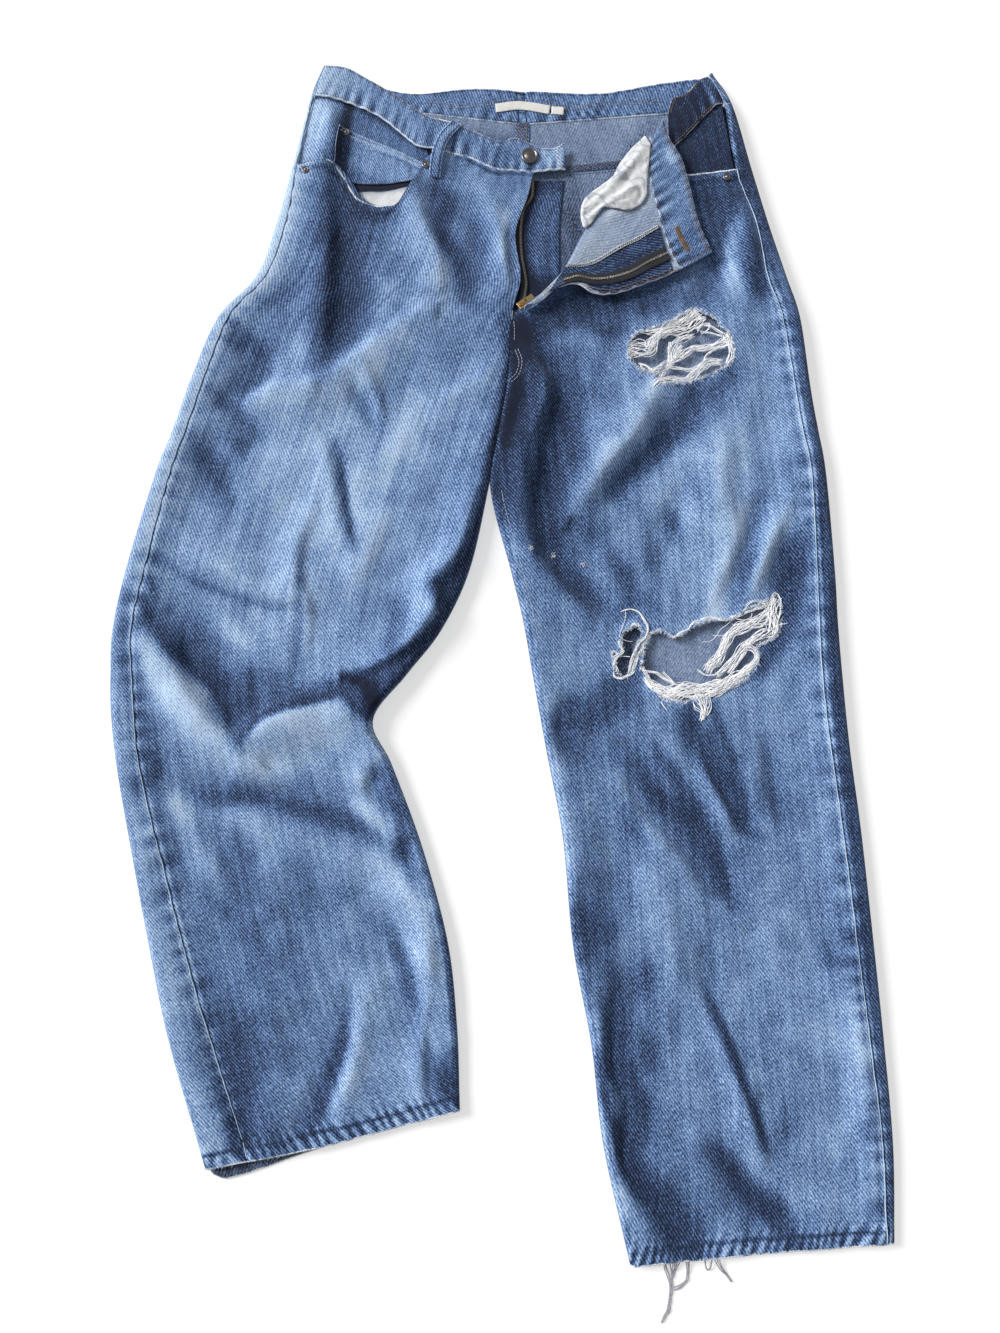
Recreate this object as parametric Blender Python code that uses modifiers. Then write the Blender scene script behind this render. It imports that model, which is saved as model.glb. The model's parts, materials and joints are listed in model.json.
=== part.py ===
"""Ripped five-pocket jeans, laid flat on their back with the fly open.

The waist points to +Y and the garment rests on z = 0. "Right" and "left" are the wearer's, so the
right leg lies at -X. Each half is a row of cross-sections from the waistband's top edge to the hem.
Every panel is a grid of points read from those sections and given a wall by a Solidify modifier.
What lies on a panel is made from the panel's own surface, moved out.
"""

import math
from collections import namedtuple

import bmesh
import bpy
import numpy as np

# Walls and gaps, in metres.
DENIM = 0.0014  # one layer of denim
BAND = 0.0022  # the waistband, two layers pressed flat
COTTON = 0.0010  # pocket bags and labels
SEAM = 0.0003  # clearance between pieces that are sewn together
OUTSEAM_SLACK = 0.0006  # more of it at the outseam, whose two edges bend between points
LOOSE = 0.0008  # clearance between layers that lie on each other
LIFT = 0.0017  # seat and waist lie this much higher, on the back pockets
LOWEST_TOP = 0.0038  # the front never sinks closer to the ground than both layers
SHOULDER = 0.045  # how far in from a side fold the cloth settles down

# Sizes of the hard pieces.
BUTTON_RADIUS = 0.0086
BUTTON_HEIGHT = 0.0042
RIVET_RADIUS = 0.0042
RIVET_HEIGHT = 0.0016
LOOP_WIDTH = 0.0125
SLIDER = (0.0078, 0.0100, 0.0030)  # across the zip, along it, thick
HINGE_RISE = 0.0011  # of the pull tab's axis above the slider's top
ARCH_WIDTH, ARCH_BAR, ARCH_REACH = 0.0016, 0.0010, 0.0027  # across, thick, legs from the axis
ARCH_RISE = 0.0022  # clear height under the arch
PULL = (0.0054, 0.0140, 0.0011)  # across, along, thick
PULL_RAIL = 0.0011  # width of the tab beside its eye
EYE_LENGTH = 0.0046
PULL_TILT = math.radians(3.0)
PULL_BEARING = math.radians(38.0)  # direction of the resting pull tab, from +X towards +Y

Section = namedtuple("Section", "name outer front back seam_in rim_out rim_in middle rolled")
# outer: the side fold. front, back: inner edge of the front and of the back panel, None where
# they are one.
# seam_in: the outseam's distance from the side fold. rim_out, rim_in: thickness at the folds.
# middle: height of the front between them. rolled: 0 at a flat centre seam, 1 on a leg's fold.
RIGHT_SECTIONS = [
    Section("top", (-0.170, 0.592), (0.056, 0.500), (0.0333, 0.567), 0.004, 0.012, 0.0, 0.0092, 0),
    Section("waist", (-0.182, 0.554), (0.046, 0.466), (0.0360, 0.527), 0.004, 0.013, 0.0, 0.0092, 0),
    Section("pocket", (-0.198, 0.474), (0.040, 0.440), (0.0350, 0.483), 0.006, 0.014, 0.0, 0.0092, 0),
    Section("hip", (-0.212, 0.410), (0.028, 0.400), (0.0320, 0.400), 0.011, 0.014, 0.0, 0.0088, 0),
    Section("fly", (-0.230, 0.352), (0.033, 0.352), (0.0300, 0.352), 0.012, 0.015, 0.0, 0.0085, 0),
    Section("fly_foot", (-0.265, 0.309), (0.024, 0.313), None, 0.013, 0.015, 0.0, 0.0075, 0),
    Section("crotch", (-0.290, 0.240), (0.0198, 0.246), None, 0.015, 0.015, 0.010, 0.0070, 0.5),
    Section("contact", (-0.304, 0.192), (0.0112, 0.192), None, 0.015, 0.015, 0.012, 0.0065, 1),
    Section("fork", (-0.318, 0.148), (0.0020, 0.137), None, 0.016, 0.015, 0.013, 0.0060, 1),
    Section("thigh", (-0.340, 0.054), (-0.016, 0.054), None, 0.019, 0.014, 0.014, 0.0060, 1),
    Section("above_knee", (-0.3488, -0.005), (-0.042, -0.004), None, 0.020, 0.014, 0.014, 0.0060, 1),
    Section("knee", (-0.3478, -0.045), (-0.074, -0.047), None, 0.022, 0.014, 0.016, 0.0070, 1),
    Section("tuck", (-0.3452, -0.080), (-0.104, -0.089), None, 0.023, 0.014, 0.018, 0.0080, 1),
    Section("below_knee", (-0.337, -0.130), (-0.086, -0.130), None, 0.022, 0.013, 0.014, 0.0070, 1),
    Section("calf", (-0.320, -0.202), (-0.058, -0.202), None, 0.026, 0.012, 0.012, 0.0060, 1),
    Section("shin", (-0.298, -0.289), (-0.034, -0.285), None, 0.031, 0.012, 0.012, 0.0060, 1),
    Section("ankle", (-0.275, -0.373), (-0.025, -0.357), None, 0.036, 0.011, 0.011, 0.0060, 1),
    Section("hem", (-0.239, -0.473), (-0.022, -0.426), None, 0.037, 0.009, 0.009, 0.0058, 1),
]
LEFT_SECTIONS = [
    Section("top", (0.232, 0.582), (0.1800, 0.532), (0.0337, 0.567), 0.006, 0.012, 0.0, 0.0092, 0),
    Section("waist", (0.251, 0.545), (0.1740, 0.503), (0.0364, 0.527), 0.010, 0.013, 0.0, 0.0092, 0),
    Section("pocket", (0.267, 0.474), (0.1520, 0.472), (0.0354, 0.483), 0.017, 0.014, 0.0, 0.0090, 0),
    Section("hip", (0.282, 0.410), (0.1080, 0.408), (0.0324, 0.400), 0.014, 0.014, 0.0, 0.0085, 0),
    Section("fly", (0.297, 0.352), (0.0780, 0.354), (0.0304, 0.352), 0.020, 0.015, 0.0, 0.0080, 0),
    Section("fly_foot", (0.308, 0.309), (0.0310, 0.313), (0.0244, 0.313), 0.018, 0.015, 0.0, 0.0075, 0),
    Section("crotch", (0.314, 0.240), (0.0202, 0.246), None, 0.016, 0.015, 0.010, 0.0070, 0.5),
    Section("contact", (0.320, 0.192), (0.0138, 0.192), None, 0.016, 0.015, 0.012, 0.0070, 1),
    Section("fork", (0.325, 0.148), (0.0090, 0.135), None, 0.015, 0.015, 0.013, 0.0068, 1),
    Section("thigh", (0.328, 0.054), (0.0230, 0.054), None, 0.017, 0.014, 0.013, 0.0068, 1),
    Section("above_knee", (0.328, 0.005), (0.0340, 0.005), None, 0.018, 0.014, 0.013, 0.0070, 1),
    Section("knee", (0.329, -0.042), (0.0420, -0.042), None, 0.019, 0.014, 0.013, 0.0070, 1),
    Section("below_knee", (0.332, -0.112), (0.0540, -0.112), None, 0.018, 0.013, 0.012, 0.0065, 1),
    Section("calf", (0.338, -0.190), (0.0690, -0.195), None, 0.017, 0.012, 0.012, 0.0060, 1),
    Section("shin", (0.343, -0.289), (0.0770, -0.289), None, 0.015, 0.012, 0.012, 0.0060, 1),
    Section("ankle", (0.3468, -0.373), (0.0920, -0.373), None, 0.013, 0.011, 0.011, 0.0060, 1),
    Section("cuff", (0.3491, -0.455), (0.1010, -0.455), None, 0.010, 0.010, 0.010, 0.0058, 1),
    Section("hem", (0.3452, -0.532), (0.1220, -0.550), None, 0.007, 0.009, 0.009, 0.0058, 1),
]

Fold = namedtuple("Fold", "name path width height")
# path: the line the fold follows. width: from its crest to where it fades. height: + ridge, - trough.
RIGHT_FOLDS = [
    Fold("side bulge", [(-0.168, 0.535), (-0.163, 0.490)], 0.016, 0.007),
    Fold("pocket drop", [(-0.151, 0.470), (-0.158, 0.385), (-0.161, 0.300)], 0.016, -0.004),
    Fold("pocket corner", [(-0.064, 0.455), (-0.087, 0.374), (-0.098, 0.300)], 0.030, 0.005),
    Fold("hip crest", [(-0.236, 0.230), (-0.163, 0.246), (-0.130, 0.272)], 0.030, 0.006),
    Fold("thigh crease", [(-0.150, 0.140), (-0.174, 0.080), (-0.167, 0.005)], 0.018, 0.006),
    Fold("inner thigh", [(-0.020, 0.080), (-0.045, 0.030), (-0.090, -0.030)], 0.030, 0.009),
    Fold("knee ridge", [(-0.323, -0.014), (-0.283, -0.070), (-0.225, -0.126)], 0.022, 0.006),
    Fold("knee mound", [(-0.215, -0.100), (-0.181, -0.077), (-0.131, -0.070)], 0.022, 0.010),
    Fold("calf swell", [(-0.290, -0.175), (-0.200, -0.185), (-0.110, -0.225)], 0.034, 0.006),
    Fold("shin swell", [(-0.120, -0.270), (-0.110, -0.350)], 0.030, 0.005),
    Fold("ankle ridge", [(-0.180, -0.360), (-0.190, -0.440)], 0.028, 0.005),
]
LEFT_FOLDS = [
    Fold("inseam ridge", [(0.046, 0.270), (0.055, 0.246), (0.049, 0.214), (0.035, 0.150)], 0.014, 0.006),
    Fold("thigh ridge", [(0.159, 0.230), (0.128, 0.173), (0.092, 0.120)], 0.024, 0.007),
    Fold("thigh swell", [(0.225, 0.210), (0.215, 0.110)], 0.030, 0.005),
    Fold("side crease", [(0.275, 0.130), (0.262, 0.070), (0.245, 0.040)], 0.016, 0.004),
    Fold("inner knee", [(0.064, 0.030), (0.085, -0.060)], 0.024, 0.005),
    Fold("calf swell", [(0.075, -0.100), (0.140, -0.130), (0.230, -0.130)], 0.030, 0.005),
    Fold("calf ridge", [(0.230, -0.180), (0.270, -0.300)], 0.032, 0.005),
    Fold("shin ridge", [(0.135, -0.330), (0.155, -0.430)], 0.022, 0.005),
    Fold("ankle ridge", [(0.205, -0.360), (0.235, -0.440)], 0.022, 0.006),
    Fold("cuff ridge", [(0.170, -0.470), (0.200, -0.520)], 0.016, 0.004),
]

# Sewn edges, each a few points that a smooth line runs through.
RIGHT_MOUTH = [
    (-0.195, 0.474), (-0.172, 0.478), (-0.157, 0.475), (-0.145, 0.461), (-0.133, 0.440),
    (-0.116, 0.431), (-0.098, 0.431), (-0.084, 0.452), (-0.070, 0.478), (-0.058, 0.491),
]
RIGHT_SEAM = [
    (-0.036, 0.487), (-0.018, 0.482), (-0.003, 0.473),
    (0.010, 0.468), (0.030, 0.468), (0.046, 0.466),
]
RIGHT_BAND_LOW = [
    (-0.1748, 0.5525), (-0.147, 0.548), (-0.126, 0.539), (-0.105, 0.526), (-0.090, 0.513),
    (-0.072, 0.497), (-0.054, 0.494), (-0.036, 0.488), (-0.018, 0.4835), (-0.003, 0.4755),
    (0.010, 0.4705), (0.030, 0.4695), (0.048, 0.4685), (0.079, 0.4715),
]
RIGHT_BAND_TOP = [
    (-0.1628, 0.5880), (-0.148, 0.587), (-0.130, 0.579), (-0.096, 0.557), (-0.075, 0.541),
    (-0.057, 0.530), (-0.033, 0.523), (-0.018, 0.516), (0.012, 0.503), (0.028, 0.507),
    (0.043, 0.501), (0.053, 0.496), (0.068, 0.496), (0.077, 0.501),
]
LEFT_MOUTH = [(0.249, 0.467), (0.225, 0.466), (0.200, 0.464), (0.178, 0.470), (0.160, 0.484)]
LEFT_BAND_LOW = [(0.2408, 0.5442), (0.233, 0.542), (0.217, 0.526), (0.196, 0.503), (0.184, 0.492)]
LEFT_BAND_TOP = [
    (0.2258, 0.5752), (0.2210, 0.5740), (0.214, 0.568),
    (0.203, 0.557), (0.190, 0.552), (0.184, 0.533),
]

# The turned-back front, from the fly's foot to the waistband: its fold and its open edge.
TURN_FOLD = [
    (0.036, 0.318), (0.052, 0.330), (0.076, 0.358), (0.098, 0.400),
    (0.121, 0.430), (0.150, 0.474), (0.165, 0.499),
]
TURN_EDGE = [
    (0.046, 0.322), (0.067, 0.337), (0.088, 0.341), (0.111, 0.333),
    (0.134, 0.335), (0.160, 0.345), (0.190, 0.357),
]
TURN_BAND_LOW = [
    (0.1655, 0.498), (0.1605, 0.475), (0.164, 0.447), (0.170, 0.419),
    (0.176, 0.395), (0.183, 0.372), (0.1915, 0.357),
]
TURN_BAND_TOP = [
    (0.178, 0.522), (0.183, 0.500), (0.194, 0.479), (0.200, 0.459),
    (0.205, 0.435), (0.211, 0.407), (0.223, 0.377),
]
TURN_RADIUS = 0.0036  # of the fold, on its hollow side
TURN_GAP = np.array([0.0009, 0.0])  # between the turned-back panel and its waistband
TURN_DROP = 0.0035  # how much lower the turned-back cloth lies at its far edge

Hole = namedtuple("Hole", "name outline")
HOLES = [
    Hole(
        "thigh_hole",
        [(0.136, 0.272), (0.146, 0.292), (0.170, 0.303), (0.200, 0.315), (0.224, 0.306),
         (0.238, 0.285), (0.234, 0.260), (0.200, 0.246), (0.165, 0.238), (0.155, 0.250)],
    ),
    Hole(
        "knee_hole",
        [(0.142, -0.030), (0.143, -0.008), (0.172, -0.012), (0.200, 0.000), (0.228, 0.004),
         (0.255, 0.020), (0.273, 0.027), (0.271, -0.004), (0.250, -0.030), (0.246, -0.048),
         (0.208, -0.070), (0.160, -0.068)],
    ),
    Hole(
        "knee_slit",
        [(0.120, -0.010), (0.128, 0.008), (0.134, -0.010), (0.132, -0.042), (0.122, -0.040)],
    ),
]

ON_BACK = DENIM + SEAM + COTTON  # top of the threads in a hole, which lie on the back panel
BELOW_HEM = 0.0014  # top of the threads that hang from the hem and lie on the ground
Threads = namedtuple("Threads", "name width height path")
# Loose threads as flat bands of their reach. width: at even steps of the path. height: of the top.
THREADS = [
    Threads(
        "thigh_threads_upper", [0.014, 0.016, 0.018, 0.016], ON_BACK,
        [(0.142, 0.276), (0.165, 0.292), (0.192, 0.298), (0.226, 0.292)],
    ),
    Threads(
        "thigh_threads_lower", [0.012, 0.014, 0.016, 0.014], ON_BACK,
        [(0.150, 0.258), (0.175, 0.256), (0.200, 0.266), (0.228, 0.272)],
    ),
    Threads(
        "knee_threads_right", [0.012, 0.016, 0.014, 0.010], ON_BACK,
        [(0.268, 0.018), (0.262, -0.006), (0.240, -0.034), (0.222, -0.046)],
    ),
    Threads(
        "knee_threads_lower", [0.008, 0.012, 0.010, 0.008], ON_BACK,
        [(0.147, -0.040), (0.162, -0.056), (0.190, -0.062), (0.210, -0.056)],
    ),
    Threads(
        "knee_threads_upper", [0.004, 0.004, 0.004, 0.004], ON_BACK,
        [(0.148, -0.014), (0.172, -0.019), (0.200, -0.008), (0.236, 0.004)],
    ),
    Threads(
        "knee_threads_left", [0.004, 0.005, 0.004], ON_BACK,
        [(0.126, 0.002), (0.130, -0.016), (0.126, -0.034)],
    ),
    Threads(
        "hem_threads_long", [0.016, 0.012, 0.006, 0.003], BELOW_HEM,
        [(0.163, -0.5488), (0.160, -0.566), (0.155, -0.578), (0.149, -0.5912)],
    ),
    Threads(
        "hem_threads_short", [0.006, 0.004, 0.002], BELOW_HEM,
        [(0.196, -0.5455), (0.202, -0.556), (0.208, -0.565)],
    ),
]


# ---------------------------------------------------------------- curves and sections
def smoothstep(t):
    t = np.clip(t, 0.0, 1.0)
    return t * t * (3.0 - 2.0 * t)


def spline(points, knots, at):
    """Points of a smooth curve through points, which lie at the rising values knots."""
    points = np.asarray(points, float)
    at = np.asarray(at, float)
    ends = [2.0 * points[0] - points[1], *points, 2.0 * points[-1] - points[-2]]
    ends = np.array(ends)
    i = np.clip(np.searchsorted(knots, at, side="right") - 1, 0, len(points) - 2)
    t = ((at - knots[i]) / (knots[i + 1] - knots[i]))[..., None]
    before, start, end, after = ends[i], ends[i + 1], ends[i + 2], ends[i + 3]
    bend = 2.0 * before - 5.0 * start + 4.0 * end - after
    return start + 0.5 * t * (end - before + t * (bend + t * (3.0 * (start - end) + after - before)))


def along(points, at):
    """Points at the fractions at of the length of a smooth curve through points."""
    points = np.asarray(points, float)
    steps = np.linalg.norm(np.diff(points, axis=0), axis=1)
    knots = np.concatenate([[0.0], np.cumsum(steps)]) / steps.sum()
    return spline(points, knots, at)


def distance_to(path, x, y):
    """Distance from the points (x, y) to a broken line, and how far along it, 0 to 1."""
    path = np.asarray(path, float)
    best = np.full(np.shape(x), np.inf)
    place = np.zeros(np.shape(x))
    for k, (a, b) in enumerate(zip(path[:-1], path[1:])):
        step = b - a
        t = ((x - a[0]) * step[0] + (y - a[1]) * step[1]) / (step @ step)
        t = np.clip(t, 0.0, 1.0)
        far = np.hypot(x - a[0] - t * step[0], y - a[1] - t * step[1])
        place = np.where(far < best, (k + t) / (len(path) - 1), place)
        best = np.minimum(best, far)
    return best, place


def lift(y):
    """How high the underside lies: the seat rests on the back pockets."""
    return LIFT * smoothstep((y - 0.205) / 0.045)


def underside(x, y):
    return lift(y) + np.zeros(np.shape(x))


class Half:
    """One half of the jeans, read from its sections. s counts sections from the waistband's top
    edge, and u runs across a section from the side fold (0) to its inner edge (1)."""

    def __init__(self, sections, folds, side):
        self.folds = folds
        self.side = side  # -1 right, +1 left
        self.last = len(sections) - 1
        self.knots = np.arange(len(sections), dtype=float)
        rows = [[*row.outer, *row.front, *(row.back or row.front), *row[4:]] for row in sections]
        self.table = np.array(rows, float)

    def read(self, s):
        """Rows of outer x, y, front x, y, back x, y, seam_in, rim_out, rim_in, middle, rolled."""
        return spline(self.table, self.knots, np.clip(s, -0.5, self.last))

    def place(self, s, u, back=False):
        row = self.read(s)
        inner = row[..., 4:6] if back else row[..., 2:4]
        return row[..., 0:2] + (inner - row[..., 0:2]) * np.asarray(u)[..., None]

    def locate(self, x, y, back=False):
        """The (s, u) whose section passes through each point (x, y)."""
        low = np.full(np.shape(x), -0.5)
        high = np.full(np.shape(x), float(self.last))
        for _ in range(26):
            s = 0.5 * (low + high)
            row = self.read(s)
            inner = row[..., 4:6] if back else row[..., 2:4]
            across = inner - row[..., 0:2]
            cross = across[..., 0] * (y - row[..., 1]) - across[..., 1] * (x - row[..., 0])
            above = cross * -self.side > 0.0
            high = np.where(above, s, high)
            low = np.where(above, low, s)
        reach = (x - row[..., 0]) * across[..., 0] + (y - row[..., 1]) * across[..., 1]
        return s, reach / (across**2).sum(axis=-1)

    def top(self, x, y):
        """Height of the front's outer face over (x, y)."""
        x, y = np.asarray(x, float), np.asarray(y, float)
        s, u = self.locate(x, y)
        row = self.read(s)
        width = np.linalg.norm(row[..., 2:4] - row[..., 0:2], axis=-1)
        rim_out, rim_in, middle, rolled = (row[..., k] for k in (7, 8, 9, 10))
        rolled = np.clip(rolled, 0.0, 1.0)
        out, into = np.maximum(u * width, 0.0), np.maximum((1.0 - u) * width, 0.0)
        height = middle + self.rim(out, rim_out, middle) + rolled * self.rim(into, rim_in, middle)
        calm = smoothstep(out / 0.03) * (1.0 - rolled + rolled * smoothstep(into / 0.02))
        for fold in self.folds:
            far, place = distance_to(fold.path, x, y)
            taper = 0.35 + 0.65 * np.sin(np.pi * np.clip(place, 0.02, 0.98)) ** 0.5
            height = height + calm * fold.height * taper * np.exp(-((far / fold.width) ** 2))
        edge = np.where(out < 0.004, 0.0, LOWEST_TOP)
        return lift(y) + np.maximum(height, edge)

    @staticmethod
    def rim(far, rim, middle):
        """Height to add at the distance far from a fold of the thickness rim."""
        radius = 0.5 * np.maximum(rim, 0.001)
        swell = (rim - middle) * (1.0 - smoothstep((far - radius) / SHOULDER))
        inside = np.clip(1.0 - far / radius, 0.0, 1.0)
        round_off = radius * (1.0 - np.sqrt(1.0 - inside**2))
        return swell - round_off

    def ladder(self, start, rows):
        """Values of s for a panel's rows: SEAT_ROWS from start to section LEVEL, which follow the
        panel's own top edge, then rows that every panel of this half shares."""
        v = np.linspace(0.0, 1.0, SEAT_ROWS + 1)[:-1, None]
        seat = start + (LEVEL - start) * v
        legs = np.linspace(LEVEL, self.last, rows - SEAT_ROWS)[:, None] + np.zeros_like(start)
        return np.concatenate([seat, legs])

    def front_grid(self, top_edge, columns, rows):
        """Outer points of the front panel, from top_edge down to the hem, outseam to inner edge."""
        edge = along(top_edge, np.linspace(0.0, 1.0, 80))
        edge_s, edge_u = self.locate(edge[:, 0], edge[:, 1])
        order = np.argsort(edge_u)
        u = np.concatenate([np.linspace(0.0, 0.96, columns - 2), [0.98, 1.0]])
        start = np.interp(u, edge_u[order], edge_s[order])
        s = self.ladder(start, rows)
        row = self.read(s)
        width = np.linalg.norm(row[..., 2:4] - row[..., 0:2], axis=-1)
        rolled = np.clip(row[..., 10], 0.0, 1.0)
        turn = 0.5 * row[..., 8] * rolled
        inset = [turn, turn * (1.0 - math.cos(1.0)), turn * (1.0 - math.cos(INSEAM_TURN + 0.3))]
        first = row[..., 6] + 0.5 * SEAM
        far = first + (width - inset[0] - 0.002 - first) * u / 0.96
        far[:, -2] = (width - inset[1])[:, -2] - 0.5 * (SEAM + 0.001)
        far[:, -1] = (width - inset[2])[:, -1] - 0.5 * SEAM
        point = self.place(s, far / width)
        return np.dstack([point, self.top(point[..., 0], point[..., 1])])

    def back_strip(self, start, end, rows):
        """Outer points of the back between two lines of s, each given at the side and the centre."""
        column = np.linspace(0.0, 1.0, len(BACK_COLUMNS))
        v = np.linspace(0.0, 1.0, rows)[:, None]
        top = start[0] + (start[1] - start[0]) * column
        foot = end[0] + (end[1] - end[0]) * column
        return self.back_points(top + (foot - top) * v)

    def back_panel(self, start, rows):
        """Outer points of the back from the line of s called start down to the hem."""
        column = np.linspace(0.0, 1.0, len(BACK_COLUMNS))
        return self.back_points(self.ladder(start[0] + (start[1] - start[0]) * column, rows))

    def back_points(self, s):
        """From the outseam round the side fold and along the underside to the inner edge."""
        row = self.read(s)
        points = np.zeros((*s.shape, 3))
        for k, (kind, value) in enumerate(BACK_COLUMNS):
            points[:, k] = self.back_point(row[:, k], kind, value)
        return points

    def back_point(self, row, kind, value):
        outer, front, back = row[:, 0:2], row[:, 2:4], row[:, 4:6]
        seam_in, rim_out, rim_in = row[:, 6], row[:, 7], row[:, 8]
        rolled = np.clip(row[:, 10], 0.0, 1.0)
        to_front, to_back = front - outer, back - outer
        width = np.linalg.norm(to_back, axis=1)
        to_front = to_front / np.linalg.norm(to_front, axis=1)[:, None]
        to_back = to_back / width[:, None]
        if kind == "over":  # on top, between the outseam and the side fold
            far = (seam_in - 0.5 * SEAM - OUTSEAM_SLACK) * (1.0 - value) + 0.3 * rim_out * value
            spot = outer + to_front * far[:, None]
            return np.column_stack([spot, self.top(spot[:, 0], spot[:, 1])])
        if kind == "side":  # round the side fold, value is the angle from its outermost line
            spot = outer + to_back * (0.5 * rim_out * (1.0 - math.cos(value)))[:, None]
            return np.column_stack([spot, lift(spot[:, 1]) + 0.5 * rim_out * (1.0 + math.sin(value))])
        start, end = 0.5 * rim_out, width - 0.5 * rim_in
        if kind == "under":  # flat on the ground, value is the share of the way across
            spot = outer + to_back * (start + (end - start) * value)[:, None]
            return np.column_stack([spot, lift(spot[:, 1])])
        flat_share = (value + math.pi / 2) / (INSEAM_TURN + math.pi / 2)
        flat = 0.004 * (1.0 - flat_share) + 0.5 * SEAM  # kind "inner": round the leg's inner fold
        far = rolled * (0.5 * rim_in * (1.0 - math.cos(value))) + (1.0 - rolled) * flat
        spot = outer + to_back * (width - far)[:, None]
        rise = rolled * 0.5 * rim_in * (1.0 + math.sin(value))
        return np.column_stack([spot, lift(spot[:, 1]) + rise])


INSEAM_TURN = 0.35  # angle up the inner fold at which the back panel ends
BACK_COLUMNS = [
    ("over", 0.0), ("over", 0.8), ("side", 0.25), ("side", -0.55), ("side", -math.pi / 2),
    ("under", 0.2), ("under", 0.4), ("under", 0.6), ("under", 0.8),
    ("inner", -math.pi / 2), ("inner", -0.75), ("inner", 0.0), ("inner", INSEAM_TURN),
]
RIGHT = Half(RIGHT_SECTIONS, RIGHT_FOLDS, -1)
LEFT = Half(LEFT_SECTIONS, LEFT_FOLDS, 1)


# ---------------------------------------------------------------- making objects
def start_scene():
    for obj in list(bpy.data.objects):
        bpy.data.objects.remove(obj, do_unlink=True)
    made = []
    for name in ("ripped_jeans", "cutters"):
        collection = bpy.data.collections.new(name)
        bpy.context.scene.collection.children.link(collection)
        made.append(collection)
    made[1].hide_render = True
    return made


PARTS, CUTTERS = start_scene()


def material(name, colour, roughness=0.9, metallic=0.0):
    made = bpy.data.materials.new(name)
    made.use_nodes = True
    shader = made.node_tree.nodes["Principled BSDF"]
    shader.inputs["Base Color"].default_value = (*colour, 1.0)
    shader.inputs["Roughness"].default_value = roughness
    shader.inputs["Metallic"].default_value = metallic
    return made


DENIM_OUT = material("denim_outside", (0.17, 0.27, 0.44))
DENIM_IN = material("denim_inside", (0.36, 0.45, 0.58))
DENIM_DARK = material("denim_shaded", (0.11, 0.19, 0.35))
WHITE = material("white_cotton", (0.86, 0.86, 0.84))
BLACK_TAPE = material("zip_tape", (0.02, 0.02, 0.025))
BRASS = material("brass", (0.62, 0.44, 0.20), 0.35, 1.0)
DARK_METAL = material("antique_metal", (0.16, 0.13, 0.12), 0.4, 1.0)


def keep(obj, look, collection=PARTS):
    if look is not None:
        obj.data.materials.append(look)
    for owner in list(obj.users_collection):
        owner.objects.unlink(obj)
    collection.objects.link(obj)
    return obj


def sheet(name, points, wall, look, facing=1.0):
    """A wall through a grid of outer points (rows, columns, 3), which face up (1) or down (-1) on
    the whole. The wall goes to their other side."""
    rows, columns = points.shape[:2]
    mesh = bmesh.new()
    bmesh.ops.create_grid(mesh, x_segments=columns - 1, y_segments=rows - 1, size=1.0)
    for vert in mesh.verts:
        column = round((vert.co.x + 1.0) / 2.0 * (columns - 1))
        row = round((vert.co.y + 1.0) / 2.0 * (rows - 1))
        vert.co = points[row, column]
    mesh.normal_update()
    if facing * sum(face.normal.z * face.calc_area() for face in mesh.faces) < 0.0:
        bmesh.ops.reverse_faces(mesh, faces=mesh.faces)
    data = bpy.data.meshes.new(name)
    mesh.to_mesh(data)
    mesh.free()
    obj = keep(bpy.data.objects.new(name, data), look)
    solidify = obj.modifiers.new("wall", "SOLIDIFY")
    solidify.thickness = wall
    solidify.offset = -1.0
    solidify.use_even_offset = True
    data.shade_smooth()
    return obj


def between(upper, lower, rows, columns, height):
    """Grid of points from the curve upper to the curve lower, at the height function's level."""
    at = np.linspace(0.0, 1.0, columns)
    first, last = along(upper, at), along(lower, at)
    v = np.linspace(0.0, 1.0, rows)[:, None, None]
    flat = first + (last - first) * v
    return np.dstack([flat, height(flat[..., 0], flat[..., 1])])


def band_along(path, widths, rows, height):
    """Grid of points of a band of the given widths along a path."""
    at = np.linspace(0.0, 1.0, rows)
    centre = along(path, at)
    step = np.gradient(centre, axis=0)
    step /= np.linalg.norm(step, axis=1)[:, None]
    normal = np.column_stack([-step[:, 1], step[:, 0]])
    half = 0.5 * np.interp(at, np.linspace(0.0, 1.0, len(widths)), widths)[:, None]
    flat = np.stack([centre - normal * half, centre, centre + normal * half], axis=1)
    return np.dstack([flat, height(flat[..., 0], flat[..., 1])])


def level(value):
    """A height function that is the same everywhere."""
    return lambda x, y: np.full(np.shape(x), value)


def above(surface, rise):
    """The height function surface, moved up by rise."""
    return lambda x, y: surface(x, y) + rise


def mesh_of(curve):
    """A mesh copy of a curve object, welded, in its place."""
    graph = bpy.context.evaluated_depsgraph_get()
    data = bpy.data.meshes.new_from_object(curve.evaluated_get(graph))
    mesh = bmesh.new()
    mesh.from_mesh(data)
    bmesh.ops.remove_doubles(mesh, verts=mesh.verts, dist=1e-6)
    bmesh.ops.recalc_face_normals(mesh, faces=mesh.faces)
    mesh.to_mesh(data)
    mesh.free()
    made = bpy.data.objects.new(curve.name + "_mesh", data)
    made.matrix_world = curve.matrix_world.copy()
    name = curve.name
    bpy.data.objects.remove(curve, do_unlink=True)
    made.name = name
    bpy.context.scene.collection.objects.link(made)
    return made


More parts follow.
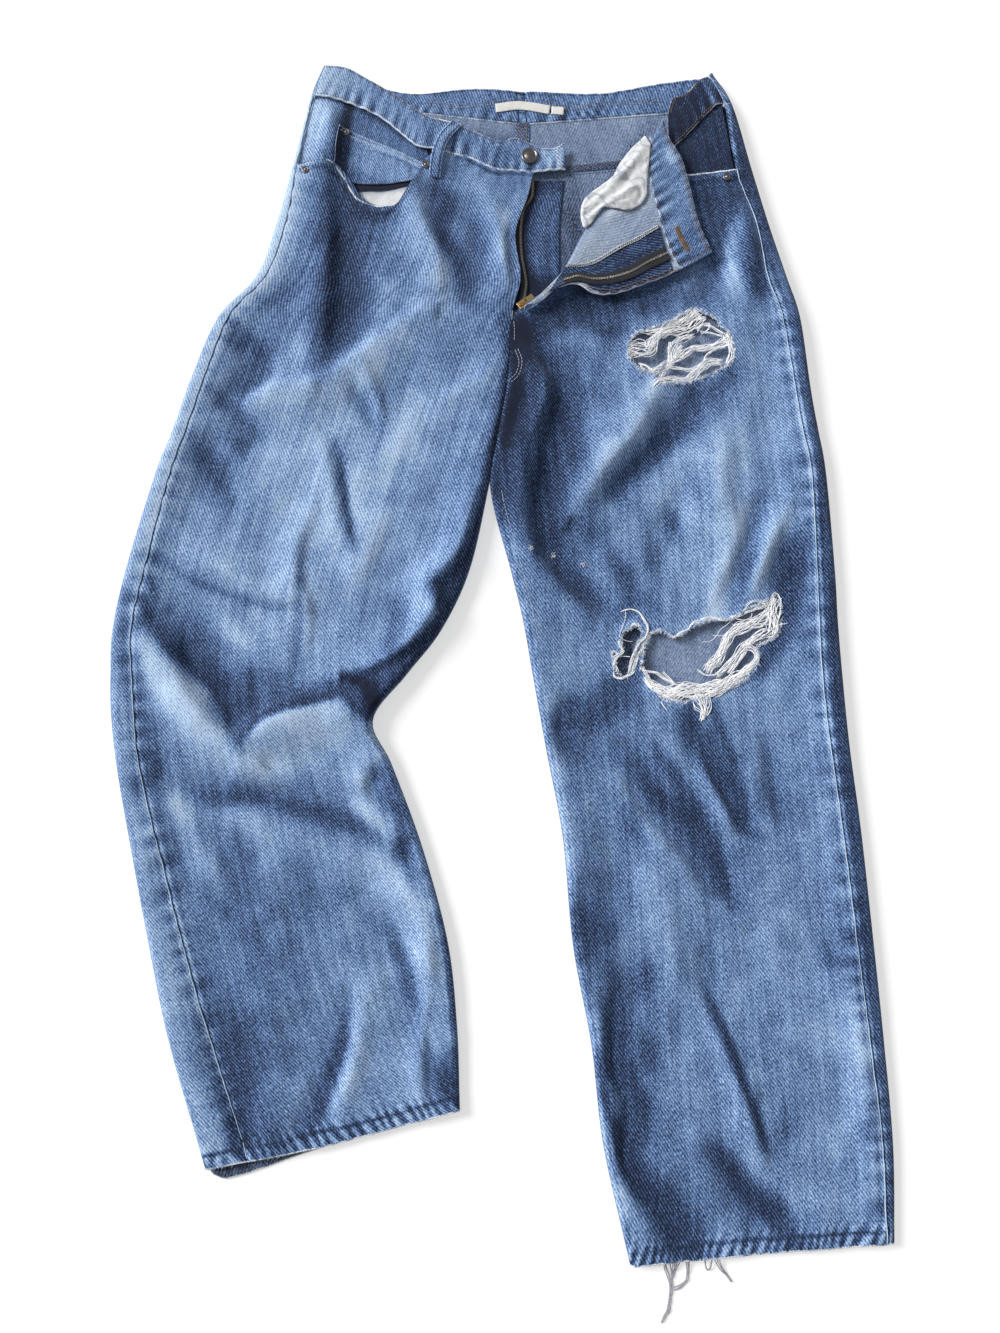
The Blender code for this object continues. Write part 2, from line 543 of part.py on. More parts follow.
def slab(name, outline, thick, z, look, collection=PARTS, smooth_to=0):
    """A flat piece of the outline, thick in z from its underside at z."""
    if smooth_to:
        closed = [*outline, outline[0]]
        outline = along(closed, np.linspace(0.0, 1.0, smooth_to + 1))[:-1]
    data = bpy.data.curves.new(name, "CURVE")
    data.dimensions = "2D"
    data.fill_mode = "BOTH"
    data.extrude = 0.5 * thick
    line = data.splines.new("POLY")
    line.points.add(len(outline) - 1)
    for point, (x, y) in zip(line.points, outline):
        point.co = (x, y, 0.0, 1.0)
    line.use_cyclic_u = True
    curve = bpy.data.objects.new(name, data)
    bpy.context.scene.collection.objects.link(curve)
    curve.location.z = z + 0.5 * thick
    bpy.context.view_layer.update()
    return keep(mesh_of(curve), look, collection)


def cut(obj, cutter, operation="DIFFERENCE"):
    boolean = obj.modifiers.new(cutter.name, "BOOLEAN")
    boolean.operation = operation
    boolean.object = cutter


def as_cutter(obj):
    keep(obj, None, CUTTERS)
    obj.hide_render = True
    obj.display_type = "WIRE"
    return obj


def disc(name, radius, profile, at, look):
    """A turned piece: profile is (share of radius, height) from the rim's foot to the top centre."""
    data = bpy.data.meshes.new(name)
    verts = [(0.0, 0.0, 0.0)] + [(radius * share, 0.0, height) for share, height in profile]
    verts.append((0.0, 0.0, profile[-1][1]))
    verts.reverse()
    data.from_pydata(verts, [(i, i + 1) for i in range(len(verts) - 1)], [])
    obj = keep(bpy.data.objects.new(name, data), look)
    screw = obj.modifiers.new("turn", "SCREW")
    screw.steps = screw.render_steps = 20
    screw.use_merge_vertices = True
    screw.merge_threshold = 0.00001
    screw.use_smooth_shade = True
    obj.location = at
    return obj


# ---------------------------------------------------------------- legs, seat and yokes
def build_holes():
    cutters = []
    for hole in HOLES:
        made = slab(hole.name, hole.outline, 0.06, LOWEST_TOP - 0.0016, None, CUTTERS, smooth_to=24)
        cutters.append(as_cutter(made))
    return cutters


def build_fronts():
    mouth_and_seam = RIGHT_MOUTH + RIGHT_SEAM
    sheet("front_right", RIGHT.front_grid(mouth_and_seam, 14, 32), DENIM, DENIM_OUT)
    left = sheet("front_left", LEFT.front_grid(LEFT_MOUTH, 14, 32), DENIM, DENIM_OUT)
    for cutter in build_holes():
        cut(left, cutter)


YOKE_AT_SIDE, YOKE_AT_CENTRE = 1.25, 2.05  # sections where the yoke ends
SEAM_SHARE = 0.008  # a seam's clearance, in sections
LEVEL = 4.0  # from this section down, the rows of all panels are level with each other
SEAT_ROWS = 6  # rows of a panel above that section


def build_backs():
    waist = (1.0 + SEAM_SHARE, 1.0 + SEAM_SHARE)
    above_yoke = (YOKE_AT_SIDE - SEAM_SHARE, YOKE_AT_CENTRE - SEAM_SHARE)
    below_yoke = (YOKE_AT_SIDE + SEAM_SHARE, YOKE_AT_CENTRE + SEAM_SHARE)
    for name, half in (("right", RIGHT), ("left", LEFT)):
        yoke = half.back_strip(waist, above_yoke, 3)
        sheet(f"yoke_{name}", yoke, DENIM, DENIM_DARK, facing=-1.0)
        panel = half.back_panel(below_yoke, 32)
        sheet(f"back_{name}", panel, DENIM, DENIM_DARK, facing=-1.0)


def build_back_pockets():
    for name, centre in (("right", -0.086), ("left", 0.154)):
        half_top, half_foot, top, side_foot, tip = 0.076, 0.064, 0.430, 0.292, 0.274
        outline = [
            (centre - half_top, top), (centre - half_foot, side_foot), (centre, tip),
            (centre + half_foot, side_foot), (centre + half_top, top),
        ]
        slab(f"back_pocket_{name}", outline, LIFT - SEAM, 0.0, DENIM_OUT)


# ---------------------------------------------------------------- waistband and belt loops
def build_waistband():
    side = SEAM_SHARE
    foot = (1.0 - side, 1.0 - side)
    right = RIGHT.back_strip((0.0, 0.0), foot, 3)
    left = LEFT.back_strip((0.0, 0.0), foot, 3)[:, ::-1]
    whole = np.concatenate([right[:, :-3], left[:, 3:]], axis=1)
    sheet("waistband_back", whole, BAND, DENIM_IN, facing=-1.0)
    front = between(RIGHT_BAND_TOP, RIGHT_BAND_LOW, 3, 20, RIGHT.top)
    sheet("waistband_right", front, BAND, DENIM_OUT)
    side_part = between(LEFT_BAND_TOP, LEFT_BAND_LOW, 3, 8, LEFT.top)
    sheet("waistband_left", side_part, BAND, DENIM_DARK)


def loop_strip(name, start, end, height, wall=DENIM):
    rows = band_along([start, end], [LOOP_WIDTH, LOOP_WIDTH], 6, height)
    return sheet(name, rows, wall, DENIM_OUT)


BACK_LOOPS = (
    ("back_right", -0.095, 0.562),
    ("centre_back", 0.034, 0.562),
    ("back_left", 0.150, 0.560),
)


def build_belt_loops():
    over_band = above(RIGHT.top, SEAM + DENIM)
    loop_strip("belt_loop_front_right", (-0.054, 0.461), (-0.031, 0.519), over_band)
    on_ground = level(LIFT - SEAM)
    for name, x, top in BACK_LOOPS:
        loop_strip(f"belt_loop_{name}", (x, 0.508), (x, top), on_ground, LIFT - SEAM)


# ---------------------------------------------------------------- front pockets
FACING_DEPTH = DENIM + 1.5 * LOOSE  # a facing's outer face lies this far under the front panel's


def build_right_pocket():
    upper = [
        (-0.1772, 0.5520), (-0.147, 0.547), (-0.126, 0.538),
        (-0.105, 0.525), (-0.090, 0.512), (-0.072, 0.496),
    ]
    lower = [
        (-0.1895, 0.462), (-0.165, 0.460), (-0.140, 0.456),
        (-0.115, 0.457), (-0.092, 0.459), (-0.066, 0.463),
    ]
    facing = between(upper, lower, 6, 10, above(RIGHT.top, -FACING_DEPTH))
    sheet("pocket_facing_right", facing, DENIM, DENIM_OUT)
    upper = [(-0.148, 0.452), (-0.115, 0.4555), (-0.080, 0.456)]
    lower = [(-0.140, 0.405), (-0.115, 0.402), (-0.085, 0.404)]
    bag = between(upper, lower, 4, 6, above(RIGHT.top, -FACING_DEPTH))
    sheet("pocket_bag_right", bag, COTTON, WHITE)
    upper = [(-0.149, 0.518), (-0.118, 0.507), (-0.080, 0.485)]
    lower = [(-0.150, 0.484), (-0.122, 0.472), (-0.098, 0.470)]
    coin = between(upper, lower, 4, 6, above(RIGHT.top, DENIM + LOOSE - FACING_DEPTH))
    sheet("coin_pocket", coin, DENIM, DENIM_OUT)


def build_left_pocket():
    upper = [(0.2395, 0.5405), (0.217, 0.522), (0.200, 0.503), (0.187, 0.490)]
    lower = [(0.250, 0.458), (0.225, 0.456), (0.205, 0.455), (0.186, 0.457)]
    facing = between(upper, lower, 6, 8, above(LEFT.top, -DENIM - LOOSE))
    sheet("pocket_facing_left", facing, DENIM, DENIM_DARK)


# ---------------------------------------------------------------- the turned-back left front
def turned_height(x, y):
    """Height of the upper (inner) face of the turned-back cloth."""
    _, far = LEFT.locate(x, y)
    away, _ = distance_to(TURN_FOLD, x, y)
    return LEFT.top(x, y) + 2.0 * TURN_RADIUS + 2.0 * DENIM - TURN_DROP * smoothstep(away / 0.09)


def turn_grid(fold, edge, rows, columns, height, under):
    """From under the fold round it and over to the far edge. Rows follow the fold line."""
    at = np.linspace(0.0, 1.0, rows)
    start, end = along(fold, at), along(edge, at)
    across = end - start
    span = np.linalg.norm(across, axis=1)
    across /= span[:, None]
    tight = np.minimum(1.0, span / 0.03)[:, None]
    points = np.zeros((rows, columns + 4, 3))
    centre = start + across * TURN_RADIUS * 1.6 * tight
    high = height(centre[:, 0], centre[:, 1])
    low = under(centre[:, 0], centre[:, 1])
    for k, angle in enumerate((-1.35, -0.75, 0.0, 0.75)):
        out = TURN_RADIUS * 1.6 * math.cos(angle)
        points[:, k, :2] = centre - across * out * tight
        points[:, k, 2] = 0.5 * (high + low) + 0.5 * (high - low) * math.sin(angle)
    bend = at[:, None] ** 2
    points[:, :4, :2] += (bend * (along(TURN_BAND_LOW, 0.0) - TURN_GAP - centre[-1]))[:, None]
    for k, share in enumerate(np.linspace(0.0, 1.0, columns)):
        straight = centre + (end - centre) * share
        spot = straight + bend * (along(TURN_BAND_LOW, share) - TURN_GAP - straight[-1])
        points[:, k + 4, :2] = spot
        points[:, k + 4, 2] = height(spot[:, 0], spot[:, 1])
    return points


def build_turned_front():
    panel = turn_grid(TURN_FOLD, TURN_EDGE, 14, 8, turned_height, above(LEFT.top, SEAM))
    sheet("front_left_turned_back", panel, DENIM, DENIM_IN)
    band = between(TURN_BAND_LOW, TURN_BAND_TOP, 3, 16, turned_height)
    sheet("waistband_turned_back", band, BAND, DENIM_IN)
    on_panel = above(turned_height, SEAM + DENIM)
    facing = between(FLY_FACING_UPPER, FLY_FACING_LOWER, 3, 10, on_panel)
    sheet("fly_facing", facing, DENIM, DENIM_DARK)
    tape = band_along(ZIP_LEFT, [0.010, 0.010], 10, above(on_panel, SEAM + COTTON))
    sheet("zip_tape_left", tape, COTTON, BLACK_TAPE)
    bag = between(BAG_UPPER, BAG_LOWER, 4, 8, above(turned_height, SEAM + COTTON))
    sheet("pocket_bag_left", bag, COTTON, WHITE)


FLY_FACING_UPPER = [(0.086, 0.362), (0.107, 0.369), (0.132, 0.385), (0.150, 0.397), (0.164, 0.408)]
FLY_FACING_LOWER = [(0.083, 0.348), (0.100, 0.343), (0.124, 0.343), (0.150, 0.351), (0.175, 0.365)]
ZIP_LEFT = [(0.090, 0.354), (0.104, 0.350), (0.121, 0.352), (0.141, 0.361), (0.166, 0.380)]
BAG_UPPER = [(0.104, 0.412), (0.107, 0.425), (0.118, 0.440), (0.136, 0.463), (0.152, 0.488)]
BAG_LOWER = [(0.108, 0.410), (0.118, 0.424), (0.134, 0.424), (0.148, 0.426), (0.158, 0.466)]


# ---------------------------------------------------------------- the open fly on the right
FLY_EDGE = [
    (0.0405, 0.462), (0.0395, 0.444), (0.031, 0.428), (0.028, 0.404),
    (0.029, 0.378), (0.033, 0.352), (0.032, 0.336), (0.0295, 0.320),
]
SHIELD_EDGE = [
    (0.078, 0.463), (0.075, 0.440), (0.073, 0.418), (0.072, 0.385),
    (0.071, 0.352), (0.058, 0.336), (0.042, 0.322),
]


def build_fly():
    under_edge = [(x - 0.008, y) for x, y in FLY_EDGE]
    on_back = above(underside, 2.0 * DENIM + 2.0 * SEAM)
    shield = between(under_edge, SHIELD_EDGE, 5, 9, on_back)
    sheet("fly_shield", shield, DENIM, DENIM_DARK)
    tape_path = [(x + 0.0055, y) for x, y in FLY_EDGE]
    tape = band_along(tape_path, [0.009, 0.009], 9, above(on_back, SEAM + COTTON))
    sheet("zip_tape_right", tape, COTTON, BLACK_TAPE)


SLIDER_AT = (0.0345, 0.3245)
SLIDER_BASE = 0.0067  # above the ground, on the zip's tape


def hinge_point():
    return (*SLIDER_AT, SLIDER_BASE + SLIDER[2] + HINGE_RISE)


def box(name, size, look, collection=PARTS, bevel=0.0):
    bpy.ops.mesh.primitive_cube_add(size=1.0)
    obj = bpy.context.object
    obj.name = name
    for vert in obj.data.vertices:
        vert.co = [c * s for c, s in zip(vert.co, size)]
    if bevel:
        edges = obj.modifiers.new("edges", "BEVEL")
        edges.width = bevel
        edges.segments = 2
    return keep(obj, look, collection)


def build_zip_hardware():
    """The slider with its arch, and the pull tab whose end bar turns under that arch."""
    turn = PULL_BEARING - math.pi / 2
    body = box("zip_slider", SLIDER, BRASS, bevel=0.0006)
    body.location = (*SLIDER_AT, SLIDER_BASE + 0.5 * SLIDER[2])
    body.rotation_euler.z = turn
    arch_top = ARCH_RISE + 0.5 * ARCH_BAR
    pieces = [
        ("arch_front", (ARCH_WIDTH, ARCH_BAR, arch_top + 0.5 * ARCH_BAR), (ARCH_REACH, 0.5 * arch_top)),
        ("arch_back", (ARCH_WIDTH, ARCH_BAR, arch_top + 0.5 * ARCH_BAR), (-ARCH_REACH, 0.5 * arch_top)),
        ("arch_bar", (ARCH_WIDTH, 2.0 * ARCH_REACH, ARCH_BAR), (0.0, arch_top)),
    ]
    for name, size, (forward, rise) in pieces:
        piece = as_cutter(box(name, size, None))
        piece.parent = body
        piece.location = (0.0, forward, 0.5 * SLIDER[2] + rise)
        cut(body, piece, "UNION")

    across, length, thick = PULL
    pull = box("zip_pull_tab", PULL, BRASS, bevel=0.0003)
    for vert in pull.data.vertices:
        vert.co.y += 0.5 * (length - thick)
    eye = as_cutter(box("pull_eye", (across - 2.0 * PULL_RAIL, EYE_LENGTH, 3.0 * thick), None))
    eye.parent = pull
    eye.location.y = 0.5 * (EYE_LENGTH + thick)
    pull.location = hinge_point()
    pull.rotation_euler = (-PULL_TILT, 0.0, turn)
    cut(pull, eye)


# ---------------------------------------------------------------- button, rivets, labels
def build_button_and_rivets():
    x, y = 0.0425, 0.4850
    top = float(RIGHT.top(np.array([x]), np.array([y]))[0])
    rim = [(0.80, 0.0), (1.0, 0.0012), (1.0, 0.0030), (0.86, BUTTON_HEIGHT)]
    dome = [*rim, (0.70, 0.0036), (0.40, 0.0036)]
    disc("button", BUTTON_RADIUS, dome, (x, y, top + SEAM), DARK_METAL)
    cap = [(1.0, 0.0), (0.92, 0.0009), (0.45, RIVET_HEIGHT)]
    rivets = (
        ("rivet_coin_pocket", RIGHT, -0.144, 0.512),
        ("rivet_right_side", RIGHT, -0.183, 0.467),
        ("rivet_right_front", RIGHT, -0.0625, 0.476),
        ("rivet_left_side", LEFT, 0.241, 0.460),
    )
    for name, half, x, y in rivets:
        ring = np.linspace(0.0, 2.0 * math.pi, 12)
        reach = half.top(x + RIVET_RADIUS * np.cos(ring), y + RIVET_RADIUS * np.sin(ring))
        disc(name, RIVET_RADIUS, cap, (x, y, float(reach.max()) + SEAM), DARK_METAL)


def build_labels():
    on_band = above(underside, BAND + SEAM + COTTON)
    label = band_along([(0.008, 0.5460), (0.033, 0.5490), (0.064, 0.5440)], [0.0100, 0.0100], 6, on_band)
    sheet("waistband_label", label, COTTON, WHITE)
    tab = band_along([(0.0655, 0.5435), (0.0785, 0.5425)], [0.0090, 0.0090], 3, on_band)
    sheet("size_tab", tab, COTTON, WHITE)
    care = band_along([(-0.060, 0.5385), (-0.029, 0.5350)], [0.0140, 0.0120], 4, on_band)
    sheet("care_label", care, COTTON, WHITE)


def build_threads():
    for row in THREADS:
        grid = band_along(row.path, row.width, 7, above(underside, row.height))
        sheet(row.name, grid, COTTON, WHITE)


build_fronts()
build_backs()
build_back_pockets()
build_waistband()
build_belt_loops()
build_right_pocket()
build_left_pocket()
build_turned_front()
build_fly()
build_zip_hardware()
build_button_and_rivets()
build_labels()
build_threads()
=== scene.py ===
# %% [markdown]
# # Ripped jeans, laid flat with the fly open
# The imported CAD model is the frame: it says how large every panel is and where it lies. This lesson
# gives each panel its cloth: folds, puckered seams, stitches, frayed holes, and a denim that is
# faded where a wearer's knees and thighs rub it. "Right" and "left" are the wearer's, so the right
# leg lies at -X. The waist points to +Y and everything is in metres.

# %% Load the frame
import json
import math
from collections import namedtuple

import bmesh
import bpy
import numpy as np
from mathutils import Matrix, Vector
from mathutils.bvhtree import BVHTree

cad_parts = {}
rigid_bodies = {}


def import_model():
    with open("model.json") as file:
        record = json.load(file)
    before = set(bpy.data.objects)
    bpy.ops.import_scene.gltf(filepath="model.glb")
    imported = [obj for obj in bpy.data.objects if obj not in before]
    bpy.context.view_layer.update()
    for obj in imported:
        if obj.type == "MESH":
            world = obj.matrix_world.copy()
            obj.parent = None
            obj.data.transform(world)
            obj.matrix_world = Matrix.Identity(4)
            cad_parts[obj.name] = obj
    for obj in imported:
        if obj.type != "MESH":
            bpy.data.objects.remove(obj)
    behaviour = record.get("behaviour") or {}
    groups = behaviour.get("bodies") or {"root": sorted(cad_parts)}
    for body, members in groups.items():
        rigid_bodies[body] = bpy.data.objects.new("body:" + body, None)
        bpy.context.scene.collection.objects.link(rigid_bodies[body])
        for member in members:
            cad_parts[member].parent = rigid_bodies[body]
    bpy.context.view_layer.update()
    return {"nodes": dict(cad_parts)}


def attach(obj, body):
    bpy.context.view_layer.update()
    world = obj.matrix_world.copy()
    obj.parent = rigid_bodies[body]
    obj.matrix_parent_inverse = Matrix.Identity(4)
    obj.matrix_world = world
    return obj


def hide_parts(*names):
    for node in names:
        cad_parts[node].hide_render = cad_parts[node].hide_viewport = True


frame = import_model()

# %% [markdown]
# ## Sizes
# The walls and gaps are the ones the CAD model was drawn with, so a panel that is made again here,
# with far more points, still lies in its place: on its neighbour and not through it.

# %% Walls and gaps
DENIM = 0.0014  # one layer of denim
BAND = 0.0022  # the waistband, two layers pressed flat
COTTON = 0.0010  # pocket bags
SEAM = 0.0003  # clearance between pieces that are sewn together
LOOSE = 0.0008  # clearance between layers that lie on each other
LIFT = 0.0017  # seat and waist lie this much higher, on the back pockets
LOWEST_TOP = 0.0038  # the front never sinks closer to the ground than both layers
SHOULDER = 0.045  # how far in from a side fold the cloth settles down
TUCKED = 0.0045  # how far an edge runs on under the piece that is sewn over it

# %% [markdown]
# ## The two halves
# Real jeans are two mirrored halves that meet at the centre. Each half is described by its
# cross-sections from the waistband to the hem: where the side fold and the inner edge lie, how
# thick the folds stand and how high the front lies between them. A smooth curve runs through each
# column of the table, so a few rows give the whole outline.

# %% Cross-sections
Section = namedtuple("Section", "name outer front back seam_in rim_out rim_in middle rolled")
# outer: the side fold. front, back: inner edge of the front and of the back panel, None where
# they are one. seam_in: the outseam's distance from the side fold. rim_out, rim_in: thickness at
# the folds. middle: height of the front between them. rolled: 0 at a flat centre seam, 1 on a leg.
# The lengths of this table are in millimetres, which keeps its rows short.
RIGHT_SECTIONS = [
    Section("top", (-170, 592), (56, 500), (33.3, 567), 4, 12, 0, 9.2, 0),
    Section("waist", (-182, 554), (46, 466), (36, 527), 4, 13, 0, 9.2, 0),
    Section("pocket", (-198, 474), (40, 440), (35, 483), 6, 14, 0, 9.2, 0),
    Section("hip", (-212, 410), (28, 400), (32, 400), 11, 14, 0, 8.8, 0),
    Section("fly", (-230, 352), (33, 352), (30, 352), 12, 15, 0, 8.5, 0),
    Section("fly_foot", (-265, 309), (24, 313), None, 13, 15, 0, 7.5, 0),
    Section("crotch", (-290, 240), (19.8, 246), None, 15, 15, 10, 7, 0.5),
    Section("contact", (-304, 192), (11.2, 192), None, 15, 15, 12, 6.5, 1),
    Section("fork", (-318, 148), (2, 137), None, 16, 15, 13, 6, 1),
    Section("thigh", (-340, 54), (-16, 54), None, 19, 14, 14, 6, 1),
    Section("above_knee", (-348.8, -5), (-42, -4), None, 20, 14, 14, 6, 1),
    Section("knee", (-347.8, -45), (-74, -47), None, 22, 14, 16, 7, 1),
    Section("tuck", (-345.2, -80), (-104, -89), None, 23, 14, 18, 8, 1),
    Section("below_knee", (-337, -130), (-86, -130), None, 22, 13, 14, 7, 1),
    Section("calf", (-320, -202), (-58, -202), None, 26, 12, 12, 6, 1),
    Section("shin", (-298, -289), (-34, -285), None, 31, 12, 12, 6, 1),
    Section("ankle", (-275, -373), (-25, -357), None, 36, 11, 11, 6, 1),
    Section("hem", (-239, -473), (-22, -426), None, 37, 9, 9, 5.8, 1),
]
LEFT_SECTIONS = [
    Section("top", (232, 582), (180, 532), (33.7, 567), 6, 12, 0, 9.2, 0),
    Section("waist", (251, 545), (174, 503), (36.4, 527), 10, 13, 0, 9.2, 0),
    Section("pocket", (267, 474), (152, 472), (35.4, 483), 17, 14, 0, 9, 0),
    Section("hip", (282, 410), (108, 408), (32.4, 400), 14, 14, 0, 8.5, 0),
    Section("fly", (297, 352), (78, 354), (30.4, 352), 20, 15, 0, 8, 0),
    Section("fly_foot", (308, 309), (26.2, 313), (24.4, 313), 18, 15, 0, 7.5, 0),
    Section("crotch", (314, 240), (19.6, 246), None, 16, 15, 10, 7, 0.5),
    Section("contact", (320, 192), (10.8, 192), None, 16, 15, 12, 7, 1),
    Section("fork", (325, 148), (3, 135), None, 15, 15, 13, 6.8, 1),
    Section("thigh", (328, 54), (22.5, 54), None, 17, 14, 13, 6.8, 1),
    Section("above_knee", (328, 5), (34, 5), None, 18, 14, 13, 7, 1),
    Section("knee", (329, -42), (42, -42), None, 19, 14, 13, 7, 1),
    Section("below_knee", (332, -112), (54, -112), None, 18, 13, 12, 6.5, 1),
    Section("calf", (338, -190), (69, -195), None, 17, 12, 12, 6, 1),
    Section("shin", (343, -289), (77, -289), None, 15, 12, 12, 6, 1),
    Section("ankle", (346.8, -373), (92, -373), None, 13, 11, 11, 6, 1),
    Section("cuff", (349.1, -455), (101, -455), None, 10, 10, 10, 5.8, 1),
    Section("hem", (345.2, -532), (122, -550), None, 7, 9, 9, 5.8, 1),
]

# %% [markdown]
# ## Folds
# Cloth that was pulled off and dropped keeps soft ridges and troughs. They could be sculpted by
# hand or simulated, but then nobody could say where one is. Here each fold is a line on the
# ground with a width and a height, the surface is lifted along it, and a lean makes one flank
# steeper, as gravity does. Its tone stands partly for worn indigo, paler on a crest and darker in a
# hollow, and partly for painted highlight and painted shade.

# %% Folds of both legs
Fold = namedtuple("Fold", "name width height lean tone path")
# width: from its crest to where it fades. height: + ridge, - trough. lean: + is steep on the left
# of the direction of travel. tone: + paler, - darker, as worn indigo and as painted highlight and
# shade. path: points on the ground.


def mm(*points):
    """Points given in millimetres, in metres."""
    return [(x / 1000.0, y / 1000.0) for x, y in points]


def folds(*rows):
    """Folds from rows of name, width, height, lean, tone and path, with lengths in millimetres."""
    return [
        Fold(name, width / 1000.0, height / 1000.0, lean, tone, mm(*path))
        for name, width, height, lean, tone, *path in rows
    ]


RIGHT_FOLDS = folds(
    ("side bulge", 14, 7, 0.4, 0.1, (-160, 533), (-157, 506), (-155, 481)),
    ("pocket drop", 15, 6, 0.55, 0.1, (-163, 465), (-160, 394), (-161, 318), (-163, 250)),
    ("hip crest", 17, 6, 0.5, 0.2, (-242, 219), (-201, 235), (-167, 237), (-134, 260), (-100, 288),
     (-62, 316)),
    ("hip hollow", 12, -5, 0, -0.25, (-247, 288), (-220, 263), (-242, 230), (-247, 219), (-227, 190)),
    ("thigh hollow", 13, -3, 0, -0.25, (-276, 170), (-258, 152), (-245, 130)),
    ("pocket corner", 17, 6, 0.6, 0.15, (-76, 455), (-66, 410), (-50, 372), (-50, 330)),
    ("fly hollow", 12, -3, 0, -0.2, (-20, 425), (-6, 383), (-9, 337)),
    ("fly swell", 10, 4, 0.3, 0.2, (6, 433), (12, 383), (18, 339)),
    ("crotch swell", 14, 3, 0.3, 0.15, (-46, 219), (-12, 241), (19, 273)),
    ("thigh nip", 7, 3, 0.4, 0.15, (-124, 263), (-108, 232), (-99, 194)),
    ("thigh nip foot", 8, -2.5, 0, -0.2, (-132, 240), (-115, 211), (-99, 184)),
    ("thigh line", 12, 3.5, 0.6, 0.1, (-159, 182), (-147, 142), (-139, 107), (-128, 70)),
    ("knee line", 11, 4, 0.7, 0.12, (-166, 114), (-177, 77), (-178, 45), (-169, 20), (-166, -7)),
    ("knee swell", 14, 3, 0.2, 0.1, (-100, 110), (-114, 74), (-121, 39)),
    ("side line", 14, 4, 0.6, 0.12, (-173, 18), (-211, 33), (-256, 57), (-307, 79)),
    ("knee drop", 12, 4.5, 0.65, 0.1, (-199, -74), (-228, -48), (-262, -15)),
    ("knee hollow", 20, -4, 0, -0.3, (-292, 10), (-258, -22), (-223, -65), (-214, -100)),
    ("knee ridge", 21, 9, 0.5, 0.35, (-306, 12), (-288, -45), (-256, -92), (-215, -122)),
    ("knee mound", 22, 9, 0.6, 0.2, (-222, -119), (-209, -97), (-185, -79), (-153, -74), (-127, -61)),
    ("inner thigh", 14, 8, 0.55, 0.15, (-7, 117), (-19, 77), (-51, 41), (-47, 12), (-80, -23),
     (-126, -47)),
    ("inner thigh shade", 12, 0, 0, -0.35, (5, 117), (-6, 77), (-33, 38), (-32, 12), (-66, -31),
     (-105, -61)),
    ("calf edge swell", 10, 3.5, 0.3, 0.2, (-95, -97), (-86, -118), (-76, -142)),
    ("calf dimple", 8, -5, 0, -0.3, (-86, -129), (-102, -147), (-93, -164)),
    ("calf dimple low", 8, -4, 0, -0.25, (-69, -196), (-77, -217)),
    ("calf trough", 13, -4, 0, -0.15, (-282, -150), (-223, -156), (-168, -169), (-123, -183),
     (-75, -205)),
    ("calf swell", 14, 3, 0, 0.15, (-123, -162), (-91, -185)),
    ("calf hollow", 16, -3, 0, -0.15, (-254, -173), (-224, -206), (-226, -243)),
    ("calf dark", 16, -2.5, 0, -0.12, (-166, -226), (-163, -276)),
    ("shin turn", 14, -4, 0, -0.15, (-110, -250), (-81, -291), (-68, -335), (-64, -373)),
    ("shin swell", 14, 4, 0.3, 0.2, (-54, -276), (-49, -323)),
    ("shin crease", 9, -4.5, 0, -0.2, (-121, -338), (-127, -377), (-141, -414), (-157, -442)),
    ("shin light", 13, 3, 0, 0.15, (-108, -335), (-112, -377), (-123, -416)),
    ("side trough", 10, -3.5, 0, -0.2, (-238, -360), (-216, -410), (-203, -453)),
    ("ankle nip", 8, 3.5, 0.5, 0.15, (-53, -334), (-56, -377), (-54, -419)),
    ("shin middle", 22, 3, 0, 0.05, (-194, -301), (-193, -385), (-182, -442)),
)
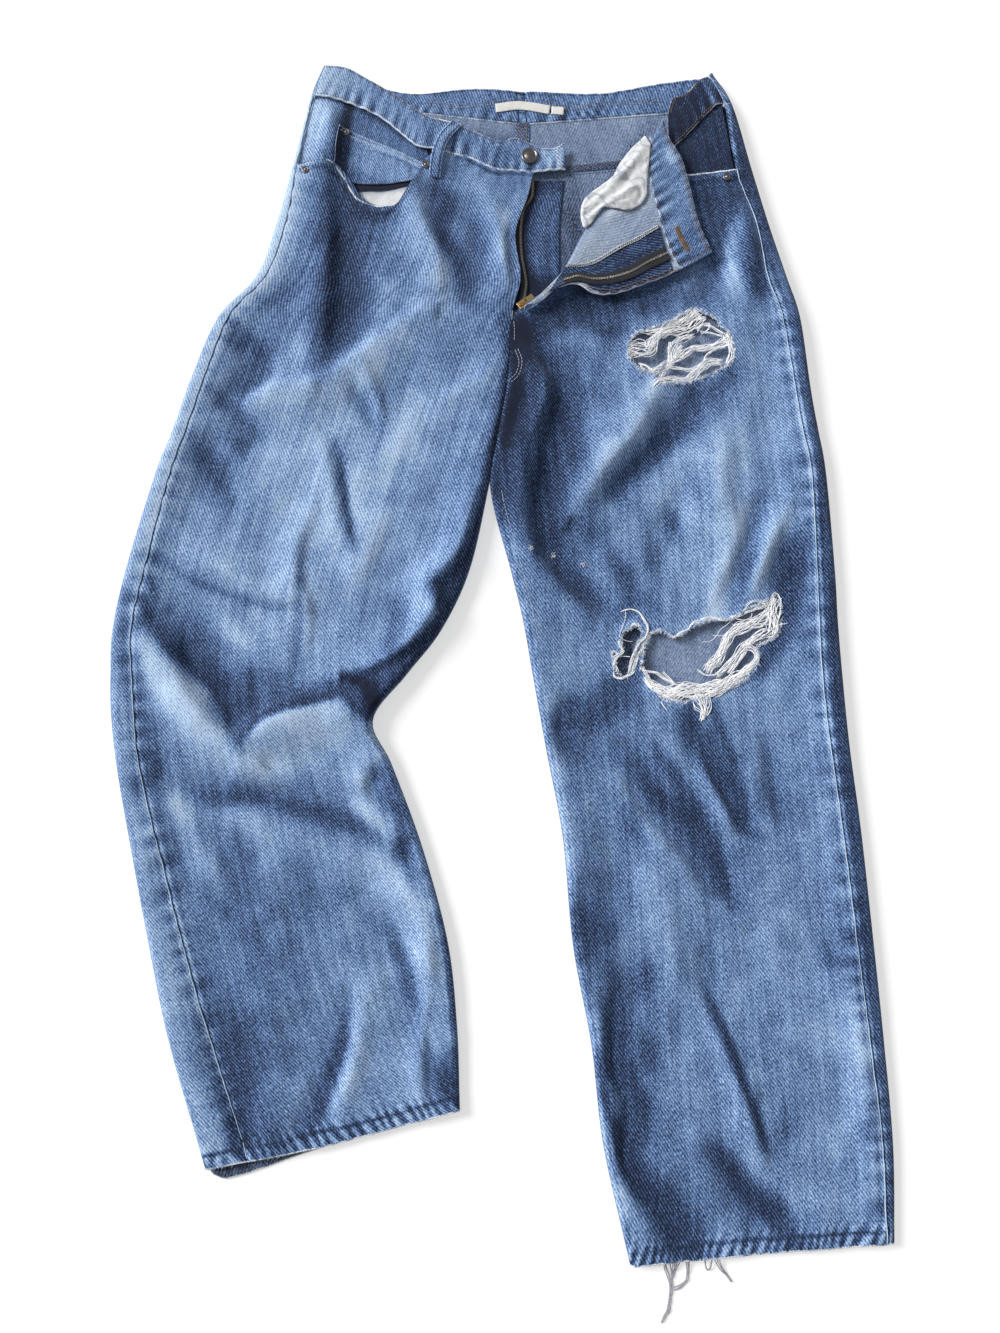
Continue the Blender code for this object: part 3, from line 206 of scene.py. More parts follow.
LEFT_FOLDS = folds(
    ("inseam ridge", 11, 7, 0.4, 0.2, (43, 273), (55, 246), (55, 221), (40, 180), (34, 142), (31, 110),
     (42, 72)),
    ("inseam hollow", 20, -3, 0, -0.3, (71, 238), (66, 182), (58, 122), (58, 87)),
    ("thigh ridge", 23, 9, 0.5, 0.2, (163, 239), (140, 190), (108, 150), (86, 114)),
    ("thigh trough", 14, -3, 0, -0.25, (197, 232), (174, 186), (137, 152), (112, 120)),
    ("ridge foot", 9, -4, 0, -0.2, (88, 110), (89, 90), (99, 66)),
    ("thigh swell", 19, 4.5, 0.35, 0.2, (227, 198), (224, 122), (237, 77), (221, 38)),
    ("side crease", 9, -4.5, 0, -0.25, (264, 122), (245, 74), (227, 33)),
    ("side ridge", 12, 4, 0.4, 0.12, (289, 126), (264, 74), (245, 26)),
    ("side hollow", 11, -3, 0, -0.25, (286, 74), (275, 32)),
    ("front trough", 10, -3, 0, -0.15, (190, 134), (172, 92), (167, 61)),
    ("knee ridge", 14, 5, 0.5, 0.15, (42, 69), (71, 35), (106, 3)),
    ("knee hollow", 12, -3, 0, -0.25, (62, 74), (88, 35), (117, 12)),
    ("below knee dark", 12, -3, 0, -0.15, (81, -118), (122, -129), (147, -135)),
    ("edge hollow", 11, -4, 0, -0.25, (73, -74), (65, -103), (80, -124)),
    ("long trough", 13, -5.5, 0, -0.25, (136, -118), (150, -160), (185, -198), (210, -238)),
    ("long ridge", 14, 3, 0.3, 0.1, (114, -130), (133, -173), (170, -212), (190, -250)),
    ("middle trough", 8, -4.5, 0, -0.25, (206, -106), (214, -139), (229, -164), (235, -190)),
    ("middle ridge", 8, 2.5, 0.3, 0.1, (195, -108), (201, -142), (216, -171), (223, -196)),
    ("side trough", 9, -3, 0, -0.15, (259, -109), (261, -153), (270, -174)),
    ("upper trough", 9, -3, 0, -0.15, (184, -106), (195, -140)),
    ("calf edge", 13, -3, 0, -0.2, (77, -241), (90, -289)),
    ("calf light", 18, 3, 0.2, 0.1, (151, -211), (161, -284), (163, -335)),
    ("calf nick", 8, -3, 0, -0.15, (196, -291), (199, -329)),
    ("shin trough", 11, -6, 0, -0.25, (125, -323), (115, -364), (110, -388), (124, -411), (131, -435),
     (133, -455)),
    ("shin edge ridge", 9, 4, 0.3, 0.15, (103, -360), (101, -390), (109, -424), (112, -450)),
    ("ankle trough", 12, -5, 0, -0.25, (117, -440), (125, -467), (143, -491), (168, -507), (182, -527)),
    ("ankle nip", 7, -3.5, 0, -0.2, (160, -497), (163, -527)),
    ("shin crease", 9, 4, 0.7, 0.12, (198, -345), (214, -382), (222, -413), (231, -439), (239, -461)),
    ("shin nick", 6, 2.5, 0.5, 0, (228, -396), (234, -419)),
    ("ankle valley", 9, -4, 0, -0.2, (197, -452), (211, -479), (223, -507), (228, -521)),
    ("ankle valley side", 10, -4, 0, -0.22, (217, -469), (239, -493), (258, -519)),
    ("ankle ridge", 7, 2.5, 0.2, 0.12, (207, -458), (226, -491), (242, -518)),
    ("seam light", 10, 3, 0.3, 0.3, (321, -323), (326, -377), (329, -418), (332, -482)),
    ("hip ridge", 12, 4.5, 0.4, 0.15, (247, 438), (260, 403), (263, 352)),
    ("hip trough", 12, -4, 0, -0.2, (240, 374), (215, 342), (204, 314)),
    ("hip light", 22, 3, 0.2, 0.1, (255, 339), (250, 286), (257, 223)),
    ("flap shadow hollow", 14, -2, 0, -0.15, (57, 309), (91, 316), (131, 318)),
    ("crotch hollow", 10, -3, 0, -0.2, (52, 273), (67, 252)),
)

# %% [markdown]
# ## Sharp creases, painted shade and painted highlights
# Beside the large folds lie narrow ones. Their rows are mostly painted shade, on a flank that faces
# away from the light, in a hollow or under an edge, and painted highlight on a flank that faces the
# light, with some worn indigo among them. They have little height, so they draw the crease without
# changing the panel's form.

# %% Shades of both legs
def shades(*rows):
    """Folds without a lean, from rows of name, width, height, tone and path, in millimetres."""
    return folds(*((name, width, height, 0.0, tone, *path) for name, width, height, tone, *path in rows))


# painted shade and painted highlights along the right leg's creases, with some worn indigo
RIGHT_SHADING_AND_WEAR = shades(
    ("pocket drop shade", 22, -1, -0.75, (-152, 455), (-149, 405), (-146, 356), (-151, 302), (-160, 257)),
    ("pocket corner shade", 10, -1, -0.6, (-52, 449), (-49, 421), (-40, 394), (-27, 363), (-23, 329)),
    ("fly side light", 10, 0, 0.03, (15, 421), (5, 383), (4, 350), (10, 323)),
    ("pocket side light", 10, 0, 0.23, (-41, 370), (-43, 345), (-39, 323)),
    ("hip edge light", 16, 0, 0.5, (-209, 374), (-233, 339), (-258, 309)),
    ("thigh nip light", 9, 0, 0.4, (-107, 276), (-110, 252), (-122, 239)),
    ("thigh line light", 8, 0, 0.3, (-125, 157), (-127, 125), (-119, 97)),
    ("below the slider", 12, 0, -0.9, (20, 305), (29, 295), (32, 281)),
    ("mound side shade", 10, 0, -0.35, (-81, 19), (-83, -7), (-94, -33)),
    ("calf top shade", 8, 0, -0.45, (-89, -162), (-76, -175), (-70, -193)),
    ("side puckers high", 10, -0.6, -0.25, (-241, 291), (-226, 276), (-231, 252), (-245, 234)),
    ("side puckers middle", 9, -0.6, -0.25, (-257, 223), (-239, 208), (-227, 192), (-233, 172),
     (-245, 162)),
    ("side puckers low", 9, 0, -0.17, (-286, 182), (-265, 152), (-250, 132), (-246, 112)),
    ("thigh nip shade", 5, -0.6, -0.23, (-127, 260), (-112, 239), (-101, 213), (-101, 192)),
    ("thigh line shade", 7, -0.6, -0.25, (-151, 182), (-143, 147), (-136, 102), (-127, 72)),
    ("thigh light", 12, 0.6, 0.4, (-100, 147), (-90, 170), (-76, 203), (-67, 223)),
    ("inner light", 9, 0.6, 0.15, (-128, 33), (-108, 72), (-90, 102)),
    ("centre crease", 4, -0.8, -0.35, (-170, 102), (-177, 63), (-174, 24), (-177, -24), (-180, -61)),
    ("cross crease", 5, -1, -0.25, (-318, 69), (-279, 45), (-240, 29), (-198, 17), (-165, 21)),
    ("knee shade", 13, -1.3, -0.55, (-324, 28), (-301, -12), (-273, -37), (-243, -67), (-228, -91),
     (-225, -109)),
    ("knee shade inner", 11, 0, -0.2, (-215, -24), (-195, -47), (-181, -71)),
    ("knee ridge light", 13, 0.6, 0.38, (-327, 9), (-315, -19), (-302, -47), (-282, -71), (-257, -97)),
    ("mound foot shade", 11, -0.6, -0.65, (-217, -74), (-199, -73), (-171, -70), (-139, -62),
     (-111, -73)),
    ("below mound light", 13, 0, 0.3, (-231, -128), (-210, -130), (-169, -128)),
    ("inner edge shade", 8, 0, -0.9, (25, 276), (19, 223), (9, 172), (-1, 122), (-12, 77), (-31, 32),
     (-40, -5), (-71, -38), (-102, -71)),
    ("inner notch", 8, -0.6, -0.45, (-51, 43), (-44, 24), (-32, 19)),
    ("tuck shade", 13, -1.3, -0.95, (-115, -56), (-100, -65), (-107, -82)),
    ("outer knee rim", 10, -0.6, -0.45, (-338, 29), (-333, -14), (-327, -57), (-316, -87)),
    ("outer thigh light", 13, 0, 0.25, (-256, 313), (-284, 228), (-308, 142), (-319, 92)),
    ("hip strip light", 14, 0, 0.62, (-192, 529), (-198, 460), (-204, 405), (-224, 356), (-245, 334)),
    ("calf top trough", 9, -1.3, -0.3, (-268, -155), (-241, -159), (-205, -159), (-168, -169),
     (-123, -182), (-79, -205)),
    ("outseam crease", 10, -0.6, -0.23, (-296, -103), (-301, -135), (-323, -148)),
    ("outer calf light", 12, 1, 0.3, (-286, -153), (-271, -189), (-251, -215), (-241, -246)),
    ("calf cross light", 16, 1, 0.2, (-244, -175), (-194, -189), (-140, -206), (-95, -224), (-58, -259),
     (-47, -293)),
    ("dimple shade", 7, -1.3, -0.3, (-93, -133), (-86, -148), (-83, -162)),
    ("dimple side light", 9, 0, 0.35, (-124, -135), (-112, -147), (-103, -162)),
    ("dimple light", 7, 0.6, 0.2, (-123, -162), (-91, -189), (-79, -206)),
    ("low dimple shade", 8, -1.3, -0.4, (-77, -189), (-72, -215), (-60, -241)),
    ("inner calf edge", 5, 0, -0.5, (-90, -112), (-70, -153), (-50, -215), (-36, -267), (-29, -318),
     (-25, -369), (-24, -418)),
    ("calf shade", 18, 0, -0.15, (-229, -206), (-215, -233), (-219, -267), (-199, -301)),
    ("shin turn shade", 8, -1.3, -0.25, (-107, -267), (-80, -293), (-65, -327), (-57, -369), (-48, -410)),
    ("shin edge shade", 10, 0, -0.5, (-34, -385), (-34, -405), (-34, -423)),
    ("shin crease shade", 8, -1.6, -0.42, (-122, -352), (-130, -385), (-142, -418), (-154, -442)),
    ("shin crease light", 10, 1.3, 0.17, (-114, -352), (-119, -393), (-126, -426)),
    ("side trough shade", 19, -1.3, -0.38, (-235, -344), (-222, -373), (-210, -405), (-204, -442)),
    ("outer shin light", 12, 0, 0.12, (-302, -241), (-287, -301), (-271, -360), (-258, -397),
     (-245, -434)),
    ("fork line", 7, 0, -1.1, (24, 286), (26, 244), (22, 213), (16, 182), (11, 152)),
    ("pocket mouth band", 9, 0, -0.75, (-142, 447), (-137, 435), (-126, 425), (-110, 420), (-96, 423)),
    ("pocket mouth band end", 8, 0, -0.65, (-52, 454), (-44, 438), (-38, 423)),
    ("hip front light", 11, 0, 0.23, (-98, 355), (-99, 337), (-102, 324)),
    ("pocket corner light", 9, 0, 0.2, (-34, 376), (-37, 363), (-38, 350)),
    ("thigh top light", 12, 0, 0.3, (-178, 291), (-184, 278), (-189, 263)),
    ("puckers dark spot", 9, 0, -0.4, (-246, 186), (-240, 178), (-235, 170)),
    ("knee crest light", 9, 0, 0.4, (-243, -1), (-231, -12), (-220, -20)),
    ("knee side light", 9, 0, 0.4, (-268, -52), (-260, -61), (-252, -71)),
    ("knee dimple shade", 10, 0, -0.55, (-225, -41), (-217, -53), (-214, -65)),
    ("tuck foot shade", 9, 0, -0.55, (-111, -71), (-101, -76), (-92, -74)),
    ("calf rim light", 9, 0, 0.4, (-288, -151), (-280, -164), (-272, -176)),
    ("hem side shade", 11, 0, -0.5, (-221, -432), (-211, -445), (-204, -456)),
    ("hem trough shade", 10, 0, -0.55, (-186, -435), (-180, -450), (-175, -459)),
    ("outer side light", 10, 0, 0.35, (-183, 506), (-185, 485), (-178, 463)),
    ("tuck line", 4, -0.6, -0.9, (-132, -46), (-128, -61), (-122, -74), (-109, -87)),
    ("tuck fold line", 4, -0.6, -0.65, (-132, -48), (-106, -45), (-78, -31), (-53, -9), (-32, 20)),
    ("mound line", 5, -0.6, -0.65, (-225, -113), (-216, -97), (-200, -84), (-171, -76), (-141, -67),
     (-132, -56)),
    ("mound rim light", 5, 0.3, 0.35, (-216, -112), (-205, -97), (-180, -85), (-144, -76)),
    ("thigh crease line", 4, -0.6, -0.4, (-146, 182), (-138, 147), (-131, 102), (-124, 72)),
    ("knee crease line", 5, -0.6, -0.45, (-322, 24), (-298, -16), (-270, -41), (-243, -71), (-229, -106)),
)
# painted shade and painted highlights along the left leg's creases, with some worn indigo
LEFT_SHADING_AND_WEAR = shades(
    ("flap shade", 15, 0, -0.9, (28, 297), (52, 303), (82, 320), (116, 327), (156, 327), (181, 337)),
    ("ridge left shade", 16, -0.6, -1.2, (38, 278), (40, 250), (35, 221), (28, 190), (20, 157), (15, 130),
     (20, 107)),
    ("ridge right shade", 19, -1.3, -0.5, (63, 265), (73, 223), (63, 172), (55, 122), (62, 72), (83, 33),
     (97, 14)),
    ("ridge light", 5, 0.6, 0.25, (57, 252), (53, 223), (48, 192), (42, 160), (36, 122), (37, 82)),
    ("thigh shade", 15, -0.6, -0.38, (233, 246), (207, 221), (176, 187), (153, 158), (127, 130)),
    ("thigh edge light", 13, 0, 0.2, (168, 223), (133, 182), (103, 147), (84, 112), (88, 82)),
    ("ridge foot shade", 9, 0, -0.25, (98, 122), (100, 92), (112, 72)),
    ("front trough shade", 8, -0.6, -0.25, (146, 122), (154, 82), (158, 43), (151, 14)),
    ("side crease shade", 7, -0.6, -0.4, (259, 82), (243, 48), (235, 19)),
    ("side crease deep", 11, -0.6, -0.45, (297, 92), (288, 53), (282, 14)),
    ("side crease light", 9, 0.6, 0.2, (290, 112), (269, 74), (255, 38)),
    ("below knee shade", 18, -0.6, -0.6, (77, -98), (100, -84), (120, -65), (134, -48)),
    ("knee side shade", 10, -0.6, -0.5, (239, -54), (253, -41), (269, -19), (282, 7)),
    ("knee top shade", 10, -0.6, -0.5, (124, 63), (134, 35), (132, 12)),
    ("knee top light", 10, 0.6, 0.4, (227, 67), (220, 38), (209, -3)),
    ("calf left shade", 10, -0.6, -0.4, (123, -162), (131, -182), (142, -206)),
    ("mouth corner shade", 12, 0, -0.8, (254, 469), (247, 446), (241, 421)),
    ("band shadow", 12, 0, -0.95, (216, 474), (221, 440), (224, 410), (229, 377)),
    ("side seam shade", 11, 0, -0.65, (260, 399), (263, 370), (266, 323)),
    ("hip ridge light", 8, 0.6, 0.45, (241, 399), (242, 370), (245, 339)),
    ("long trough shade", 11, -0.6, -0.4, (124, -112), (148, -148), (184, -180), (199, -206), (210, -237),
     (221, -254)),
    ("middle trough shade", 7, -0.6, -0.42, (205, -98), (211, -130), (225, -153), (232, -184)),
    ("upper nick", 5, 0, -0.25, (185, -89), (187, -118)),
    ("side nick", 5, 0, -0.15, (255, -108), (259, -153), (264, -189)),
    ("inner calf shade", 19, 0, -0.25, (102, -224), (96, -284), (109, -335)),
    ("shin trough shade", 10, -1.3, -0.5, (118, -314), (113, -352), (118, -385), (133, -418),
     (137, -450)),
    ("ankle trough shade", 12, -1.3, -0.5, (113, -442), (121, -470), (139, -491), (158, -511),
     (166, -536)),
    ("ankle edge light", 9, 0, 0.35, (101, -410), (106, -450), (116, -490), (129, -517)),
    ("shin crease shade", 5, -0.6, -0.38, (192, -335), (208, -369), (221, -401), (231, -430),
     (241, -458)),
    ("ankle valley shade", 8, -1.3, -0.38, (196, -458), (216, -482), (236, -501), (257, -515)),
    ("side edge shade", 9, 0, -0.42, (299, 329), (308, 276), (317, 203), (319, 122), (320, 24),
     (323, -71), (327, -162), (331, -250), (334, -335), (339, -418), (342, -497)),
    ("hip side shade", 11, 0, -0.5, (254, 529), (261, 460), (271, 394), (275, 339)),
    ("calf shade", 10, 0, -0.15, (195, -250), (195, -301)),
    ("side calf light", 22, 0, 0.1, (245, -206), (260, -267), (267, -318)),
    ("inner calf rim light", 8, 0, 0.3, (57, -71), (63, -126), (69, -189), (75, -250)),
    ("long side shade", 10, 0, -0.4, (329, -414), (328, -432), (326, -454)),
    ("ankle valley light", 9, 0, 0.4, (224, -458), (231, -477), (239, -490)),
    ("calf inner shade", 10, 0, -0.4, (138, -364), (142, -383), (146, -401)),
    ("inseam valley shade", 11, 0, -0.3, (82, 192), (89, 156), (94, 127)),
    ("thigh swell shade", 13, 0, -0.3, (204, 157), (208, 126), (202, 97)),
    ("hole side shade", 11, 0, -0.3, (235, 270), (235, 249), (222, 232)),
    ("side crease bright", 9, 0, 0.15, (265, 63), (256, 49), (249, 33)),
    ("under the flap", 10, 0, -0.6, (107, 301), (119, 297), (133, 299)),
    ("thigh bright", 9, 0, 0.4, (168, 244), (158, 232), (148, 221)),
    ("hole foot shade", 9, 0, -0.45, (204, 246), (201, 234), (195, 223)),
    ("front dent shade", 10, 0, -0.4, (169, 114), (175, 102), (177, 88)),
    ("side patch light", 9, 0, 0.4, (245, 110), (241, 97), (236, 84)),
    ("side dent shade", 10, 0, -0.45, (304, 82), (293, 57), (282, 24), (276, 3)),
    ("knee bright", 9, 0, 0.45, (214, 10), (208, -3), (202, -14)),
    ("knee foot shade", 9, 0, -0.45, (191, -73), (187, -89), (184, -106)),
    ("calf side shade", 9, 0, -0.45, (302, -284), (305, -300), (306, -313)),
    ("calf dent shade", 10, 0, -0.45, (141, -303), (140, -318), (137, -330)),
    ("ankle rim shade", 8, 0, -0.4, (101, -406), (103, -418), (104, -429)),
    ("outer ankle shade", 9, 0, -0.4, (340, -478), (341, -491), (341, -521)),
    ("hem trough shade", 13, 0, -0.65, (154, -522), (167, -532), (182, -541)),
    ("hem side shade", 10, 0, -0.45, (249, -527), (261, -534), (269, -538)),
    ("ankle crease line", 5, -0.6, -0.65, (97, -377), (102, -410), (111, -442), (121, -470), (135, -490),
     (148, -505), (157, -525)),
    ("middle crease line", 4, -0.6, -0.5, (192, -323), (201, -344), (212, -373), (220, -397), (229, -418),
     (235, -442), (241, -458)),
    ("ankle valley line", 5, -0.6, -0.45, (197, -458), (212, -482), (232, -505), (252, -525)),
    ("long trough line", 7, -0.6, -0.5, (154, -112), (184, -162), (202, -206), (221, -254)),
    ("knee side line", 5, -0.6, -0.5, (187, -71), (195, -112), (213, -153), (233, -187), (250, -196)),
    ("upper calf line", 5, -0.6, -0.45, (207, -71), (216, -98), (229, -139), (236, -175)),
)

RIGHT_FOLDS += RIGHT_SHADING_AND_WEAR
LEFT_FOLDS += LEFT_SHADING_AND_WEAR
print("folds:", len(RIGHT_FOLDS), "right,", len(LEFT_FOLDS), "left")

# %% [markdown]
# ## Fades
# Indigo wears away where the cloth rubs. Whiskers apart, a pair keeps wide pale areas on the
# thighs and knees and stays dark at the sides, under the pockets and in the hollows. Each area is
# a soft ellipse with a tone, added to the tone of the folds.

# %% Worn and dark areas
Fade = namedtuple("Fade", "name x y across along tone")


def fades(*rows):
    """Fades from rows of name, x, y, across, along and tone, with lengths in millimetres."""
    return [Fade(name, *(size / 1000.0 for size in sizes), tone) for name, *sizes, tone in rows]


RIGHT_FADES = fades(
    ("pocket side", -195, 440, 45, 60, -0.1),
    ("hip", -190, 330, 70, 70, -0.16),
    ("whole thigh", -170, 80, 150, 200, 0.12),
    ("hip centre", -75, 350, 80, 70, -0.05),
    ("fly side", 0, 330, 40, 80, -0.08),
    ("thigh", -165, 150, 85, 85, 0.3),
    ("outer thigh", -280, 120, 40, 110, -0.1),
    ("inner thigh", -50, 170, 55, 100, 0.02),
    ("knee", -215, 0, 85, 75, 0.2),
    ("inner knee", -85, 35, 40, 60, -0.14),
    ("knee mound", -160, -90, 60, 35, 0.42),
    ("outer knee", -320, -60, 30, 80, -0.1),
    ("calf", -190, -200, 90, 60, -0.02),
    ("inner calf", -80, -260, 35, 100, 0.22),
    ("outer calf", -290, -220, 35, 100, -0.12),
    ("shin", -200, -350, 70, 70, -0.24),
    ("inner shin", -60, -320, 40, 90, 0.12),
)
LEFT_FADES = fades(
    ("hip", 220, 400, 50, 60, -0.12),
    ("thigh top", 120, 235, 50, 50, -0.2),
    ("side thigh", 270, 220, 50, 100, 0.05),
    ("thigh", 190, 130, 65, 75, 0.34),
    ("inner thigh", 60, 140, 35, 90, -0.22),
    ("above knee", 110, 60, 45, 45, -0.06),
    ("side knee", 285, -20, 35, 110, -0.04),
    ("knee", 185, -60, 70, 50, 0.02),
    ("calf", 200, -200, 85, 90, -0.1),
    ("inner calf", 90, -200, 35, 90, -0.1),
    ("shin", 180, -330, 70, 70, -0.02),
    ("side shin", 300, -380, 35, 110, 0.1),
    ("ankle", 190, -470, 80, 50, -0.2),
)

# %% [markdown]
# ## Curves and noise
# Three small tools do most of the work: a smooth curve through a few points, the distance from a
# point to such a curve, and a smooth noise that is the same on every run because its table is
# seeded.


# %% Curve and noise helpers
def smoothstep(t):
    t = np.clip(t, 0.0, 1.0)
    return t * t * (3.0 - 2.0 * t)


def bell(far, width):
    """1 where far is 0, 0.37 at the distance width, and then quickly down to 0."""
    return np.exp(-((far / width) ** 2))


def spline(points, knots, at):
    """Points of a smooth curve through points, which lie at the rising values knots."""
    points = np.asarray(points, float)
    at = np.asarray(at, float)
    ends = [2.0 * points[0] - points[1], *points, 2.0 * points[-1] - points[-2]]
    ends = np.array(ends)
    i = np.clip(np.searchsorted(knots, at, side="right") - 1, 0, len(points) - 2)
    t = ((at - knots[i]) / (knots[i + 1] - knots[i]))[..., None]
    before, start, end, after = ends[i], ends[i + 1], ends[i + 2], ends[i + 3]
    bend = 2.0 * before - 5.0 * start + 4.0 * end - after
    return start + 0.5 * t * (end - before + t * (bend + t * (3.0 * (start - end) + after - before)))


def along(points, at):
    """Points at the fractions at of the length of a smooth curve through points."""
    points = np.asarray(points, float)
    steps = np.linalg.norm(np.diff(points, axis=0), axis=1)
    knots = np.concatenate([[0.0], np.cumsum(steps)]) / steps.sum()
    return spline(points, knots, at)


def length_of(path):
    return float(np.linalg.norm(np.diff(np.asarray(path), axis=0), axis=1).sum())


def even(path, spacing):
    """The broken line path, with points at an even spacing."""
    path = np.asarray(path, float)
    steps = np.linalg.norm(np.diff(path, axis=0), axis=1)
    run = np.concatenate([[0.0], np.cumsum(steps)])
    at = np.linspace(0.0, run[-1], max(2, round(run[-1] / spacing) + 1))
    return np.column_stack([np.interp(at, run, path[:, k]) for k in range(path.shape[1])])


def sideways(line):
    """Unit vectors to the left of a line's direction of travel, one at each of its points."""
    left = np.gradient(line, axis=0)[:, ::-1] * (-1.0, 1.0)
    return left / np.linalg.norm(left, axis=1)[:, None]


def smooth(points, spacing=0.004):
    """An evenly spaced smooth line through a few points."""
    fine = along(points, np.linspace(0.0, 1.0, 40 * len(points)))
    return even(fine, spacing)


def distance_to(path, x, y):
    """Distance from the points (x, y) to a broken line, how far along it from 0 to 1, and which
    side they are on: 1 on the left of the direction of travel, -1 on the right."""
    path = np.asarray(path, float)
    best = np.full(np.shape(x), np.inf)
    place, side = np.zeros(np.shape(x)), np.ones(np.shape(x))
    for k, (a, b) in enumerate(zip(path[:-1], path[1:])):
        step = b - a
        t = ((x - a[0]) * step[0] + (y - a[1]) * step[1]) / (step @ step)
        t = np.clip(t, 0.0, 1.0)
        dx, dy = x - a[0] - t * step[0], y - a[1] - t * step[1]
        far = np.hypot(dx, dy)
        nearer = far < best
        place = np.where(nearer, (k + t) / (len(path) - 1), place)
        side = np.where(nearer, np.where(step[0] * dy - step[1] * dx > 0.0, 1.0, -1.0), side)
        best = np.minimum(best, far)
    return best, place, side


NOISE_CELLS = 64


def patchy(x, y, size, seed):
    """Smooth noise from about -1 to 1, whose patches are about size across."""
    table = np.random.default_rng(seed).uniform(-1.0, 1.0, (NOISE_CELLS, NOISE_CELLS))
    x, y = np.asarray(x, float), np.asarray(y, float)
    across, down = (0.8 * x + 0.6 * y) / size + 31.7, (0.8 * y - 0.6 * x) / size + 17.3
    i, j = np.floor(across).astype(int), np.floor(down).astype(int)
    s, t = smoothstep(across - i), smoothstep(down - j)
    near, far = i % NOISE_CELLS, (i + 1) % NOISE_CELLS
    low, high = j % NOISE_CELLS, (j + 1) % NOISE_CELLS
    first = table[near, low] * (1.0 - s) + table[far, low] * s
    second = table[near, high] * (1.0 - s) + table[far, high] * s
    return first * (1.0 - t) + second * t


# %% [markdown]
# ## Seams
# A sewn and washed seam is never flat. The thread shrinks, so the cloth beside it stands in small
# puckers whose tops fade to pale blue and whose hollows stay dark. A seam is described by its line,
# how far apart its puckers are, how far they reach and how strong they are. The same description
# gives the height and the tone.


# %% Puckered seams
Seam = namedtuple("Seam", "path pitch reach height tone groove rope slant", defaults=(0.0,))
# pitch: from pucker to pucker. reach: how far they run from the line. height, tone: how strong.
# groove: depth of the line itself. rope: how pale the ridge beside it is. slant: 1 runs diagonally.


def pucker(seam, x, y):
    """(height, tone) that a seam adds at the points (x, y)."""
    far, place, side = distance_to(seam.path, x, y)
    run = place * length_of(seam.path)
    phase = run / seam.pitch + seam.slant * side * far / seam.pitch
    drift = 0.9 * patchy(run, 0.0 * run, 2.6 * seam.pitch, 71)
    wave = np.sin(2.0 * math.pi * (phase + drift))
    strong = 0.65 + 0.55 * patchy(run, 0.0 * run + 3.0 * side, 1.7 * seam.pitch, 72)
    fade = bell(far, seam.reach) * strong
    valley = bell(far, 0.0009)
    ridge = bell(far - 0.0024, 0.0013)
    height = seam.height * wave * fade - seam.groove * valley
    tone = seam.tone * (wave - 0.25) * fade - 0.9 * seam.rope * valley + seam.rope * ridge
    inside = far < 4.0 * seam.reach
    return np.where(inside, height, 0.0), np.where(inside, tone, 0.0)


# %% [markdown]
# ## One half of the garment
# The class reads a half's table. It gives the height and the tone of the front over any spot of
# the ground, and grids of points for the front and back panels. All the pieces ask the same
# surface, so a pocket, a waistband or a row of stitches follows every fold beneath it.


# %% The height and tone of a half
def lift(y):
    """How high the underside lies: the seat rests on the back pockets."""
    return LIFT * smoothstep((y - 0.205) / 0.045)


FOLD_HEIGHT, FOLD_TONE = 1.55, 1.75  # how strongly the tables of folds are applied


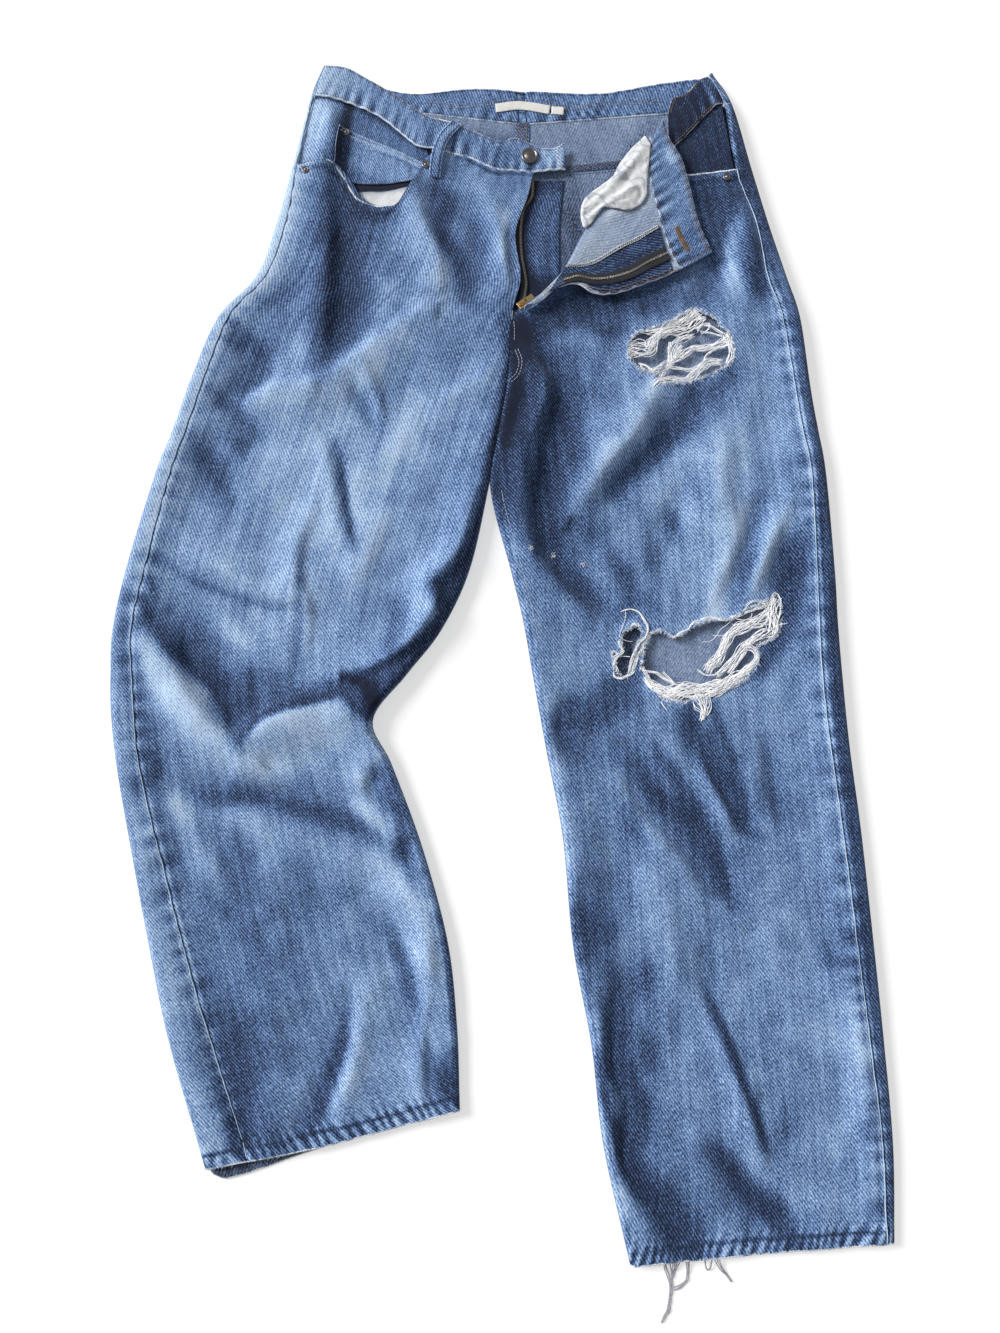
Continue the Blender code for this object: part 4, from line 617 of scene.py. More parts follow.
class Half:
    """s counts sections from the waistband's top edge, and u runs across a section from the side
    fold (0) to its inner edge (1)."""

    def __init__(self, sections, folds, fades, side, level):
        self.folds, self.fades, self.seams = folds, fades, []
        self.side = side  # -1 right, +1 left
        self.level = level  # from this section down, all rows are level with each other
        self.last = len(sections) - 1
        self.knots = np.arange(len(sections), dtype=float)
        rows = [[*row.outer, *row.front, *(row.back or row.front), *row[4:]] for row in sections]
        self.table = np.array(rows, float)
        self.table[:, :-1] /= 1000.0  # all but the share rolled are millimetres
        self.fine = np.linspace(-0.5, self.last, 600)
        middle = self.place(self.fine, 0.5 + 0.0 * self.fine)
        steps = np.linalg.norm(np.diff(middle, axis=0), axis=1)
        self.run = np.concatenate([[0.0], np.cumsum(steps)])
        self.hem_line = even(self.place(np.full(40, float(self.last)), np.linspace(0, 1, 40)), 0.004)

    def down(self, s):
        """How far down the cloth a row lies, in metres."""
        return np.interp(s, self.fine, self.run)

    def read(self, s):
        """Rows of outer x, y, front x, y, back x, y, seam_in, rim_out, rim_in, middle, rolled."""
        return spline(self.table, self.knots, np.clip(s, -0.5, self.last))

    def place(self, s, u):
        row = self.read(s)
        return row[..., 0:2] + (row[..., 2:4] - row[..., 0:2]) * np.asarray(u)[..., None]

    def locate(self, x, y):
        """The (s, u) whose section passes through each point (x, y)."""
        low = np.full(np.shape(x), -0.5)
        high = np.full(np.shape(x), float(self.last))
        for _ in range(24):
            s = 0.5 * (low + high)
            row = self.read(s)
            across = row[..., 2:4] - row[..., 0:2]
            cross = across[..., 0] * (y - row[..., 1]) - across[..., 1] * (x - row[..., 0])
            above = cross * -self.side > 0.0
            high = np.where(above, s, high)
            low = np.where(above, low, s)
        reach = (x - row[..., 0]) * across[..., 0] + (y - row[..., 1]) * across[..., 1]
        return s, reach / (across**2).sum(axis=-1)

    def face(self, x, y, sewn=True):
        """(height, tone) of the front's outer face over (x, y), with its seams if it is sewn."""
        x, y = np.asarray(x, float), np.asarray(y, float)
        s, u = self.locate(x, y)
        row = self.read(s)
        width = np.linalg.norm(row[..., 2:4] - row[..., 0:2], axis=-1)
        rim_out, rim_in, middle, rolled = (row[..., k] for k in (7, 8, 9, 10))
        rolled = np.clip(rolled, 0.0, 1.0)
        out, into = np.maximum(u * width, 0.0), np.maximum((1.0 - u) * width, 0.0)
        height = middle + self.rim(out, rim_out, middle) + rolled * self.rim(into, rim_in, middle)
        calm = smoothstep(out / 0.03) * (1.0 - rolled + rolled * smoothstep(into / 0.02))
        rise, tone = self.relief(x, y)
        edge = np.where(out < 0.004, 0.0, LOWEST_TOP)
        height = lift(y) + np.maximum(height + calm * rise, edge)
        for seam in self.seams if sewn else []:
            bump, shade = pucker(seam, x, y)
            height, tone = height + bump, tone + shade
        return height, tone

    def relief(self, x, y):
        """What the folds, the small creases and the fades add."""
        rise = 0.0013 * patchy(x, y, 0.036, 11) + 0.0007 * patchy(x, y, 0.015, 12)
        tone = 0.12 * patchy(x, y, 0.045, 13) + 0.13 * patchy(x, y, 0.013, 14)
        for fold in self.folds:
            path = np.array(fold.path)
            low, high = path.min(axis=0) - 3.0 * fold.width, path.max(axis=0) + 3.0 * fold.width
            near = (x > low[0]) & (x < high[0]) & (y > low[1]) & (y < high[1])
            if near.any():
                bump = self.bump(fold, x[near], y[near])
                rise[near] += FOLD_HEIGHT * fold.height * bump
                tone[near] += FOLD_TONE * fold.tone * bump
        for fade in self.fades:
            tone = tone + fade.tone * bell(x - fade.x, fade.across) * bell(y - fade.y, fade.along)
        return rise, tone

    @staticmethod
    def bump(fold, x, y):
        path = along(fold.path, np.linspace(0.0, 1.0, 6 * len(fold.path)))
        far, place, side = distance_to(path, x, y)
        width = fold.width * (1.0 - 0.75 * fold.lean * side)
        taper = 0.25 + 0.75 * np.sin(np.pi * np.clip(place, 0.02, 0.98)) ** 0.6
        return taper * bell(far, width)

    def bed(self, x, y):
        """The same surface without its seams, for what lies under it."""
        return self.face(x, y, sewn=False)[0]

    @staticmethod
    def rim(far, rim, middle):
        """Height to add at the distance far from a fold of the thickness rim."""
        radius = 0.5 * np.maximum(rim, 0.001)
        swell = (rim - middle) * (1.0 - smoothstep((far - radius) / SHOULDER))
        inside = np.clip(1.0 - far / radius, 0.0, 1.0)
        round_off = radius * (1.0 - np.sqrt(1.0 - inside**2))
        return swell - round_off


RIGHT = Half(RIGHT_SECTIONS, RIGHT_FOLDS, RIGHT_FADES, -1, 4.0)
LEFT = Half(LEFT_SECTIONS, LEFT_FOLDS, LEFT_FADES, 1, 4.0)
print("right half", round(RIGHT.down(17.0), 3), "m long, left half", round(LEFT.down(17.0), 3), "m")

# %% [markdown]
# ## Sewn edges
# The pocket mouths, the waistband's edges and the lines of the turned-back front are the lines that
# a sewing machine followed. Each is a few points with a smooth curve through them.

# %% Lines of the waist
RIGHT_MOUTH = mm(
    (-195, 474), (-172, 478), (-157, 475), (-145, 461), (-133, 440), (-116, 431), (-98, 431), (-84, 452),
    (-70, 478), (-58, 491),
)
RIGHT_SEAM = mm((-36, 487), (-18, 482), (-3, 473), (10, 468), (30, 468), (46, 466))
RIGHT_BAND_LOW = mm(
    (-178.5, 552.5), (-147, 548), (-126, 539), (-105, 526), (-90, 513), (-72, 497), (-54, 494),
    (-36, 488), (-18, 483.5), (-3, 475.5), (10, 470.5), (30, 469.5), (48, 468.5), (79, 471.5),
)
RIGHT_BAND_TOP = mm(
    (-166.8, 588.5), (-148, 587), (-130, 579), (-96, 557), (-75, 541), (-57, 530), (-33, 523), (-18, 516),
    (12, 503), (28, 507), (43, 501), (53, 496), (68, 496), (77, 501),
)
LEFT_MOUTH = mm((249, 467), (225, 466), (200, 464), (178, 470), (160, 484))
LEFT_BAND_LOW = mm((240.8, 544.2), (233, 542), (217, 526), (196, 503), (184, 492))
LEFT_BAND_TOP = mm((225.8, 575.2), (221, 574), (214, 568), (203, 557), (190, 552), (184, 533))
FLY_EDGE = mm((40.5, 462), (39.5, 444), (31, 428), (28, 404), (29, 378), (33, 352), (32, 336), (29.5, 320))


def outseam(half, start=1.0):
    """The line where the front and the back panel meet at the side."""
    s = np.linspace(start, half.last, 300)
    row = half.read(s)
    width = np.linalg.norm(row[:, 2:4] - row[:, 0:2], axis=1)
    return even(half.place(s, row[:, 6] / width), 0.006)


def inseam(half, start, into):
    """A line along the inner edge of a leg, into the front by that much."""
    s = np.linspace(start, half.last, 200)
    row = half.read(s)
    width = np.linalg.norm(row[:, 2:4] - row[:, 0:2], axis=1)
    return even(half.place(s, 1.0 - into / width), 0.006)


for half in (RIGHT, LEFT):
    half.seams.append(Seam(outseam(half), 0.021, 0.011, 0.0009, 0.42, 0.0007, 0.62))
    half.seams.append(Seam(inseam(half, 7.6, 0.0045), 0.020, 0.005, 0.0003, 0.16, 0.0003, 0.22))
# painted shadow: a thin dark line just below the edge of a sewn band and of a pocket's hem
for half, line, drop in (
    (RIGHT, RIGHT_SEAM, 0.0012), (RIGHT, RIGHT_MOUTH, 0.0092), (LEFT, LEFT_MOUTH, 0.0092),
):  # the thin dark line beside a sewn band
    half.folds.append(Fold("band edge", 0.0016, -0.0001, 0.0, -0.50, [(x, y - drop) for x, y in line]))
RIGHT.folds += folds(("placket", 3.2, 0.9, 0.4, 0.30, (20, 425), (16.5, 385), (21, 342)))
RIGHT.seams.append(Seam(smooth(RIGHT_MOUTH), 0.014, 0.008, 0.0003, 0.16, 0.0, 0.20))
RIGHT.seams.append(Seam(smooth(RIGHT_SEAM), 0.013, 0.010, 0.0006, 0.22, 0.0, 0.0))
LEFT.seams.append(Seam(smooth(LEFT_MOUTH), 0.014, 0.008, 0.0003, 0.16, 0.0, 0.20))
print("right outseam", round(length_of(RIGHT.seams[0].path), 3), "m")

# %% [markdown]
# ## Hems
# A hem is folded up twice and sewn 12 mm from its edge. The two rows of the seam pull against each
# other in the wash, and so the band twists into slanting ridges, called roping, with a frayed pale
# lip. A distance from the hem line gives all three.

# %% Roped hems
HEM_DEPTH = 0.0125
ROPE_PITCH = 0.0088


def hem(half, x, y):
    """(height, tone, wear) that the hem adds at the points (x, y)."""
    far, place, _ = distance_to(half.hem_line, x, y)
    run = place * length_of(half.hem_line)
    wander = 0.7 * patchy(run, 0.0 * run, 0.020, 81)
    wave = np.tanh(2.5 * np.sin(2.0 * math.pi * ((run + 0.45 * far) / ROPE_PITCH + wander)))
    folded = 1.0 - smoothstep((far - HEM_DEPTH) / 0.0018)
    groove = bell(far - HEM_DEPTH + 0.0012, 0.0011)
    band = folded * smoothstep(far / 0.002)
    above = bell(far - HEM_DEPTH - 0.0035, 0.0035) * (far > HEM_DEPTH)
    height = 0.0011 * folded + 0.0005 * wave * band - 0.0007 * groove + 0.0003 * wave * above
    tone = 0.62 * wave * band - 1.30 * groove + 0.26 * wave * above - 0.20 * band
    lip = bell(far, 0.0014) * (0.75 + 0.4 * patchy(run, far, 0.003, 82))
    near = far < 0.03
    return np.where(near, height, 0.0), np.where(near, tone, 0.0), np.where(near, lip, 0.0)


def hem_drop(half, x, y, under):
    """How far the cloth sags past the right leg's straight hem: the back's hem hangs out of it."""
    if half is LEFT:
        return 0.0 * x
    far, _, _ = distance_to(half.hem_line, x, y)
    sag = 0.005 * bell(x + 0.14, 0.09)
    return (sag + 0.012 * under * bell(x + 0.225, 0.060)) * bell(far, 0.035)


# %% [markdown]
# ## Grids of points
# A panel is woven flat, so a grid is its natural mesh: columns run down the leg like the warp, and
# rows run across it. The points lie closer together at the edges, where the cloth turns round a
# fold or ends in a seam, and wider apart in the calm middle.


# %% Panel grids
HAIR = 0.00004  # what is left open between two panels that are sewn edge to edge
INSEAM_TURN = 0.35  # angle up the inner fold at which the back panel ends
EDGE_STEPS = (0.0, 0.0007, 0.0015, 0.0025, 0.0037, 0.0052, 0.0070, 0.0092, 0.0118, 0.0145)


def spread(total, step, start=EDGE_STEPS, end=EDGE_STEPS):
    """Fractions from 0 to 1 of a length, dense at both ends and about step apart between."""
    first, last = np.array(start) / total, 1.0 - np.array(end)[::-1] / total
    count = max(2, round((last[0] - first[-1]) * total / step))
    return np.concatenate([first[:-1], np.linspace(first[-1], last[0], count), last[1:]])


def leg_rows(half, step):
    """Rows from the level line down to the hem, evenly spaced on the cloth."""
    total = half.down(half.last) - half.down(half.level)
    share = spread(total, step, start=(0.0, step))
    return np.interp(half.down(half.level) + total * share, half.run, half.fine)


def ladder(half, start, seat, step):
    """Values of s for all rows: from start to the level line, and then rows shared by all."""
    first = start + (half.level - start) * seat[:-1, None]
    legs = leg_rows(half, step)[:, None] + 0.0 * start
    return np.concatenate([first, legs])


def front_grid(half, top_edge, step):
    """(points, tone, uv) of a front panel, outseam to inner edge, from top_edge to the hem."""
    edge = along(top_edge, np.linspace(0.0, 1.0, 400))
    edge_s, edge_u = half.locate(edge[:, 0], edge[:, 1])
    order = np.argsort(edge_u)
    share = spread(0.285, step)
    turns = np.linspace(1.40, INSEAM_TURN, 8)
    u = np.concatenate([0.97 * share, np.linspace(0.975, 1.0, len(turns))])
    start = np.interp(u, edge_u[order], edge_s[order])
    s = ladder(half, start, spread(0.12, step, end=(0.0, step)), step)
    row = half.read(s)
    width = np.linalg.norm(row[..., 2:4] - row[..., 0:2], axis=-1)
    rolled = np.clip(row[..., 10], 0.0, 1.0)
    turn = 0.5 * row[..., 8] * rolled
    first = row[..., 6] + 0.5 * HAIR
    spare = 0.0003 * (len(turns) + 1)
    flat = first + (width - turn - spare - first) * np.append(share, np.ones(len(turns)))
    far = flat
    for k, angle in enumerate(turns):
        back_off = turn * (1.0 - math.cos(angle)) + 0.0003 * (len(turns) - 1 - k) + 0.5 * HAIR
        far[:, len(share) + k] = (width - back_off)[:, len(share) + k]
    spot = half.place(s, far / width)
    height, tone = half.face(spot[..., 0], spot[..., 1])
    uv = np.dstack([-half.side * far, -half.down(s)])
    return np.dstack([spot, height]), tone, uv


print("columns across a front:", len(spread(0.285, 0.003)))

# %% [markdown]
# ## Denim
# Denim is a twill: the blue warp runs down the leg and passes over the white weft in slanting steps,
# which is why its lines run on the diagonal. Old yarn is uneven, so the blue breaks up into long
# flecks. The material has three patterns on a UV map in metres, one wave for the twill, one
# stretched noise for the flecks and one soft noise for the blotches. Their sum, with the tone that
# the mesh carries as an attribute, picks a place on a ramp from raw indigo to bleached white.


# %% A helper for materials
class Look:
    """A material, with short words to add and join its nodes."""

    def __init__(self, name, roughness=0.9, **settings):
        self.made = bpy.data.materials.new(name)
        self.made.use_nodes = True
        self.nodes = self.made.node_tree.nodes
        self.shader = self.nodes["Principled BSDF"]
        self.set(Roughness=roughness, **settings)

    def set(self, **settings):
        """Values or outputs for the shader's sockets. Specular_IOR_Level means Specular IOR Level."""
        for words, value in settings.items():
            self.join(self.shader.inputs[words.replace("_", " ")], value)

    def join(self, socket, value):
        if isinstance(value, bpy.types.NodeSocket):
            self.made.node_tree.links.new(value, socket)
        else:
            socket.default_value = value

    def add(self, kind, inputs, **settings):
        """A node, its inputs by name or number, and its first output."""
        node = self.nodes.new("ShaderNode" + kind)
        for name, value in settings.items():
            setattr(node, name, value)
        for name, value in inputs.items():
            self.join(node.inputs[name], value)
        return node.outputs[0]

    def sum(self, a, b, share=1.0):
        """a + share * b."""
        return self.add("Math", {0: b, 1: share, 2: a}, operation="MULTIPLY_ADD")

    def times(self, a, b):
        return self.add("Math", {0: a, 1: b}, operation="MULTIPLY")

    def attribute(self, name):
        node = self.nodes.new("ShaderNodeAttribute")
        node.attribute_name = name
        return node.outputs["Fac"]

    def stretched(self, place, scale, detail=2.0, rough=0.55):
        """Noise on the coordinates place, stretched by three scales."""
        fitted = self.add("Mapping", {"Vector": place, "Scale": scale}, vector_type="POINT")
        settings = {"Vector": fitted, "Scale": 1.0, "Detail": detail, "Roughness": rough}
        return self.add("TexNoise", settings)

    def ramp(self, value, stops):
        node = self.nodes.new("ShaderNodeValToRGB")
        self.join(node.inputs[0], value)
        elements = node.color_ramp.elements
        while len(elements) < len(stops):
            elements.new(0.5)
        for element, (at, colour) in zip(elements, stops):
            element.position, element.color = at, (*colour, 1.0)
        return node.outputs[0]

    def blend(self, share, a, b):
        """Colour a turning into colour b as share goes from 0 to 1."""
        node = self.nodes.new("ShaderNodeMix")
        node.data_type = "RGBA"
        sockets = [s for s in node.inputs if s.enabled]
        for socket, value in zip(sockets, (share, a, b)):
            self.join(socket, value)
        return next(s for s in node.outputs if s.enabled)

    def bumps(self, height, distance, strength=1.0):
        settings = {"Height": height, "Distance": distance, "Strength": strength}
        self.set(Normal=self.add("Bump", settings))


# %% [markdown]
# Every denim below is the same group of nodes with other numbers. The blue face has strong twill
# lines and flecks, the inside shows more of the white weft, and a raw edge is paler still.

# %% The denim itself
TWILL_PITCH = 0.0024  # from one diagonal line to the next
WAVE_SCALE = 2.0 * math.pi / (10.0 * math.sqrt(2.0) * TWILL_PITCH)  # Blender's wave counts in tens
INDIGO = [
    (0.00, (0.006, 0.011, 0.032)),
    (0.20, (0.026, 0.050, 0.125)),
    (0.40, (0.086, 0.160, 0.338)),
    (0.60, (0.184, 0.304, 0.545)),
    (0.80, (0.360, 0.510, 0.745)),
    (1.00, (0.570, 0.715, 0.900)),
]
INSIDE = [
    (0.00, (0.010, 0.014, 0.026)),
    (0.30, (0.120, 0.170, 0.290)),
    (0.55, (0.245, 0.320, 0.470)),
    (0.80, (0.430, 0.510, 0.640)),
    (1.00, (0.740, 0.790, 0.850)),
]
BLEACHED = (0.78, 0.83, 0.88, 1.0)
HEATHER, WEFT, STREAK = 0.95, 0.35, 0.50  # shares of the patterns that are the same in every denim


def denim(name, stops, middle=0.5, dye=0.5, twill=0.34, fleck=0.90, blotch=0.30):
    """Denim whose tone swings about middle by its yarns and by the mesh's tone of wear and painted shade."""
    look = Look(name, 0.88, Sheen_Weight=0.12, Specular_IOR_Level=0.25)
    place = look.add("UVMap", {}, uv_map="cloth")
    steep = look.add("Mapping", {"Vector": place, "Scale": (1.16, 0.80, 1.0)}, vector_type="POINT")
    lines = look.add(
        "TexWave",
        {"Vector": steep, "Scale": WAVE_SCALE, "Distortion": 0.5, "Detail": 1.0, "Detail Scale": 2.0},
        bands_direction="DIAGONAL",
    )
    flecks = look.stretched(place, (900.0, 260.0, 1.0), 2.0, 0.7)
    weft = look.stretched(place, (260.0, 640.0, 1.0), 2.0, 0.7)
    heather = look.stretched(place, (620.0, 430.0, 1.0), 2.0, 0.7)
    blotches = look.stretched(place, (38.0, 26.0, 1.0), 3.0)
    streaks = look.stretched(place, (190.0, 13.0, 1.0), 3.0, 0.6)
    start = middle - 0.5 * (twill + fleck + blotch + HEATHER + WEFT + STREAK)
    tone = look.sum(start, look.attribute("dye"), dye)
    patterns = (lines, flecks, blotches, heather, weft, streaks)
    for pattern, share in zip(patterns, (twill, fleck, blotch, HEATHER, WEFT, STREAK)):
        tone = look.sum(tone, pattern, share)
    colour = look.ramp(tone, stops)
    worn = look.sum(look.sum(-1.02, flecks, 1.1), look.attribute("wear"), 1.15)
    share = look.add("MapRange", {"Value": worn, "From Min": -0.10, "From Max": 0.35})
    look.set(Base_Color=look.blend(share, colour, BLEACHED))
    height = look.sum(look.sum(look.times(lines, 0.6), flecks, 0.8), heather, 0.5)
    look.bumps(height, 0.00035, 0.8)
    return look.made


denim_face = denim("denim_face", INDIGO)
denim_back = denim("denim_inside_face", INSIDE, dye=0.40, twill=0.16, fleck=0.6)
denim_rim = denim("denim_cut_edge", INSIDE, middle=0.72, dye=0.2, twill=0.0, fleck=0.8)
DENIM_LOOKS = (denim_face, denim_back, denim_rim)
print("denim twill wave scale", round(WAVE_SCALE, 1))

# %% [markdown]
# ## Turning a grid into cloth
# create_grid makes the flat mesh, and each of its points is then moved to its place in the grid of
# points. The UV map, the tone and the wear go on the mesh before the Solidify modifier gives it a
# wall, so the inside and the raw edge, which get materials of their own, carry the same values.


# %% A piece of cloth
made_pieces = {}


def placed(name, data):
    """A new object in the scene with this data."""
    obj = bpy.data.objects.new(name, data)
    bpy.context.scene.collection.objects.link(obj)
    return obj


def cloth(name, points, tone, uv, wall, looks=DENIM_LOOKS, facing=1.0, wear=None):
    """A wall through a grid of outer points (rows, columns, 3), which face up (1) or down (-1)."""
    rows, columns = points.shape[:2]
    mesh = bmesh.new()
    bmesh.ops.create_grid(mesh, x_segments=columns - 1, y_segments=rows - 1, size=1.0)
    data = bpy.data.meshes.new(name)
    mesh.to_mesh(data)
    mesh.free()
    flat = np.empty(3 * len(data.vertices), np.float32)
    data.vertices.foreach_get("co", flat)
    place = (flat.reshape(-1, 3)[:, :2] + 1.0) / 2.0 * (columns - 1, rows - 1)
    column, row = np.rint(place).astype(int).T
    data.vertices.foreach_set("co", points[row, column].astype(np.float32).ravel())
    # the tone attribute holds worn indigo and the painted shade and highlights of folds and gaps
    for title, values in (("dye", tone), ("wear", np.zeros(tone.shape) if wear is None else wear)):
        layer = data.attributes.new(title, "FLOAT", "POINT")
        layer.data.foreach_set("value", values[row, column].astype(np.float32))
    corner = np.empty(len(data.loops), np.int32)
    data.loops.foreach_get("vertex_index", corner)
    layer = data.uv_layers.new(name="cloth")
    layer.data.foreach_set("uv", uv[row, column][corner].astype(np.float32).ravel())
    data.update()
    if facing * sum(face.normal.z * face.area for face in data.polygons) < 0.0:
        data.flip_normals()
    data.shade_smooth()
    for look in looks:
        data.materials.append(look)
    obj = placed(name, data)
    solidify = obj.modifiers.new("wall", "SOLIDIFY")
    solidify.thickness = wall
    solidify.offset = -1.0
    solidify.material_offset = min(1, len(looks) - 1)
    solidify.material_offset_rim = len(looks) - 1
    made_pieces[name] = sum(face.area for face in data.polygons)
    return obj


def stands_for(obj, slot, *nodes):
    """obj rides with the garment and stands for CAD nodes, which it hides. slot is not used."""
    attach(obj, "garment")
    if nodes:
        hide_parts(*nodes)
    return obj

# %% [markdown]
# ## The front panels
# Each front is one sheet from the pocket mouth down to the hem. Its top edge runs on under the
# waistband, as the seam allowance of the real one does, so that no gap shows between them.

# %% Front panels
under_band = [(x, y + TUCKED) for x, y in RIGHT_SEAM]
CLOTH_STEP = 0.0032


def softened(tone):
    """Very deep shades and very bright lights keep some of the cloth's own pattern."""
    deep, bright = np.maximum(-0.35 - tone, 0.0), np.maximum(tone - 0.55, 0.0)
    eased = np.clip(tone, -0.35, 0.55)
    return eased - 0.52 * (1.0 - np.exp(-deep / 0.60)) + 0.35 * (1.0 - np.exp(-bright / 0.40))


# painted shadow at the few places where a fold or the other leg covers the cloth so closely
# that it lies in near-black shade
RIGHT_GAP_SHADOWS = shades(
    ("fork gap", 4, 0, -0.35, (24, 286), (26, 244), (22, 211), (16, 182), (11, 157)),
    ("tuck gap", 6, 0, -0.75, (-113, -59), (-103, -69), (-103, -82)),
    ("tuck gap line", 4, 0, -0.9, (-131, -48), (-120, -54), (-106, -56)),
)
LEFT_GAP_SHADOWS = shades(
    ("crotch gap", 14, 0, -1.2, (22, 312), (29, 301), (32, 288), (33, 273)),
    ("inner gap", 7, 0, -0.8, (25, 276), (28, 240), (24, 210), (18, 177)),
)


def painted_gap_shadow(half, x, y):
    """The painted shadow that these gaps add, after the softening."""
    gaps = RIGHT_GAP_SHADOWS if half is RIGHT else LEFT_GAP_SHADOWS
    return sum(fold.tone * Half.bump(fold, x, y) for fold in gaps)


def front_panel(name, half, top_edge, mouth, node):
    points, tone, uv = front_grid(half, top_edge, CLOTH_STEP)
    x, y = points[..., 0], points[..., 1]
    height, shade, wear = hem(half, x, y)
    points[..., 2] += height
    points[..., 1] -= hem_drop(half, x, y, 0.0)
    far, _, _ = distance_to(smooth(mouth), x, y)
    lip = bell(far, 0.0011) * (0.8 + 0.4 * patchy(x, y, 0.004, 83))
    points[..., 2] += 0.0009 * (1.0 - smoothstep((far - 0.0085) / 0.0015))
    # painted shade and highlights of the folds, softened, and then the painted shadow of the gaps
    dye = softened(tone + shade) + painted_gap_shadow(half, x, y)
    obj = cloth(name, points, dye, uv, DENIM, wear=np.maximum(wear, 0.9 * lip))
    return stands_for(obj, "denim_outside", node)


front_right = front_panel("front_right_denim", RIGHT, RIGHT_MOUTH + under_band, RIGHT_MOUTH, "front_right")
front_left = front_panel("front_left_denim", LEFT, LEFT_MOUTH, LEFT_MOUTH, "front_left")
for obj in (front_right, front_left):
    print(obj.name, len(obj.data.polygons), "faces")

# %% [markdown]
# ## The back panels
# A back panel starts at the outseam on top, turns round the side fold, lies on the ground and turns
# up at the inner fold, where it meets the front again. Its columns are named by what they do, and a
# column's value says how far it is on its way.

# %% Columns of a back panel
OVER = spread(0.036, 0.004, end=(0.0, 0.004))
TURNS = np.linspace(1.30, -1.35, 9)
UNDER = spread(0.27, 0.0065, start=(0.003,), end=(0.003,))
BACK_COLUMNS = (
    [("over", value) for value in OVER[:-1]]
    + [("side", angle) for angle in TURNS]
    + [("under", share) for share in UNDER]
    + [("inner", angle) for angle in np.linspace(-1.4, INSEAM_TURN, 8)]
)


def side_light_and_shade(half):
    """Painted light and shade: the right side fold, facing the light, paler; the left one darker."""
    return -0.32 if half is RIGHT else 0.22


BELOW = {"over": 0.0, "side": 0.0, "under": 1.0, "inner": 0.0}
UNDERNEATH = np.convolve([BELOW[kind] for kind, _ in BACK_COLUMNS], np.ones(5) / 5.0, "same")


def back_column(half, s, kind, value):
    """(points, tone, how far across the cloth) of one column of a back panel."""
    row = half.read(s)
    outer, front, back = row[:, 0:2], row[:, 2:4], row[:, 4:6]
    seam_in, rim_out, rim_in = row[:, 6], row[:, 7], row[:, 8]
    rolled = np.clip(row[:, 10], 0.0, 1.0)
    to_front, to_back = front - outer, back - outer
    width = np.linalg.norm(to_back, axis=1)
    to_front = to_front / np.linalg.norm(to_front, axis=1)[:, None]
    to_back = to_back / width[:, None]
    quarter = 0.25 * math.pi * rim_out
    if kind == "over":  # on top, between the outseam and the side fold
        last = np.minimum(0.5 * rim_out, 0.6 * seam_in)
        far = (seam_in - 0.5 * HAIR) * (1.0 - value) + last * value
        spot = outer + to_front * far[:, None]
        height, tone = half.face(spot[:, 0], spot[:, 1])
        # painted light on the right side and painted shade on the left, growing towards the fold
        tone = tone - side_light_and_shade(half) * smoothstep(value * 2.0)
        return np.column_stack([spot, height]), tone, -quarter - (far - 0.5 * rim_out)
    if kind == "side":  # round the side fold, value is the angle from its outermost line
        start = np.minimum(0.5 * rim_out, 0.6 * seam_in)
        top_angle = np.arccos(np.clip(1.0 - start / (0.5 * rim_out), -1.0, 1.0))
        angle = np.minimum(value, top_angle * value / 1.40)
        out = 0.5 * rim_out * (1.0 - np.cos(angle))
        share = smoothstep(0.5 + angle / 2.2)[:, None]
        toward = to_back * (1.0 - share) + to_front * share
        spot = outer + toward * out[:, None]
        height = lift(spot[:, 1]) + 0.5 * rim_out * (1.0 + np.sin(angle))
        # painted light on the right side fold, painted shade on the left one
        tone = half.face(spot[:, 0], spot[:, 1])[1] - side_light_and_shade(half)
        return np.column_stack([spot, height]), tone, -0.5 * rim_out * angle
    start, end = 0.5 * rim_out, width - 0.5 * rim_in
    if kind == "under":  # flat on the ground, value is the share of the way across
        spot = outer + to_back * (start + (end - start) * value)[:, None]
        x, y = spot[:, 0], spot[:, 1]
        tone = 0.12 * patchy(x, y, 0.060, 31) + 0.07 * patchy(x, y, 0.015, 32) - 0.10
        height = lift(y) + 0.0004 * np.maximum(patchy(x, y, 0.022, 33), 0.0) * np.minimum(1.0, value * 9.0)
        return np.column_stack([spot, height]), tone, quarter + (end - start) * value
    flat_share = (value + math.pi / 2) / (INSEAM_TURN + math.pi / 2)
    flat = 0.004 * (1.0 - flat_share) + 0.5 * HAIR  # kind "inner": round the leg's inner fold
    far = rolled * (0.5 * rim_in * (1.0 - math.cos(value))) + (1.0 - rolled) * flat
    spot = outer + to_back * (width - far)[:, None]
    rise = rolled * 0.5 * rim_in * (1.0 + math.sin(value))
    tone = -0.15 + 0.10 * patchy(spot[:, 0], spot[:, 1], 0.030, 34)
    turned = 0.5 * rim_in * (value + math.pi / 2)
    return np.column_stack([spot, lift(spot[:, 1]) + rise]), tone, quarter + end - start + turned


def back_grid(half, s):
    """(points, tone, uv) of the back for rows of s, one value for each column."""
    points = np.zeros((*s.shape, 3))
    tone, across = np.zeros(s.shape), np.zeros(s.shape)
    for k, (kind, value) in enumerate(BACK_COLUMNS):
        points[:, k], tone[:, k], across[:, k] = back_column(half, s[:, k], kind, value)
    return points, tone, np.dstack([half.side * across, -half.down(s)])


def slope(side, centre):
    """A value for every column, from the one at the side to the one at the centre."""
    return side + (centre - side) * np.linspace(0.0, 1.0, len(BACK_COLUMNS))


def back_strip(half, start, end, length, step):
    """The back between two lines of s, each given at the side and at the centre."""
    v = spread(length, step)[:, None]
    top, foot = slope(*start), slope(*end)
    return back_grid(half, top + (foot - top) * v)


